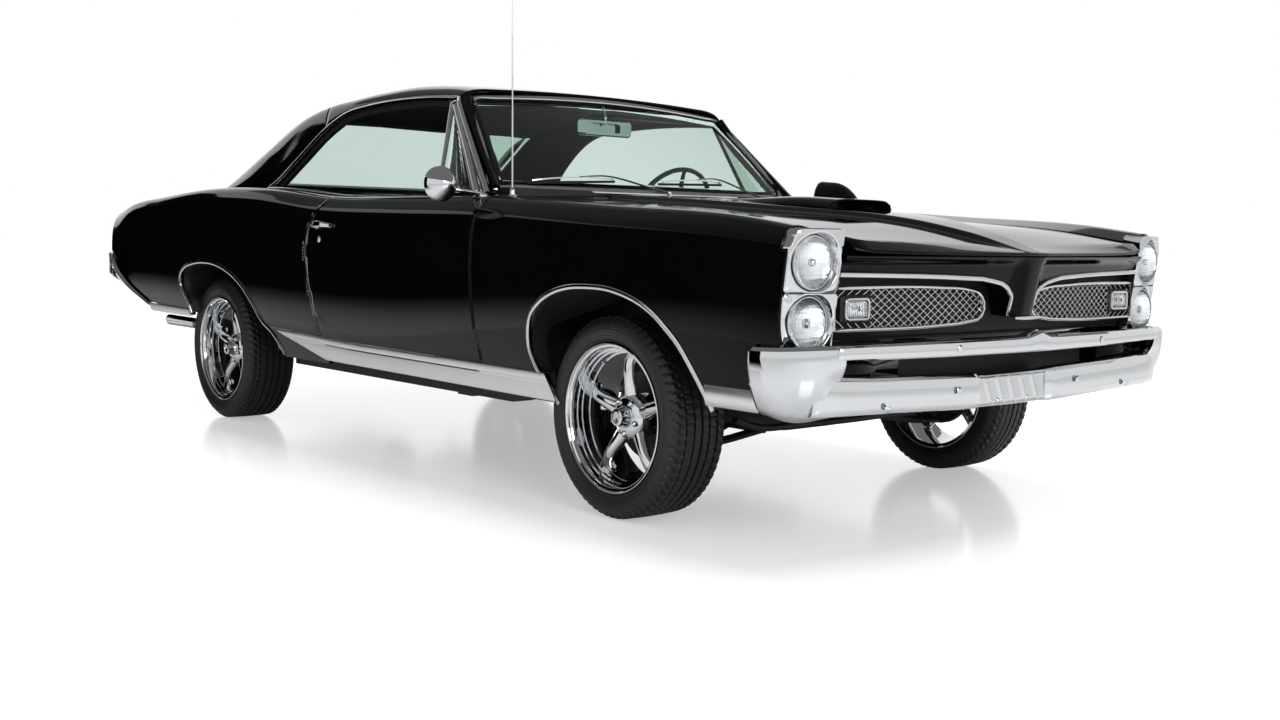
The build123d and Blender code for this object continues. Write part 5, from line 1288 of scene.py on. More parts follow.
# ---- Wheel opening and sill mouldings -----------------------------------------------------
# Roll-formed stainless: a narrow lip around each wheel opening, a broad ribbed moulding on the
# sill with one black-filled line, and a short one ahead of the front wheel. All are clipped on.
def on_side(x, z, sign, out=0.0):
    """A point on the body side below the shoulder, stood off it a little, and its normal."""
    v = v_at(x, z)
    p, n = side(x, v), side_normal(x, v)
    p = p + n * out
    return Vector((p.x, p.y * sign, p.z)), Vector((n.x, n.y * sign, n.z))


for hand, sign in HANDS:
    for where_at, arch in (("front", front_arch), ("rear", rear_arch)):
        shown = [(x, z) for x, z in arch if z > (.352 if where_at == "front" else .44) or x > AXLE_R]
        pairs = [on_side(x, z, sign, .001) for x, z in shown]
        lip = sweep(f"{where_at}_opening_lip_{hand}", [p for p, n in pairs],
                    [(-.007, -.010), (-.009, -.001), (-.008, .003), (-.003, .005),
                     (.003, .005), (.0075, .002), (.008, -.002), (-.002, -.004)],
                    stainless, [n for p, n in pairs])
        fit(lip, "body", "bright_trim")
        liner = []
        for x, z in arch:
            outer = abs(on_side(x, z, sign)[0].y) - .004
            inner = .600 if where_at == "rear" else .840 - .240 * ease((z - .56) / .10)
            liner.append([Vector((x, y * sign, z + .004)) for y in np.linspace(outer, min(inner, outer - .02), 8)])
        fit(shell(f"{where_at}_arch_liner_{hand}", liner, .0015, mouth_black, facing=(0, 0, -1)),
            "body", "chassis_steel")

sill_metal, tree, where = new_finish("ribbed_anodised_aluminium")
# Extruded aluminium, bright anodised, with drawn lines 2.4 mm apart that run along it.
lines = add(tree, "SeparateXYZ", {0: where})
drawn = add(tree, "Math", {0: lines.outputs["Z"], 1: 2600.0}, operation="MULTIPLY")
drawn = add(tree, "Math", {0: drawn}, operation="SINE")
patch = add(tree, "TexNoise", {"Vector": where, "Scale": 5.0, "Detail": 3.0})
tone = add(tree, "MixRGB", {"Fac": patch, "Color1": srgb("d4d5d6"), "Color2": srgb("dfe0e0")})
rough = add(tree, "MapRange", {"Value": patch, "To Min": 0.26, "To Max": 0.30})
bump = add(tree, "Bump", {"Height": drawn, "Strength": 0.05, "Distance": 0.0004})
anodised = add(tree, "BsdfPrincipled", {"Base Color": tone, "Metallic": 1.0, "Roughness": rough,
                                        "Normal": bump})
add(tree, "OutputMaterial", {"Surface": anodised})

for hand, sign in HANDS:
    rows = []
    front_end, rear_end = AXLE_F - .262, AXLE_R + .700
    for t in np.linspace(0, 1, 90):
        row = []
        foot, head = .342 + .010 * t, .4345 + .010 * t + .014 * ease((t - .66) / .34)
        for w, out_by in ((0, -.008), (0, .003), (.02, .0065), (.14, .0075),
                          (.60, .0080), (.640, .0075), (.650, .0035), (.676, .0035),
                          (.688, .0075), (.74, .0080), (.90, .0078), (.96, .0066), (.985, .0030), (1, -.003)):
            z = foot + (head - foot) * w
            x = (front_end - (z - .352) * .55) * (1 - t) + (rear_end + .009 + (.440 - z) * 4.6) * t
            grooved = not .64 < w < .68 or -.15 < x < .945
            low = on_side(x, max(z, .358), sign, out_by if grooved else .0078)[0]
            row.append(Vector((low.x, low.y, z)))
        rows.append(row)
    fit(shell(f"sill_moulding_{hand}", rows, 0, sill_metal, facing=(0, sign, 0), sharp=50), "body", "bright_trim",
        *(("rocker_mouldings",) if sign > 0 else ()))
    fill = []
    for x in np.linspace(.940, -.145, 40):
        t = (front_end - .04 - x) / (front_end - .04 - rear_end + .02)
        foot, head = .342 + .010 * t, .4345 + .010 * t
        fill.append([on_side(x, foot + (head - foot) * w, sign, .0062)[0] for w in (.644, .684)])
    fit(shell(f"sill_line_{hand}", fill, 0, mouth_black, facing=(0, sign, 0)), "body", "frame_black")
    rows = []
    for x in np.linspace(AXLE_F + .474, AXLE_F + .690, 14):
        rows.append([on_side(x, z, sign, out_by)[0]
                     for z, out_by in ((.407, -.004), (.406, .003), (.409, .0065),
                                       (.435, .0075), (.462, .0068), (.467, .003), (.468, -.003))])
    fit(shell(f"front_apron_moulding_{hand}", rows, 0, sill_metal, facing=(0, sign, 0), sharp=50),
        "body", "bright_trim")

    # Sheet behind the mouldings, down to the sill's foot
    rows = [[on_side(x, z, sign, -.012)[0] for z in (.357, .40, .446)]
            for x in np.linspace(rear_end - .06, AXLE_F - .27, 30)]
    fit(shell(f"sill_panel_{hand}", rows, .002, gloss_black, facing=(0, sign, 0)), "body", "paint")

# ---- Door fittings ------------------------------------------------------------------------
# Chromed die-cast fittings: a pull handle with its push button, a key lock below it, the belt
# moulding along the window and the bright edge guard on the door's rear edge.
for hand, sign in HANDS:
    body_name = f"door_{hand}"
    blade = []
    for t in np.linspace(0, 1, 26):
        x = -.205 + .135 * t
        p, n = on_side(x, .889 - .002 * t, sign)
        stand = .004 + .021 * math.sin(math.pi * min(1, t * 1.15)) ** .6 * (1 - .75 * ease((t - .6) / .4))
        blade.append((p + n * stand, n, (1.0 - .45 * ease((t - .45) / .55))))
    grip = sweep(f"door_handle_{hand}", [b[0] for b in blade], bead(.024, .010, -.003),
                 chrome, [b[1] for b in blade], size=[b[2] for b in blade])
    fit(grip, body_name, "chrome")
    p, n = on_side(-.197, .884, sign)
    boss_rows = [[p + n * d + Vector((r * math.cos(a), 0, r * math.sin(a) * .8)) for a in around(24)]
                 for r, d in ((.0165, -.002), (.0160, .006), (.0130, .010),
                              (.0125, .018), (.0105, .022), (.004, .0235))]
    fit(shell(f"door_push_button_{hand}", boss_rows, 0, chrome, facing=(0, sign, 0), closed=True), body_name, "chrome")
    p, n = on_side(-.171, .833, sign)
    fit(dome(f"door_lock_{hand}", .0125, .006, p, n, chrome, 24, 5), body_name, "chrome")
    # A black quad on the lock's face: painted shade in its keyhole.
    slot = [p + n * .0064 + Vector((dx, 0, dz))
            for dx, dz in ((-.001, -.005), (.001, -.005), (.001, .005), (-.001, .005))]
    fit(mesh_object(f"door_lock_slot_{hand}", slot, [(0, 1, 2, 3)], mouth_black, smooth=False),
        body_name, "frame_black")
    edge_path = []
    for x, v in door_rear[2:-3]:
        q, m = side(x, v), side_normal(x, v)
        edge_path.append(Vector((q.x + .001, (q.y + m.y * .0004) * sign, q.z + m.z * .0004)))
    edge_path = smooth_path(edge_path[::4] + edge_path[-1:], 80)
    guard = sweep(f"door_edge_guard_{hand}", edge_path,
                  [(-.0030, -.006), (.0030, -.006), (.0030, .0040), (-.0030, .0040)], stainless, (0, sign, .12))
    fit(guard, body_name, "bright_trim")
    belt = [side(x, v_top(x, .752)) for x in np.linspace(.935, -.186, 50)]
    belt = [Vector((p.x, p.y * sign, p.z + .002)) for p in belt]
    fit(sweep(f"door_belt_moulding_{hand}", belt, bead(.020, .009, -.004), stainless, (0, .35 * sign, 1)),
        body_name, "bright_trim")
    quarter_belt = [(-.200, .752), (-.30, .755), (-.45, .757), (-.60, .760), (-.75, .762), (-.90, .764), (-.975, .758)]
    path = []
    for x, y in quarter_belt:
        p = side(x, v_top(x, y))
        path.append(Vector((x, y * sign, p.z + .002)))
    fit(sweep(f"quarter_belt_moulding_{hand}", smooth_path(path, 40), bead(.020, .009, -.004),
              stainless, (0, .35 * sign, 1)), "body", "bright_trim")

# ---- Mirrors, antenna and wipers ----------------------------------------------------------
# A chromed conical mirror head on a forked arm stands on each door. The antenna is a telescopic
# steel mast on the right fender; two wipers rest on the cowl, blades to the car's right.
def circle(radius, count):
    """Corners of a round section."""
    return [(radius * math.cos(a), radius * math.sin(a)) for a in around(count)]


def rings_z(at, profile, count):
    """Upright rings about a point, one for each (radius, height)."""
    return [[at + Vector((r * math.cos(a), r * math.sin(a), h)) for a in around(count)] for r, h in profile]


mirror_glass, tree, where = new_finish("silvered_mirror_glass")
# Second-surface mirror: clean, with a slightly dark cast.
smear = add(tree, "TexNoise", {"Vector": where, "Scale": 20.0, "Detail": 3.0})
rough = add(tree, "MapRange", {"Value": smear, "To Min": 0.01, "To Max": 0.04})
silver = add(tree, "BsdfPrincipled", {"Base Color": srgb("c4cacd"), "Metallic": 1.0, "Roughness": rough})
add(tree, "OutputMaterial", {"Surface": silver})

for hand, sign in HANDS:
    at = Vector((.843, .980 * sign, 1.038))
    axis = Vector((1, -.10 * sign, 0)).normalized()
    cross = Vector((axis.y, -axis.x, 0))
    rows = []
    for d, r in ((-.026, .0570), (-.024, .0590), (-.010, .0600), (-.002, .0590),
                 (.014, .0500), (.030, .0340), (.042, .0180), (.047, .0080), (.0480, .0005)):
        rows.append([at + axis * d + cross * (r * math.cos(a)) + Vector((0, 0, r * math.sin(a))) for a in around(56)])
    fit(shell(f"mirror_head_{hand}", rows, 0, chrome, facing=(1, 0, 0), closed=True, sharp=30),
        f"door_{hand}", "chrome", f"mirror_{hand}")
    disc = [at - axis * .0245 + cross * (.0555 * math.cos(a)) + Vector((0, 0, .0555 * math.sin(a))) for a in around(56)]
    fit(mesh_object(f"mirror_glass_{hand}", disc, [tuple(range(56))], mirror_glass, smooth=False),
        f"door_{hand}", "chrome")
    foot = side(.855, v_top(.855, .838))
    foot = Vector((foot.x, foot.y * sign, foot.z))
    for n, (dx, dy) in enumerate(((.014, 0), (-.016, .004), (0, -.010))):
        halfway = (foot + Vector((dx, dy * sign, .006))).lerp(at, .5)
        arm = [foot + Vector((dx * 1.1, dy * sign, .006)), halfway + Vector((dx * .6, 0, -.006)),
               at + Vector((0, -.012 * sign, -.012))]
        rod_path = smooth_path(arm, 14)
        fit(sweep(f"mirror_arm_{n}_{hand}", rod_path, circle(.0055, 12),
                  chrome, (1, 0, 0)), f"door_{hand}", "chrome")
    plate_rows = [[foot + Vector((r * 1.5 * math.cos(a), r * math.sin(a), h)) for a in around(32)]
                  for r, h in ((.020, -.003), (.020, .003), (.017, .007), (.008, .011), (.0005, .012))]
    fit(shell(f"mirror_foot_{hand}", plate_rows, 0, chrome, facing=(0, 0, 1), closed=True), f"door_{hand}", "chrome")

mast_at = Vector((.968, -.785, 0))
mast_at.z = side(mast_at.x, v_top(mast_at.x, .785)).z
for n, (low, high, radius) in enumerate(((.018, .30, .0032), (.29, .56, .0025), (.55, 1.772 - mast_at.z, .0018))):
    path = [mast_at + Vector((0, 0, h)) for h in np.linspace(low, high, 4)]
    fit(sweep(f"antenna_mast_{n}", path, circle(radius, 12), stainless, (1, 0, 0)),
        "body", "bright_trim", *(("antenna",) if n == 0 else ()))
tip = dome("antenna_tip", .0035, .003, Vector((mast_at.x, mast_at.y, 1.772)), (0, 0, 1), stainless, 12, 3)
fit(tip, "body", "bright_trim")
rows = rings_z(mast_at, ((.0150, -.004), (.0150, .003), (.0110, .007),
                         (.0085, .016), (.0080, .026), (.0060, .030), (.0035, .033)), 32)
fit(shell("antenna_base", rows, 0, chrome, facing=(0, 0, 1), closed=True, sharp=25), "body", "chrome")

black_rubber, tree, where = new_finish("extruded_black_rubber")
# Matt weatherstrip rubber, very slightly grey.
bloom = add(tree, "TexNoise", {"Vector": where, "Scale": 60.0, "Detail": 3.0})
tone = add(tree, "MixRGB", {"Fac": bloom, "Color1": srgb("101010"), "Color2": srgb("1d1d1c")})
strip = add(tree, "BsdfPrincipled", {"Base Color": tone, "Roughness": 0.7})
add(tree, "OutputMaterial", {"Surface": strip})


def cowl_z(x, y):
    """Height of the cowl between the hood and the windshield's foot."""
    return 1.012 - .024 * (abs(y) / .72) ** 1.4 + (x - .93) * -.22


def on_shield(y, z, out):
    """A point just off the windshield's outer face."""
    s = (z - 1.034) / .332
    edge, mid, half = .752 - .344 * s, .868 - .430 * s, .724 - .102 * s
    return Vector((mid + (edge - mid) * (y / half) ** 2 + .012 * math.sin(math.pi * s) + out, y, z + out * .8))


WIPER_ROD = [(.0045 * math.cos(a), .0030 * math.sin(a)) for a in around(8)]
for n, (near, far, low, high, pivot_y) in enumerate(((-.595, -.235, 1.052, 1.068, -.020),
                                                     (-.035, .320, 1.066, 1.076, .545))):
    blade_path = [on_shield(near + (far - near) * t, low + (high - low) * t, .008) for t in np.linspace(0, 1, 18)]
    bow_path = [on_shield(near + (far - near) * t, low + (high - low) * t, .012 + .014 * (1 - (2 * t - 1) ** 2))
                for t in np.linspace(.04, .96, 16)]
    pivot = Vector((.885, pivot_y, cowl_z(.885, pivot_y)))
    arm_path = smooth_path([pivot + Vector((0, 0, .016)), pivot + Vector((-.006, -.07, .030)),
                            on_shield((near + far) / 2 + .13, (low + high) / 2 + .012, .026),
                            bow_path[8] + Vector((.002, 0, .004))], 22)
    fit(sweep(f"wiper_arm_{n}", arm_path, WIPER_ROD, stainless, (0, 0, 1), size=[1.6 - .8 * k / 21 for k in range(22)]),
        "body", "bright_trim",
        *(("wipers",) if n == 0 else ()))
    fit(sweep(f"wiper_bow_{n}", bow_path, [(-.004, 0), (.004, 0), (.003, .005), (-.003, .005)], stainless, (0, 0, 1)),
        "body", "bright_trim")
    fit(sweep(f"wiper_blade_{n}", blade_path, [(-.002, -.005), (.002, -.005), (.003, .004), (-.003, .004)],
              black_rubber, (0, 0, 1)), "body", "cabin_black")
    boot = rings_z(pivot, ((.014, -.006), (.013, .006), (.010, .014), (.009, .020), (.0005, .022)), 20)
    fit(shell(f"wiper_pivot_{n}", boot, 0, chrome, facing=(0, 0, 1), closed=True), "body", "chrome")

# ---- Glass --------------------------------------------------------------------------------
# Laminated windshield and toughened rear window, lightly green, set in rubber with stainless
# reveals outside; a pivoting vent pane in a chromed frame stands on each door.
car_glass, tree, where = new_finish("green_tinted_safety_glass")
# Float glass, faintly green, wiped clean but for a thin film.
film = add(tree, "TexNoise", {"Vector": where, "Scale": 6.0, "Detail": 3.0})
tone = add(tree, "MixRGB", {"Fac": film, "Color1": srgb("d0e4da"), "Color2": srgb("d6e8e0")})
pane = add(tree, "BsdfPrincipled", {"Base Color": tone, "Roughness": 0.0, "IOR": 1.42, "Transmission Weight": 1.0})
add(tree, "OutputMaterial", {"Surface": pane})


def bowed_glass(base, top, crown, count=32):
    """A bent pane between its foot and head, each (x at side, x in the middle, half width, z)."""
    rows = []
    for s in np.linspace(0, 1, 12):
        side_x, mid_x, half, z = (np.array(base) * (1 - s) + np.array(top) * s)
        bulge = .012 * math.sin(math.pi * s)
        rows.append([Vector((mid_x + (side_x - mid_x) * (y / half) ** 2 + bulge,
                             y, z + crown * s * (1 - (y / half) ** 2))) for y in np.linspace(-half, half, count)])
    return rows


SHIELD = ((.752, .868, .724, 1.034), (.408, .438, .622, 1.374))
REAR_GLASS = ((-1.306, -1.326, .556, 1.062), (-.797, -.818, .526, 1.358))
for name, ends, forward in (("windshield", SHIELD, 1), ("rear_window", REAR_GLASS, -1)):
    rows = bowed_glass(*ends, .026 if forward > 0 else .006)
    if forward < 0:
        rows = [[Vector((p.x - .016 * math.sin(math.pi * i / 11), p.y, p.z)) for p in row]
                for i, row in enumerate(rows)]
    fit(shell(f"{name}_pane", rows, .004, car_glass, facing=(forward, 0, .6)), "body", "tinted_glass", name)
    edge = rows[0] + [row[-1] for row in rows[1:-1]] + rows[-1][::-1] + [row[0] for row in rows[-2:0:-1]]
    middle = sum(edge, Vector()) / len(edge)
    lift = Vector((.75 * forward, 0, .66)) * .005
    loop = [p + lift - (middle - p).normalized() * .004 for p in edge]
    loop = smooth_path(loop[::2], 120, closed=True)
    outs = [Vector((.72 * forward, p.y * .35, .66)) for p in loop]
    fit(sweep(f"{name}_reveal", loop, bead(.026, .008, -.005), stainless, outs, closed=True), "body", "bright_trim")
    seal = [p - lift * 1.6 for p in loop]
    fit(sweep(f"{name}_seal", seal, [(-.020, -.004), (.020, -.004), (.020, .002), (-.020, .002)],
              mouth_black, outs, closed=True), "body", "cabin_black")

for hand, sign in HANDS:
    foot_front, foot_rear = Vector((.742, .786 * sign, 1.014)), Vector((.492, .786 * sign, 1.011))
    head = Vector((.392, .654 * sign, 1.346))
    head_rear = Vector((.372, .652 * sign, 1.348))
    rows = [[foot_front.lerp(head, s), foot_rear.lerp(head_rear, s)] for s in np.linspace(.02, .98, 14)]
    fit(shell(f"vent_pane_{hand}", rows, .004, car_glass, facing=(0, sign, .3)),
        f"door_{hand}", "tinted_glass", f"vent_window_{hand}")
    out_way = (0, sign, .42)
    fit(sweep(f"vent_front_frame_{hand}",
              smooth_path([foot_front, foot_front.lerp(head, .5) + Vector((.004, 0, 0)), head], 14),
              bead(.032, .009, -.007), stainless, out_way),
        f"door_{hand}", "bright_trim")
    fit(sweep(f"vent_rear_frame_{hand}", [foot_rear + Vector((0, 0, -.01)),
                                          foot_rear.lerp(head_rear, .5), head_rear + Vector((0, 0, .012))],
              bead(.018, .010, -.008), stainless, out_way),
        f"door_{hand}", "bright_trim")
    fit(sweep(f"vent_foot_frame_{hand}", [foot_front + Vector((.012, 0, 0)),
                                          foot_front.lerp(foot_rear, .5), foot_rear + Vector((-.008, 0, 0))],
              bead(.015, .009, -.010), chrome, out_way),
        f"door_{hand}", "bright_trim")
    post = [Vector((.786, .772 * sign, 1.012)), Vector((.606, .718 * sign, 1.182)), Vector((.424, .660 * sign, 1.356))]
    fit(sweep(f"pillar_bright_edge_{hand}", smooth_path(post, 14), bead(.026, .007, -.004), stainless, (0, sign, .4)),
        "body", "bright_trim")
    latch = dome(f"vent_latch_{hand}", .008, .010, foot_rear + Vector((.03, -.006 * sign, .03)),
                 (0, -sign, 0), chrome, 16, 4)
    fit(latch, f"door_{hand}", "chrome")

# ---- Seats --------------------------------------------------------------------------------
# Two front buckets and a rear bench in black vinyl over foam, sewn with straight channels along
# the middle of each pad and a welt round its edge. Each pad is filled and swollen by simulation.
seat_vinyl, tree, where = new_finish("embossed_black_seat_vinyl")
# Heavy vinyl with a leather grain about 2 mm across, shinier on the high spots.
grain = add(tree, "TexVoronoi", {"Vector": where, "Scale": 420.0})
worn = add(tree, "TexNoise", {"Vector": where, "Scale": 7.0, "Detail": 3.0})
rough = add(tree, "MapRange", {"Value": worn, "To Min": 0.32, "To Max": 0.52})
tone = add(tree, "MixRGB", {"Fac": worn, "Color1": srgb("121213"), "Color2": srgb("202021")})
bump = add(tree, "Bump", {"Height": grain, "Strength": 0.25, "Distance": 0.0008})
hide = add(tree, "BsdfPrincipled", {"Base Color": tone, "Roughness": rough, "Normal": bump})
add(tree, "OutputMaterial", {"Surface": hide})


DRIVER_Y = .370    # the driver's seat, wheel and column stand so far from the middle


def seat_pad(name, size, place, lean, channel, swell=.014, voxel=.011):
    """A foam pad: a rounded block, swollen as a closed cloth, with sewn channels on its face.
    size is its length, width and thickness; lean turns it about the car's cross axis."""
    length, width, thick = size
    mesh = bmesh.new()
    bmesh.ops.create_cube(mesh, size=1.0)
    bmesh.ops.subdivide_edges(mesh, edges=mesh.edges[:], cuts=3, use_grid_fill=True)
    for v in mesh.verts:
        rx, ry = v.co.x * 2, v.co.y * 2
        pull = 1 - .07 * (abs(rx) ** 4) * (abs(ry) ** 4) * 2
        v.co = Vector((v.co.x * (length - 2 * swell) * pull, v.co.y * (width - 2 * swell) * pull,
                       v.co.z * (thick - 2 * swell) * (1 - .18 * max(abs(rx), abs(ry)) ** 4)))
    data = bpy.data.meshes.new(name)
    mesh.to_mesh(data)
    mesh.free()
    made = bpy.data.objects.new(name, data)
    bpy.context.scene.collection.objects.link(made)
    soft = made.modifiers.new("round", "SUBSURF")
    soft.levels = soft.render_levels = 2
    even = made.modifiers.new("even", "REMESH")
    even.mode, even.voxel_size = "VOXEL", voxel
    bpy.context.view_layer.update()
    made.data = bpy.data.meshes.new_from_object(made.evaluated_get(bpy.context.evaluated_depsgraph_get()))
    made.modifiers.clear()
    start = [v.co.copy() for v in made.data.vertices]
    swollen = made.modifiers.new("fill", "CLOTH")
    swollen.settings.use_pressure = True
    swollen.settings.uniform_pressure_force = 4.0
    swollen.settings.effector_weights.gravity = 0.0
    swollen.point_cache.frame_start, swollen.point_cache.frame_end = 1, 20
    for number in range(1, 21):
        bpy.context.scene.frame_set(number)
    found = bpy.data.meshes.new_from_object(made.evaluated_get(bpy.context.evaluated_depsgraph_get()))
    made.modifiers.clear()
    made.data = found
    bpy.context.scene.frame_set(1)
    reach_x, reach_y = length / 2, width / 2
    for v, was in zip(made.data.vertices, start):
        move = v.co - was
        if move.length > swell:
            move = move.normalized() * swell
        v.co = was + move
        if v.co.z > 0 and abs(v.co.y) < reach_y * .70 and abs(v.co.x) < reach_x * .80:
            phase = (v.co.y / channel) % 1.0
            edge = ease((reach_y * .70 - abs(v.co.y)) / .012) * ease((reach_x * .80 - abs(v.co.x)) / .02)
            v.co.z += (-.0065 * math.exp(-((phase - .5) / .13) ** 2) + .002) * edge
    fine = made.modifiers.new("fine", "SUBSURF")
    fine.levels = fine.render_levels = 1
    made.data.materials.clear()
    made.data.materials.append(seat_vinyl)
    made.data.polygons.foreach_set("use_smooth", [True] * len(made.data.polygons))
    made.data.transform(Matrix.Translation(place) @ Matrix.Rotation(lean, 4, "Y"))
    fit(made, "body", "seat_vinyl")
    welt = []
    for a in around(60):
        c, s = math.cos(a), math.sin(a)
        welt.append(Vector(((reach_x - .006) * math.copysign(abs(c) ** .28, c),
                            (reach_y - .006) * math.copysign(abs(s) ** .28, s), .004)))
    path = [Matrix.Translation(place) @ Matrix.Rotation(lean, 4, "Y") @ p for p in welt]
    fit(sweep(f"{name}_welt", path, circle(.003, 8), seat_vinyl,
              (0, 0, 1) if abs(lean) < .5 else (-1, 0, .2), closed=True), "body", "seat_vinyl")


for hand, sign in HANDS:
    seat_pad(f"front_cushion_{hand}", (.50, .47, .155), (.094, DRIVER_Y * sign, .522), -.06, .055)
    seat_pad(f"front_backrest_{hand}", (.50, .45, .110), (-.232, DRIVER_Y * sign, .788), math.radians(-74), .055)
    shell_rows = []
    for s in np.linspace(0, 1, 8):
        z, x, half = .56 + .44 * s, -.205 - .125 * s, .222 - .02 * s
        shell_rows.append([Vector((x - .042 + .035 * abs(u) ** 3, DRIVER_Y * sign + half * u, z))
                           for u in np.linspace(-1, 1, 13)])
    fit(shell(f"front_seat_back_shell_{hand}", shell_rows, .004, seat_vinyl, facing=(-1, 0, 0)), "body", "seat_vinyl")
    runner = [[Vector((x, DRIVER_Y * sign + y, z)) for x, y in ((-.09, -.17), (.27, -.17), (.27, .17), (-.09, .17))]
              for z in (.3700, .40, .45)]
    fit(shell(f"front_seat_base_{hand}", runner, 0, mouth_black, facing=(0, 0, 1), closed=True, sharp=20),
        "body", "frame_black",
        *(("front_seats",) if sign > 0 else ()))
seat_pad("rear_cushion", (.52, 1.10, .155), (-.880, 0, .664), -.05, .075, voxel=.014)
seat_pad("rear_backrest", (.40, 1.10, .115), (-1.172, 0, .872), math.radians(-76), .075, voxel=.014)
step = [[Vector((x, y, z)) for x, y in ((-1.15, -.55), (-.65, -.55), (-.65, .55), (-1.15, .55))] for z in (.5850, .61)]
fit(shell("rear_seat_base", step, 0, mouth_black, facing=(0, 0, 1), closed=True, sharp=20),
    "body", "frame_black", "rear_seat")

# ---- Dashboard and steering wheel ---------------------------------------------------------
# Padded vinyl dashboard across the cabin with round gauges before the driver, and a thin-rimmed
# three-spoke steering wheel on its column.
rows = []
DASH_SECTION = [(.868, .935), (.868, .985), (.800, 1.000), (.700, 1.003),
                (.620, .998), (.592, .988), (.585, .972), (.598, .960), (.612, .955),
                (.616, .900), (.606, .862), (.618, .830), (.660, .812), (.760, .800)]
for y in np.linspace(-.635, .635, 33):
    hood_bulge = .012 * ease(1 - abs(y - DRIVER_Y) / .26)
    rows.append([Vector((x - hood_bulge * (x < .70), y, z + hood_bulge * (z > .95))) for x, z in DASH_SECTION])
fit(shell("dashboard_pad", rows, .004, seat_vinyl, facing=(-1, 0, .3)), "body", "seat_vinyl", "dashboard")
for n, y in enumerate((.250, DRIVER_Y, .490)):
    at = Vector((.610, y, .912))
    fit(shell(f"gauge_bezel_{n}", rings_x(at, ((.046, .006), (.046, -.006), (.041, -.008), (.039, .004)), 40),
              0, chrome, facing=(-1, 0, 0), closed=True), "body", "chrome")
    fit(mesh_object(f"gauge_face_{n}", rings_x(at, ((.040, .002),), 40)[0],
                    [tuple(range(39, -1, -1))], dial_black, smooth=False),
        "body", "cabin_black")
rim_axis = Vector((-.9055, 0, .4243))
rim_at = Vector((.4325, DRIVER_Y, .9721))
rim_side, rim_up = Vector((0, 1, 0)), Vector((.4243, 0, .9055))
loop = [rim_at + (rim_side * math.cos(a) + rim_up * math.sin(a)) * .196 for a in around(72)]
rim_rubber, tree, where = new_finish("moulded_black_wheel_rim")
# Hard moulded rim, satin, with a very fine matt grain.
speckle = add(tree, "TexNoise", {"Vector": where, "Scale": 500.0})
tone = add(tree, "MixRGB", {"Fac": speckle, "Color1": srgb("141413"), "Color2": srgb("26241f")})
bump = add(tree, "Bump", {"Height": speckle, "Strength": 0.1, "Distance": 0.0003})
hard = add(tree, "BsdfPrincipled", {"Base Color": tone, "Roughness": 0.3, "Normal": bump})
add(tree, "OutputMaterial", {"Surface": hard})
bumps = [1 + .05 * (k % 4 == 0) for k in range(72)]
fit(sweep("steering_rim", loop, [(.0095 * math.cos(a), .0105 * math.sin(a)) for a in around(16)],
          rim_rubber, rim_axis, closed=True,
          size=bumps), "steering_wheel", "cabin_black", "steering_wheel")
for n in range(3):
    a = math.radians(90 + 120 * n)
    way = rim_side * math.cos(a) + rim_up * math.sin(a)
    path = [rim_at - rim_axis * .022 + way * .030, rim_at - rim_axis * .014 + way * .090,
            rim_at - rim_axis * .004 + way * .150, rim_at + way * .190]
    fit(sweep(f"steering_spoke_{n}", smooth_path(path, 14), bead(.030, .003, -.002),
              stainless, rim_axis, size=[(1 - .4 * k / 13, 1) for k in range(14)]),
        "steering_wheel", "bright_trim")
rows = [[rim_at + rim_axis * d + (rim_side * math.cos(a) + rim_up * math.sin(a)) * r for a in around(40)]
        for r, d in ((.030, -.040), (.034, -.024), (.046, -.014), (.044, -.004),
                     (.034, .004), (.016, .008), (.0005, .009))]
fit(shell("horn_pad", rows, 0, rim_rubber, facing=tuple(rim_axis), closed=True), "steering_wheel", "cabin_black")
column = [Vector((.700, DRIVER_Y, .8480)), Vector((.600, DRIVER_Y, .8940)), Vector((.470, DRIVER_Y, .9545))]
fit(sweep("steering_column", column, circle(.026, 20), rim_rubber, (0, 1, 0)), "body", "cabin_black")

# ---- Cabin trim ---------------------------------------------------------------------------
# Vinyl door and side trims with pleated middles, armrests, carpet on the floor and console, the
# dipping mirror under the header and two padded sun visors.
carpet, tree, where = new_finish("looped_black_carpet")
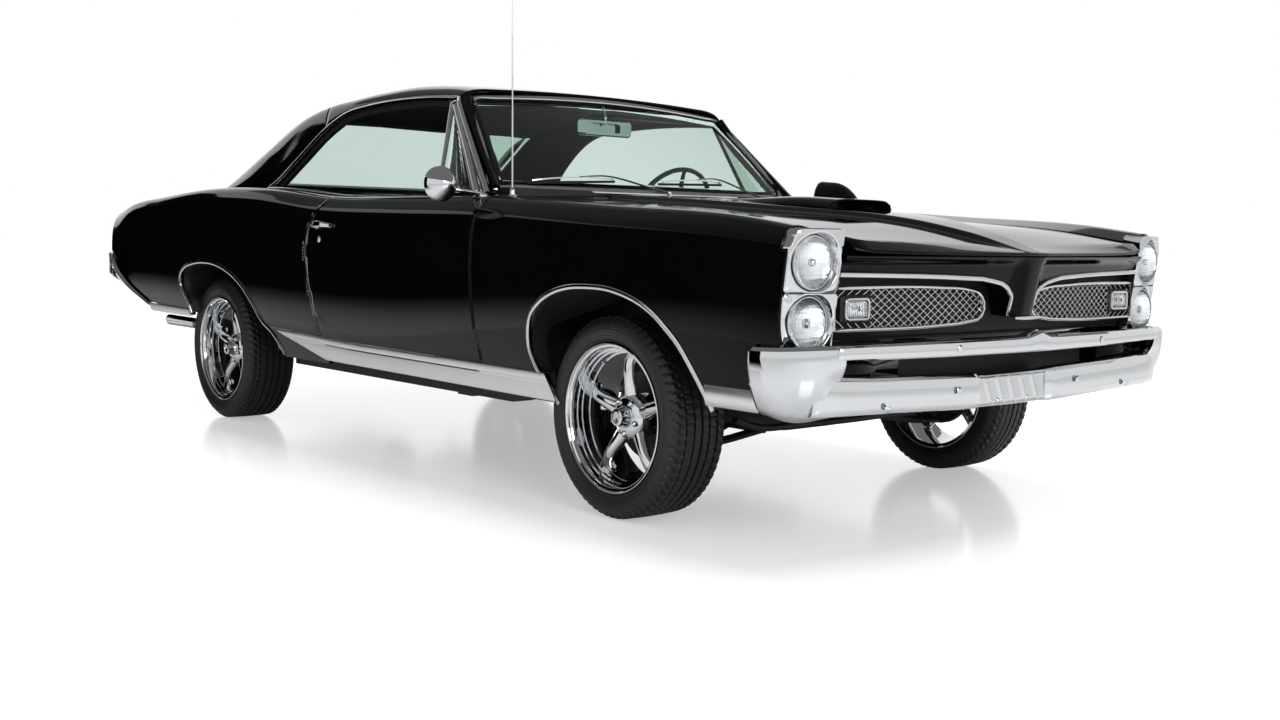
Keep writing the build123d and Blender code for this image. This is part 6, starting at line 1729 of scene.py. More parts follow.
# Loop-pile carpet, loops 4 mm apart.
loops = add(tree, "TexVoronoi", {"Vector": where, "Scale": 250.0})
wear = add(tree, "TexNoise", {"Vector": where, "Scale": 4.0, "Detail": 3.0})
tone = add(tree, "MixRGB", {"Fac": wear, "Color1": srgb("0d0d0d"), "Color2": srgb("1b1b1b")})
bump = add(tree, "Bump", {"Height": loops, "Strength": 0.8, "Distance": 0.003})
pile = add(tree, "BsdfPrincipled", {"Base Color": tone, "Roughness": 0.95, "Normal": bump})
add(tree, "OutputMaterial", {"Surface": pile})
for hand, sign in HANDS:
    for piece, x0, x1, body_name, low in (("door", -.150, .845, f"door_{hand}", .455),
                                          ("quarter", -1.12, -.215, "body", .60)):
        rows = []
        for x in np.linspace(x0, x1, 90 if piece == "door" else 70):
            row = []
            for z in (low, low + .09, low + .11, .62, .70, .78, .90, .93, .965, .990, .998):
                inset = .118 + (.010 if z < .60 else 0) - .010 * ease((z - .95) / .04)
                pleat = .0045 * math.exp(-(((x / .05) % 1 - .5) / .14) ** 2) * (low + .10 < z < .91)
                s, _ = section(round(x, 5))
                y = min(s[1][0], s[2][0]) - inset + pleat
                if piece == "quarter":
                    y = min(y, .800)
                if z > .96:
                    y = y + (.742 - y) * ease((z - .955) / .05)
                row.append(Vector((x, y * sign, z + (.006 if z > .98 else 0))))
            rows.append(row)
        fit(shell(f"{piece}_trim_{hand}", rows, .003, seat_vinyl, facing=(0, -sign, 0)), body_name, "seat_vinyl")
    arm_rows = []
    for t in np.linspace(0, 1, 18):
        x = -.05 + .36 * t
        grow = math.sin(math.pi * t) ** .35
        arm_rows.append([Vector((x, (.815 - .062 * grow * math.sin(math.pi * k / 10) ** .6) * sign,
                                 .705 + .034 * grow * math.cos(math.pi * k / 10))) for k in range(11)])
    fit(shell(f"armrest_{hand}", arm_rows, 0, seat_vinyl, facing=(0, -sign, 0)), f"door_{hand}", "seat_vinyl")
    visor = []
    for t in np.linspace(0, 1, 9):
        visor.append([Vector((.385 - .150 * t, (.08 + .42 * u) * sign, 1.366 + .008 * t - .004 * abs(u - .5)))
                      for u in np.linspace(0, 1, 9)])
    fit(shell(f"sun_visor_{hand}", visor, .012, lining, facing=(0, 0, 1)), "body", "cabin_black")
mats = []
for x in np.linspace(.80, -.66, 20):
    mats.append([Vector((x, y, .3715 + (.128 * ease((.150 - abs(y)) / .05) if abs(y) < .16 else 0) + .0015))
                 for y in np.linspace(-.80, .80, 60)])
fit(shell("floor_carpet", mats, 0, carpet, facing=(0, 0, 1)), "body", "cabin_black")
console = []
for x in np.linspace(.60, -.30, 16):
    up = .60 + .10 * ease((x - .30) / .25)
    console.append([Vector((x, y, z)) for y, z in ((-.105, .47), (-.100, up - .01),
                                                   (-.085, up), (.085, up), (.100, up - .01), (.105, .47))])
fit(shell("centre_console", console, .004, seat_vinyl, facing=(0, 0, 1)), "body", "cabin_black")
lever = smooth_path([Vector((.20, .02, .60)), Vector((.215, .02, .68)), Vector((.19, .02, .76))], 12)
fit(sweep("gear_lever", lever, circle(.006, 12), chrome, (1, 0, 0)), "body", "chrome")
fit(dome("gear_knob", .020, .022, Vector((.19, .02, .752)), (-.2, 0, 1), rim_rubber, 24, 6), "body", "cabin_black")
mirror_rows = [[Vector((.440 + d, y * g, 1.300 + z * g)) for y, z in rounded(.136, .033, .020)]
               for d, g in ((.014, .55), (.016, .85), (.010, .99), (0, 1), (-.003, .96))]
fit(shell("dipping_mirror_back", mirror_rows, 0, chrome, facing=(1, 0, 0), closed=True), "body", "chrome")
pane_edge = [Vector((.437, y * .955, 1.300 + z * .955)) for y, z in rounded(.136, .033, .020)]
fit(mesh_object("dipping_mirror_glass", pane_edge, [tuple(range(32))], mirror_glass, smooth=False), "body", "chrome")
stalk = smooth_path([Vector((.450, 0, 1.308)), Vector((.452, 0, 1.340)), Vector((.440, 0, 1.372))], 8)
fit(sweep("dipping_mirror_arm", stalk, circle(.006, 12), chrome, (1, 0, 0)), "body", "chrome")
shelf = [[Vector((x, y, 1.050 - .012 * (x + 1.19) ** 2)) for y in np.linspace(-.56, .56, 21)]
         for x in np.linspace(-1.19, -1.30, 5)]
fit(shell("parcel_shelf", shelf, .004, lining, facing=(0, 0, 1)), "body", "cabin_black")

# ---- Trunk lid and tail -------------------------------------------------------------------
# Pressed steel trunk lid with rolled edges over a black tail panel, which carries two rows of
# slim red lamps a side in bright frames, two full-width bright lines and the lid's lock.
def tail_x(y):
    """The tail panel's plane, bowed back in the middle."""
    return -float(np.interp(abs(y), [0, .25, .50, .70, .836], [.060, .0575, .050, .040, .028])) + TAIL_X


rows = []
LID_X = np.linspace(-1.3975, -2.5025, 46)
LID_Y = [-.604, -.6035, -.601] + list(np.linspace(-.594, .594, 35)) + [.601, .6035, .604]
for i, x in enumerate(LID_X):
    fall = .0045 * (1 - ease(min(i, 45 - i) / 1.0))
    row = []
    for j, y in enumerate(LID_Y):
        k = min(j, 40 - j)
        y = y * lid_half(x) / LID_HALF
        row.append(Vector((x, y, deck_z(x, y) - fall - (.018, .004, .001, 0)[min(k, 3)])))
    rows.append(row)
rows = [[Vector((p.x + .0004, p.y, p.z - .016))
         for p in rows[0]]] + rows + [[Vector((p.x - .0004, p.y, p.z - .016)) for p in rows[-1]]]
fit(shell("trunk_lid_panel", rows, .0012, gloss_black), "trunk_lid", "paint", "trunk_lid")
inner_rows = []
for x in np.linspace(-1.43, -2.47, 40):
    row = []
    for y in np.linspace(-.575, .575, 61):
        cell = min(abs(x + 1.43), abs(x + 2.47), .575 - abs(y), abs(abs(y) - .20), abs(abs(x + 1.95) - .16))
        y = y * lid_half(x) / LID_HALF
        row.append(Vector((x, y, deck_z(x, y) - .006 - .016 * (1 - ease((cell - .030) / .018)))))
    inner_rows.append(row)
fit(shell("trunk_lid_inner_frame", inner_rows, .0008, mouth_black, facing=(0, 0, -1)), "trunk_lid", "frame_black")

TAIL_SHAPE = [(.050, .9185), (.012, .9195), (.003, .914), (-.002, .904),
              (.006, .898), (.014, .892), (.016, .884), (.016, .776), (.014, .768), (.004, .760),
              (.000, .752), (.002, .736), (.030, .735)]
rows = [[Vector((tail_x(y) + d, y, z)) for d, z in TAIL_SHAPE] for y in np.linspace(-.836, .836, 57)]
fit(shell("tail_panel_skin", rows, .0015, gloss_black, facing=(-1, 0, 0), sharp=45), "body", "paint", "tail_panel")
for hand, sign in HANDS:
    rows = []
    for v in list(np.linspace(v_at(TAIL_X, .736), 2.0, 14)) + [2.3, 2.6, 2.9, 3.0, 3.1]:
        a = side(TAIL_X, v)
        z = min(a.z, .926)
        inner = Vector((tail_x(.836), .836, min(max(z, .735), .9195)))
        rows.append([Vector((p.x, p.y * sign, p.z)) for p in
                     (Vector((-2.5125, a.y - .001, a.z)), Vector((-2.5165, a.y - .003, z)),
                      a.lerp(inner, .5) + Vector((-.009, 0, 0)), inner)])
    fit(shell(f"quarter_end_cap_{hand}", rows, .0015, gloss_black, facing=(-1, 0, 0)), "body", "paint")
for name, z in (("upper", .9005), ("lower", .7605)):
    line = [Vector((tail_x(y) - .001, y, z)) for y in np.linspace(-.82, .82, 50)]
    fit(sweep(f"tail_panel_line_{name}", line, bead(.010, .0045, -.003), stainless, (-1, 0, 0)), "body", "bright_trim")
red_lens, tree, where = new_finish("red_moulded_acrylic_lens")
# Red acrylic with moulded prisms in rows 5 mm apart behind a smooth face.
prisms = add(tree, "TexVoronoi", {"Vector": where, "Scale": 200.0})
cloud = add(tree, "TexNoise", {"Vector": where, "Scale": 30.0})
# Each prism is painted bright red in its middle and darker red at its edges: painted shading of its facets; the bump
# carries its relief.
tone = add(tree, "MixRGB", {"Fac": prisms, "Color1": srgb("c01a14"), "Color2": srgb("7d0b0a")})
rough = add(tree, "MapRange", {"Value": cloud, "To Min": 0.04, "To Max": 0.12})
bump = add(tree, "Bump", {"Height": prisms, "Strength": 0.5, "Distance": 0.002})
lens = add(tree, "BsdfPrincipled", {"Base Color": tone, "Roughness": rough, "Normal": bump})
add(tree, "OutputMaterial", {"Surface": lens})
first = True
for hand, sign in HANDS:
    for column, middle in (("inner", .390), ("outer", .662)):
        for row_name, z0 in (("upper", .8560), ("lower", .8030)):
            outline = rounded(.124, .0215, .007)
            rows = [[Vector((tail_x(middle + y * g) + d, (middle + y * g) * sign, z0 + z * h)) for y, z in outline]
                    for g, h, d in ((1, 1, .014), (1, 1, .004), (.99, .90, -.001),
                                    (.97, .5, -.0025), (.95, .001, -.003))]
            lens_piece = shell(f"tail_lamp_{column}_{row_name}_{hand}",
                               rows, 0, red_lens, facing=(-1, 0, 0), closed=True)
            fit(lens_piece, "body", "red_lens", *(("tail_lamps",) if first else ()))
            first = False
            frame = [Vector((tail_x(middle + y * 1.01) + .006, (middle + y * 1.01) * sign, z0 + z * 1.09))
                     for y, z in outline]
            fit(sweep(f"tail_lamp_frame_{column}_{row_name}_{hand}", frame,
                      bead(.005, .008, -.008), chrome, (-1, 0, 0), closed=True), "body", "bright_trim")
fit(dome("trunk_lock", .019, .007, (tail_x(0) + .012, 0, .828), (-1, 0, 0), chrome, 36, 5), "body", "chrome")
# A black slit on the lock's face: painted shade in its keyhole.
slit = [[Vector((tail_x(0) + .0045, y, .828 + z)) for y in (-.0012, .0012)] for z in (-.006, .006)]
fit(shell("trunk_lock_slot", slit, 0, mouth_black, facing=(-1, 0, 0)), "body", "cabin_black")

# ---- Rear bumper --------------------------------------------------------------------------
# Rolled steel bar, chrome plated, that turns forward round the quarters and runs on as a slim
# strip under each quarter's edge. A blank plate hangs in its middle.
REAR_CUTS = [(0, -2.622, -2.560, .521, .699), (.18, -2.620, -2.559, .521, .699),
             (.40, -2.611, -2.554, .519, .701), (.64, -2.597, -2.547, .517, .703),
             (.76, -2.583, -2.538, .534, .709), (.86, -2.563, -2.524, .580, .716),
             (.895, -2.545, -2.520, .606, .722), (.906, -2.530, -2.518, .618, .724)]
REAR_SHAPE = [(0, .985), (.45, 1), (.80, .97), (.97, .90), (1, .80), (.97, .64),
              (.80, .58), (.76, .50), (.80, .42), (.96, .36), (1, .24), (.94, .10),
              (.74, .02), (.45, 0), (0, .012)]
table = np.array(REAR_CUTS)
REAR_FOOT = min(x for x, z in rear_arch if .452 < z < .50) - .004
# The wrap-round end: x, upper edge, lower edge
WRAP = np.array([(-2.526, .722, .620), (-2.506, .724, .618), (-2.440, .692, .588),
                 (-2.200, .572, .522), (-1.979, .4945, .468)])
rows = []
for y in np.concatenate([-np.linspace(0, .906, 48)[:0:-1], np.linspace(0, .906, 48)]):
    outer, inner, low, high = (float(np.interp(abs(y), table[:, 0], table[:, k])) for k in (1, 2, 3, 4))
    rows.append([Vector((inner + (outer - inner) * u, y, low + (high - low) * w)) for u, w in REAR_SHAPE])
fit(shell("rear_bumper_bar", rows, .003, chrome, facing=(-1, 0, 0), sharp=24), "body", "chrome", "rear_bumper")
blank_steel, tree, where = new_finish("blank_aluminium_plate")
# A bare stamped plate: brushed aluminium, dull.
brush = add(tree, "TexNoise", {"Vector": where, "Scale": 300.0})
tone = add(tree, "MixRGB", {"Fac": brush, "Color1": srgb("a2a3a4"), "Color2": srgb("bcbdbe")})
rough = add(tree, "MapRange", {"Value": brush, "To Min": 0.35, "To Max": 0.5})
sheet_metal = add(tree, "BsdfPrincipled", {"Base Color": tone, "Metallic": 1.0, "Roughness": rough})
add(tree, "OutputMaterial", {"Surface": sheet_metal})
rows = [[Vector((-2.6225 + d, y * g, .610 + z * g)) for y, z in rounded(.152, .074, .010)]
        for g, d in ((.96, .004), (1, .0035), (1.0, .0), (.985, -.001), (.97, .0005), (.001, .0005))]
fit(shell("blank_rear_plate", rows, 0, blank_steel, facing=(-1, 0, 0), closed=True), "body", "bright_trim")
for hand, sign in HANDS:
    rows = []
    for x in np.linspace(-2.524, -1.981, 50):
        top, low = (float(np.interp(x, WRAP[:, 0], WRAP[:, k])) for k in (1, 2))
        row = []
        for s in np.linspace(0, 1, 9):
            z = top + (low - top) * s
            body_y = side(max(x, -2.51), v_at(max(x, -2.51), z)).y
            belly = .006 * math.sin(math.pi * s) ** .6
            row.append(Vector((x, (min(body_y, .928) + belly - .001) * sign, z)))
        rows.append([row[0] - Vector((0, .014 * sign, 0))] + row + [row[-1] - Vector((0, .018 * sign, 0))])
    fit(shell(f"rear_bumper_wrap_{hand}", rows, .002, chrome, facing=(0, sign, 0), sharp=40), "body", "chrome")
    rows = []
    for x in np.linspace(-1.982, REAR_FOOT, 40):
        t = (x + 1.982) / (REAR_FOOT + 1.982)
        low, high = .4530, .492 - .004 * t
        row = [on_side(x, low + (high - low) * w, sign, out)[0]
               for w, out in ((0, .0), (.04, .005), (.5, .008), (.96, .006), (1, .0))]
        rows.append([row[0] - Vector((0, .012 * sign, 0))] + row)
    fit(shell(f"quarter_lower_moulding_{hand}", rows, .0012, sill_metal, facing=(0, sign, 0)), "body", "bright_trim")
    ridge = [on_side(x, z, sign, .0105)[0]
             for x, z in run([(-2.500, .700), (-2.44, .650), (-2.30, .585), (-2.05, .505), (-1.99, .486)], 30)]
    fit(sweep(f"rear_bumper_ridge_{hand}", ridge, bead(.008, .004, -.006), stainless, (0, sign, 0)),
        "body", "bright_trim")

# ---- Exhaust ------------------------------------------------------------------------------
# Two aluminised steel pipes with oval mufflers, dull from heat. They hang under the floor, rise
# over the axle and end in polished tips behind the rear wheels.
hot_steel, tree, where = new_finish("aluminised_exhaust_steel")
# Rolled tube with a matt aluminised coat, straw and brown where it has run hot.
heat = add(tree, "TexNoise", {"Vector": where, "Scale": 5.0, "Detail": 4.0})
grit = add(tree, "TexNoise", {"Vector": where, "Scale": 400.0})
tone = add(tree, "MixRGB", {"Fac": heat, "Color1": srgb("77746e"), "Color2": srgb("8f8a80")})
rough = add(tree, "MapRange", {"Value": heat, "To Min": 0.35, "To Max": 0.6})
bump = add(tree, "Bump", {"Height": grit, "Strength": 0.3, "Distance": 0.0005})
tube = add(tree, "BsdfPrincipled", {"Base Color": tone, "Metallic": 1.0, "Roughness": rough, "Normal": bump})
add(tree, "OutputMaterial", {"Surface": tube})
PIPE_Y = .30
tube_ring = circle(.024, 24)
for hand, sign in HANDS:
    route = [(1.022, .30, .3180), (.2, .30, .3180), (-.557, .30, .3180),
             (-.837, .30, .3180), (-.96, .30, .345), (-1.097, .30, .420), (-1.30, .30, .420), (-1.497, .30, .420),
             (-1.60, .42, .400), (-1.72, .590, .375), (-1.84, .690, .385), (-1.90, .731, .392)]
    path = smooth_path([Vector((x, y * sign, z)) for x, y, z in route], 90)
    fit(sweep(f"exhaust_pipe_{hand}", path, tube_ring, hot_steel, (0, .02, 1)),
        "body", "exhaust_steel", *(("exhaust",) if sign > 0 else ()))
    rows = []
    for t, g in ((0, .30), (.02, .55), (.05, .95), (.08, 1), (.5, 1), (.92, 1), (.95, .95), (.98, .55), (1, .30)):
        rows.append([Vector((-.477 + .600 * t, PIPE_Y * sign + .070 * g * math.cos(a),
                             .2935 + .0485 * g * math.sin(a))) for a in around(36)])
    rows = [[Vector((p.x, PIPE_Y * sign + (p.y - PIPE_Y * sign) * .70, p.z)) for p in row] for row in rows]
    fit(shell(f"muffler_{hand}", rows, 0, hot_steel, facing=(0, 0, 1), closed=True), "body", "exhaust_steel")
    way = Vector((-.826, .555 * sign, .100)).normalized()
    start = Vector((-1.890, .7245 * sign, .391))
    cross = Vector((-.555 * sign, -.826, 0)).normalized()
    rows = []
    for d, r in ((0, .0255), (.004, .0262), (.140, .0262), (.147, .0256), (.147, .0232), (.090, .0226)):
        rows.append([start + way * d + cross * r * math.cos(a) + Vector((0, 0, r * math.sin(a))) for a in around(32)])
    fit(shell(f"exhaust_tip_{hand}", rows, 0, chrome, facing=tuple(way), closed=True), "body", "exhaust_steel")
    # A flat black disc inside each tip: painted shade standing for the dark bore of the pipe.
    disc = [start + way * .0905 + cross * .0224 * math.cos(a) + Vector((0, 0, .0222 * math.sin(a))) for a in around(32)]
    fit(mesh_object(f"exhaust_tip_painted_shade_disc_{hand}", disc, [tuple(range(32))], mouth_black, smooth=False),
        "body", "cabin_black")

# ---- Cowl, chassis and running gear -------------------------------------------------------
# Slotted cowl ahead of the windshield; under it the pressed frame, floor, wheel houses, tank and
# radiator in satin black paint, and the cast rear axle and front knuckles.
def dress(name, finish):
    """Gives its finish to a node of the frame that stays visible."""
    data = nodes[name].data
    for k in range(max(1, len(data.materials))):
        if k < len(data.materials):
            data.materials[k] = finish
        else:
            data.materials.append(finish)


chassis_black, tree, where = new_finish("satin_chassis_paint_on_steel")
# Brushed-on chassis paint, satin black, with road dust thin on it in patches.
dust = add(tree, "TexNoise", {"Vector": where, "Scale": 3.5, "Detail": 6.0})
skin_grain = add(tree, "TexNoise", {"Vector": where, "Scale": 160.0})
tone = add(tree, "MixRGB", {"Fac": dust, "Color1": srgb("0b0b0c"), "Color2": srgb("1e1d1c")})
rough = add(tree, "MapRange", {"Value": dust, "To Min": 0.38, "To Max": 0.75})
bump = add(tree, "Bump", {"Height": skin_grain, "Strength": 0.2, "Distance": 0.001})
coat = add(tree, "BsdfPrincipled", {"Base Color": tone, "Roughness": rough, "Normal": bump})
add(tree, "OutputMaterial", {"Surface": coat})
cast_iron, tree, where = new_finish("machined_grey_cast_iron")
# Sand-cast iron, dark grey, with a pebbled skin 3 mm across and brown bloom in the hollows.
pebble = add(tree, "TexNoise", {"Vector": where, "Scale": 330.0, "Detail": 3.0})
bloom = add(tree, "TexNoise", {"Vector": where, "Scale": 12.0, "Detail": 5.0})
tone = add(tree, "MixRGB", {"Fac": bloom, "Color1": srgb("34322f"), "Color2": srgb("4c463f")})
rough = add(tree, "MapRange", {"Value": bloom, "To Min": 0.5, "To Max": 0.8})
bump = add(tree, "Bump", {"Height": pebble, "Strength": 0.5, "Distance": 0.0015})
iron = add(tree, "BsdfPrincipled", {"Base Color": tone, "Metallic": 0.6, "Roughness": rough, "Normal": bump})
add(tree, "OutputMaterial", {"Surface": iron})
for name in ("frame_rails", "floor_pan", "cowl_and_firewall", "wheel_houses", "radiator", "fuel_tank"):
    dress(name, chassis_black)
for name in ("rear_axle", "knuckle_left", "knuckle_right"):
    dress(name, cast_iron)

rows = []
for x in np.linspace(.929, .735, 30):
    row = []
    for y in np.linspace(-.700, .700, 141):
        front_z = cowl_z(x, y)
        slot_at = (abs(y) - .10) / .030
        louvre = ease(1 - abs((slot_at % 1) - .5) / .28) * ease(1 - abs(x - .868) / .040) * (.10 < abs(y) < .64)
        row.append(Vector((x, y, front_z + .0015 - .004 * louvre)))
    rows.append(row)
fit(shell("cowl_panel", rows, .0012, gloss_black), "body", "paint")

# ---- Front suspension ---------------------------------------------------------------------
# Pressed wishbones in chassis paint with a coil spring and a damper between them, from the frame
# rail to the ball joints on the kingpin axis.
SPRING_Y = .545
rod_ring = circle(1, 16)
for hand, sign in HANDS:
    for name, z, inner_z, inner_y, base, thick in (("lower", .1915, .245, .315, .085, .0125),
                                                   ("upper", .4605, .452, .440, .070, .0090)):
        for end, reach in (("front", base), ("rear", -base)):
            path = smooth_path([Vector((AXLE_F + reach, inner_y * sign, inner_z)),
                                Vector((AXLE_F + reach * .62, (inner_y + .125) * sign, (inner_z + z) / 2)),
                                Vector((AXLE_F + reach * .12, .690 * sign, z))], 16)
            fit(sweep(f"{name}_wishbone_{end}_{hand}", path, [(u * thick * 1.8, w * thick) for u, w in rod_ring],
                      chassis_black, (0, 0, 1)), "body", "chassis_steel",
                *(("front_suspension",) if (name, end, sign) == ("lower", "front", 1) else ()))
        bush = [Vector((AXLE_F + x, inner_y * sign, inner_z)) for x in np.linspace(-base - .018, base + .018, 12)]
        fit(sweep(f"{name}_wishbone_pivot_{hand}", bush, [(u * thick * .9, w * thick * .9) for u, w in rod_ring],
                  cast_iron, (0, 0, 1)), "body", "chassis_steel")
    tower = [[Vector((AXLE_F + dx, y * sign, z)) for dx in np.linspace(-.075, .075, 8)]
             for y, z in ((.330, .262), (.420, .285), (.470, .335), (.478, .420))]
    fit(shell(f"spring_tower_{hand}", tower, .006, chassis_black, facing=(0, sign, -.5)), "body", "chassis_steel")
    seat = [[Vector((AXLE_F + .055 * math.cos(a), SPRING_Y * sign + .055 * math.sin(a), .2045 + d))
             for a in around(32)] for d in (-.006, .006)]
    fit(shell(f"spring_seat_{hand}", seat, .004, chassis_black, facing=(0, sign, 0), closed=True),
        "body", "chassis_steel")
    coil = [Vector((AXLE_F + .046 * math.cos(a), SPRING_Y * sign + .046 * math.sin(a),
                    .212 + .190 * a / (2 * math.pi * 5.5))) for a in np.linspace(0, 2 * math.pi * 5.5, 170)]
    fit(sweep(f"coil_spring_{hand}", coil, [(u * .0065, w * .0065) for u, w in rod_ring[::2]],
              chassis_black, (0, 0, 1)), "body", "chassis_steel")
    damper = [Vector((AXLE_F, SPRING_Y * sign, z)) for z in (.200, .310, .311, .420)]
    fit(sweep(f"damper_{hand}", damper, [(u * .019, w * .019) for u, w in rod_ring],
              cast_iron, (1, 0, 0), size=[1, 1, .45, .45]), "body", "chassis_steel")
    splash = [[Vector((-1.7205, y * sign, z)) for y in np.linspace(.50, .884, 12)] for z in np.linspace(.456, .640, 6)]
    fit(shell(f"rear_splash_panel_{hand}", splash, .002, chassis_black, facing=(1, 0, 0)), "body", "chassis_steel")

cross_rows = []
for y in np.linspace(-.420, .420, 36):
    low = .216 + .050 * ease(max(0.0, abs(y) - .10) / .34)
    cross_rows.append([Vector((AXLE_F - .030 + dx, y, z))
                       for dx, z in ((-.050, low + .085), (-.048, low + .012),
                                     (-.036, low), (.036, low), (.048, low + .012), (.050, low + .085))])
fit(shell("front_crossmember", cross_rows, .006, chassis_black, facing=(0, 0, -1)), "body", "chassis_steel")
bar = smooth_path([Vector((AXLE_F + .16, y, z))
                   for y, z in ((-.50, .300), (-.42, .272), (-.20, .262), (.20, .262), (.42, .272), (.50, .300))], 40)
fit(sweep("anti_roll_bar", bar, [(u * .012, w * .012) for u, w in rod_ring], chassis_black, (0, 0, 1)),
    "body", "chassis_steel")

# ---- Engine -------------------------------------------------------------------------------
# A V8 in blue enamel with plated valve covers and air cleaner, cast manifolds, belt-driven fan
# and its gearbox behind. It is bolted to the frame; hoses run to the radiator.
engine_paint, tree, where = new_finish("blue_engine_enamel_on_iron")
# Light blue-grey engine enamel over castings, oily in the low places.
oil = add(tree, "TexNoise", {"Vector": where, "Scale": 9.0, "Detail": 5.0})
tone = add(tree, "MixRGB", {"Fac": oil, "Color1": srgb("4f7186"), "Color2": srgb("6d93a6")})
rough = add(tree, "MapRange", {"Value": oil, "To Min": 0.25, "To Max": 0.55})
bump = add(tree, "Bump", {"Height": oil, "Strength": 0.3, "Distance": 0.002})
enamel = add(tree, "BsdfPrincipled", {"Base Color": tone, "Roughness": rough, "Normal": bump})
add(tree, "OutputMaterial", {"Surface": enamel})


def casting(name, finish, stations, middle, tilt=0.0, replaced=(), slot="engine_iron"):
    """A block lofted along X through rounded sections (x, half width, half height, corner)."""
    stations = [(stations[0][0], .002, .002, .0009), *stations, (stations[-1][0], .002, .002, .0009)]
    c, s = math.cos(tilt), math.sin(tilt)
    rows = [[Vector((x, middle[0] + u * c - w * s, middle[1] + u * s + w * c)) for u, w in rounded(wide, high, corner)]
            for x, wide, high, corner in stations]
    fit(shell(name, rows, 0, finish, facing=(0, 0, 1), closed=True, sharp=32), "body", slot, *replaced)


def turned(name, finish, profile, at, axis="x", slot="engine_iron", count=40, sharp=30):
    """A piece turned about X or Z: the profile is (along, radius)."""
    rows = []
    for along, r in profile:
        ring = [(r * math.cos(a), r * math.sin(a)) for a in np.linspace(0, 2 * math.pi, count + 1)[:-1]]
        rows.append([Vector(at) + (Vector((along, u, w)) if axis == "x" else Vector((u, w, along))) for u, w in ring])
    fit(shell(name, rows, 0, finish, facing=(0, 0, 1), closed=True, sharp=sharp), "body", slot)


def pipe(name, finish, points, radius, slot="engine_iron", count=24):
    """A round hose, lead or rod through the points."""
    fit(sweep(name, smooth_path([Vector(p) for p in points], count), [(u * radius, w * radius) for u, w in rod_ring],
              finish, (0, 0, 1)), "body", slot)


casting("engine_block", engine_paint, [(1.13, .160, .100, .02), (1.15, .165, .105, .02),
                                       (1.72, .165, .105, .02), (1.74, .160, .100, .02)], (0, .505), 0, ("engine",))
casting("oil_pan", engine_paint, [(1.18, .105, .035, .015), (1.30, .115, .045, .018),
                                  (1.66, .115, .045, .018), (1.70, .105, .035, .015)], (0, .380))
casting("intake_manifold", engine_paint, [(1.18, .085, .028, .012), (1.20, .095, .034, .014),
                                          (1.64, .095, .034, .014), (1.67, .085, .028, .012)], (0, .690))
casting("carburettor", cast_iron, [(1.345, .050, .028, .008), (1.355, .055, .032, .008),
                                   (1.50, .055, .032, .008), (1.515, .050, .028, .008)], (0, .748))
casting("timing_cover", engine_paint, [(1.74, .120, .100, .03), (1.775, .115, .095, .03),
                                       (1.79, .060, .070, .03), (1.815, .035, .040, .02)], (0, .545))
PORTS = (1.235, 1.365, 1.495, 1.625)
for hand, sign in HANDS:
    lean = -.785 * sign
    casting(f"cylinder_head_{hand}", engine_paint,
            [(1.15, .070, .055, .010), (1.16, .074, .060, .012), (1.69, .074, .060, .012), (1.70, .070, .055, .010)],
            (.165 * sign, .640), lean)
    ribs = [(1.165 + .52 * k / 52, .064 + .0012 * (k % 4 < 2), .036 + .0016 * (k % 4 < 2), .022) for k in range(1, 52)]
    ribs = [(1.155, .050, .024, .016), (1.165, .064, .036, .022), *ribs,
            (1.685, .064, .036, .022), (1.695, .050, .024, .016)]
    casting(f"valve_cover_{hand}", chrome, ribs, (.222 * sign, .697), lean, slot="chrome")
    turned(f"oil_filler_cap_{hand}", mouth_black,
           [(0, .0005), (0, .020), (.010, .022), (.018, .022), (.020, .018), (.020, .0005)],
           (1.60, .236 * sign, .728), "z")
    casting(f"exhaust_manifold_{hand}", cast_iron,
            [(1.19, .018, .018, .010), (1.20, .024, .024, .014), (1.66, .026, .028, .016), (1.67, .020, .020, .012)],
            (.286 * sign, .560))
    for n, x in enumerate(PORTS):
        pipe(f"exhaust_port_{n}_{hand}", cast_iron,
             [(x, .215 * sign, .600), (x, .255 * sign, .590), (x, .286 * sign, .566)], .020, count=8)
        pipe(f"intake_runner_{n}_{hand}", engine_paint,
             [(x, .070 * sign, .700), (x, .110 * sign, .698), (x, .150 * sign, .680)], .021, count=8)
        lead = [(1.150 + .008 * n, .018 * sign, .800), (1.165 + .02 * n, .090 * sign, .815),
                ((1.16 + x) / 2, .262 * sign, .778), (x - .03, .300 * sign, .700), (x, .262 * sign, .640)]
        pipe(f"ignition_lead_{n}_{hand}", black_rubber, lead, .0036, count=30)
        pipe(f"spark_plug_boot_{n}_{hand}", black_rubber,
             [(x, .266 * sign, .650), (x, .250 * sign, .634), (x, .236 * sign, .620)], .0085, count=6)
    pipe(f"downpipe_{hand}", cast_iron, [(1.24, .286 * sign, .545), (1.20, .290 * sign, .470),
                                         (1.10, .285 * sign, .400), (1.00, .280 * sign, .350)], .024)
AIR_LID = [(.860, .0005), (.860, .030), (.856, .050), (.856, .160), (.852, .172),
           (.846, .178), (.838, .178), (.836, .174), (.836, .0005)]
turned("air_cleaner_lid", chrome, AIR_LID, (1.43, 0, 0), "z", "chrome", 72)
turned("air_filter_element", lining, [(.836, .160), (.834, .162), (.798, .162), (.796, .160)],
       (1.43, 0, 0), "z", "cabin_black", 72)
turned("air_cleaner_base", chrome, [(.797, .0005), (.797, .176), (.792, .178),
                                    (.784, .170), (.778, .090), (.760, .060), (.760, .0005)],
       (1.43, 0, 0), "z", "chrome", 72)
turned("air_cleaner_nut", stainless, [(.858, .0005), (.858, .011), (.872, .009), (.874, .0005)],
       (1.43, 0, 0), "z", "bright_trim", 12)
turned("distributor", mouth_black, [(.640, .0005), (.640, .030), (.735, .032),
                                    (.740, .048), (.775, .050), (.790, .040), (.806, .012), (.808, .0005)],
       (1.150, 0, 0), "z", count=32)
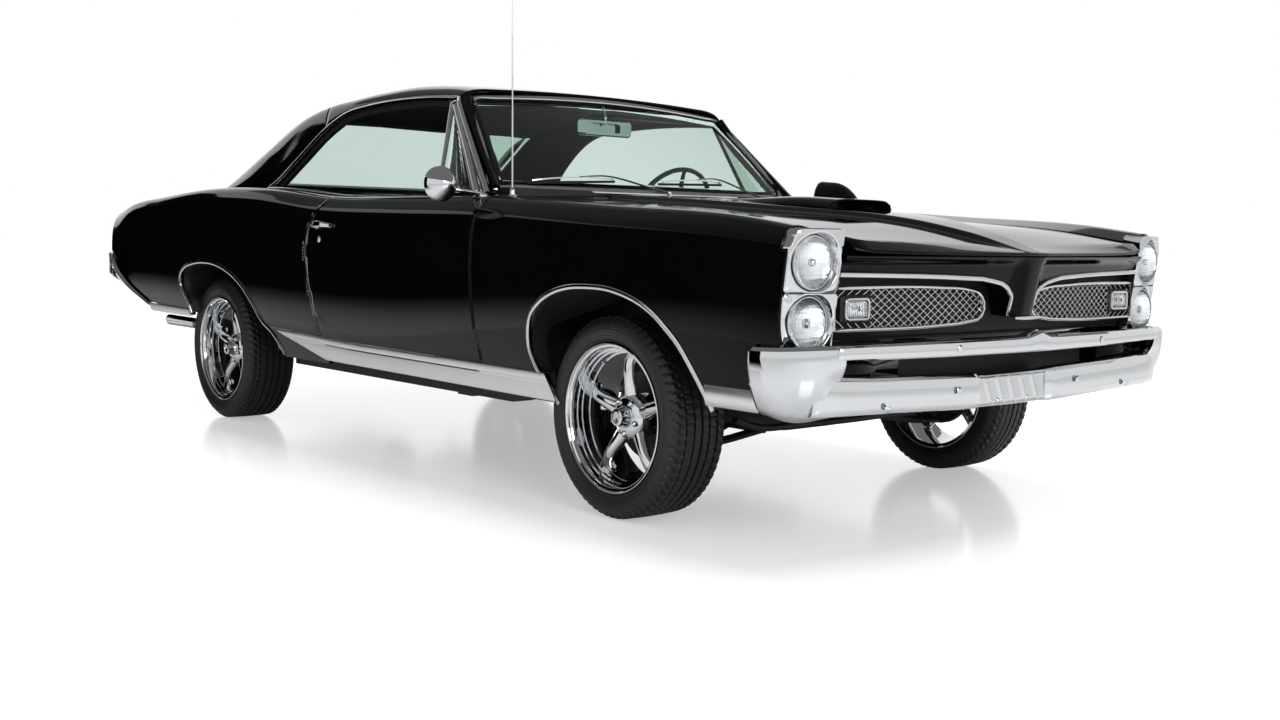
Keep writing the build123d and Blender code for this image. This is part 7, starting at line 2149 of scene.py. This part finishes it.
turned("crank_pulley", engine_paint, [(1.800, .0005), (1.800, .082), (1.806, .086),
                                      (1.812, .074), (1.818, .086), (1.824, .082),
                                      (1.826, .030), (1.840, .028), (1.842, .0005)], (0, 0, .470))
turned("water_pump_pulley", engine_paint, [(1.800, .0005), (1.800, .070),
                                           (1.806, .074), (1.812, .062),
                                           (1.818, .074), (1.824, .070), (1.826, .030), (1.870, .028), (1.872, .0005)],
       (0, 0, .620))
turned("generator_case", cast_iron, [(1.640, .0005), (1.640, .048), (1.655, .056),
                                     (1.770, .056), (1.785, .048), (1.790, .020),
                                     (1.800, .018), (1.800, .034), (1.806, .038),
                                     (1.812, .028), (1.818, .038), (1.824, .034), (1.830, .0005)], (0, -.205, .735))
PULLEYS = ((0, .470, .077), (0, .620, .065), (-.205, .735, .031))
belt = []
for (y, z, r), (start, stop) in zip(PULLEYS, ((-175, 8), (8, 65), (65, 205))):
    belt += [Vector((1.812, y + r * math.cos(math.radians(a)), z + r * math.sin(math.radians(a))))
             for a in np.linspace(start, stop, 10)]
fit(sweep("fan_belt", belt, [(-.005, -.004), (.005, -.004), (.004, .004), (-.004, .004)],
          black_rubber, (1, 0, 0), closed=True), "body", "cabin_black")
for n in range(5):
    turn = 2 * math.pi * n / 5
    rows = []
    for r in np.linspace(.035, .205, 8):
        width = .030 + .030 * (r - .035) / .17
        rows.append([Vector((1.885 + w * width * .55, r * math.cos(turn) - w * width * math.sin(turn),
                             .620 + r * math.sin(turn) + w * width * math.cos(turn))) for w in np.linspace(-1, 1, 6)])
    fit(shell(f"fan_blade_{n}", rows, .002, chassis_black, facing=(1, 0, 0)), "body", "engine_iron")
turned("gearbox", cast_iron, [(.500, .0005), (.500, .048), (.640, .052),
                              (.650, .078), (.940, .086), (.950, .090),
                              (1.060, .150), (1.115, .168), (1.130, .170), (1.130, .0005)], (0, 0, .470))
pipe("upper_radiator_hose", black_rubber, [(1.70, .040, .715), (1.78, .060, .765),
                                           (1.98, .150, .790), (2.14, .220, .780), (2.225, .240, .760)], .0215)
pipe("lower_radiator_hose", black_rubber, [(1.80, .080, .520), (1.92, .180, .500),
                                           (2.10, .300, .510), (2.225, .330, .520)], .0215)
casting("battery_case", mouth_black, [(1.960, .078, .088, .006), (1.965, .082, .092, .006),
                                      (2.150, .082, .092, .006), (2.155, .078, .088, .006)],
        (-.545, .690), slot="cabin_black")
for n, x in enumerate((1.995, 2.120)):
    turned(f"battery_post_{n}", cast_iron, [(.778, .0005), (.778, .012), (.800, .010), (.802, .0005)],
           (x, -.510, 0), "z", count=16)
    pipe(f"battery_cable_{n}", black_rubber,
         [(x, -.510, .796), (x - .03, -.470, .812), (x - .16 + .1 * n, -.400, .740), (1.74, -.250, .560)], .0065)
casting("brake_master_cylinder", cast_iron,
        [(1.030, .052, .052, .05), (1.045, .052, .052, .05), (1.050, .036, .034, .012),
         (1.180, .036, .034, .012), (1.185, .030, .028, .012)], (.370, .800))
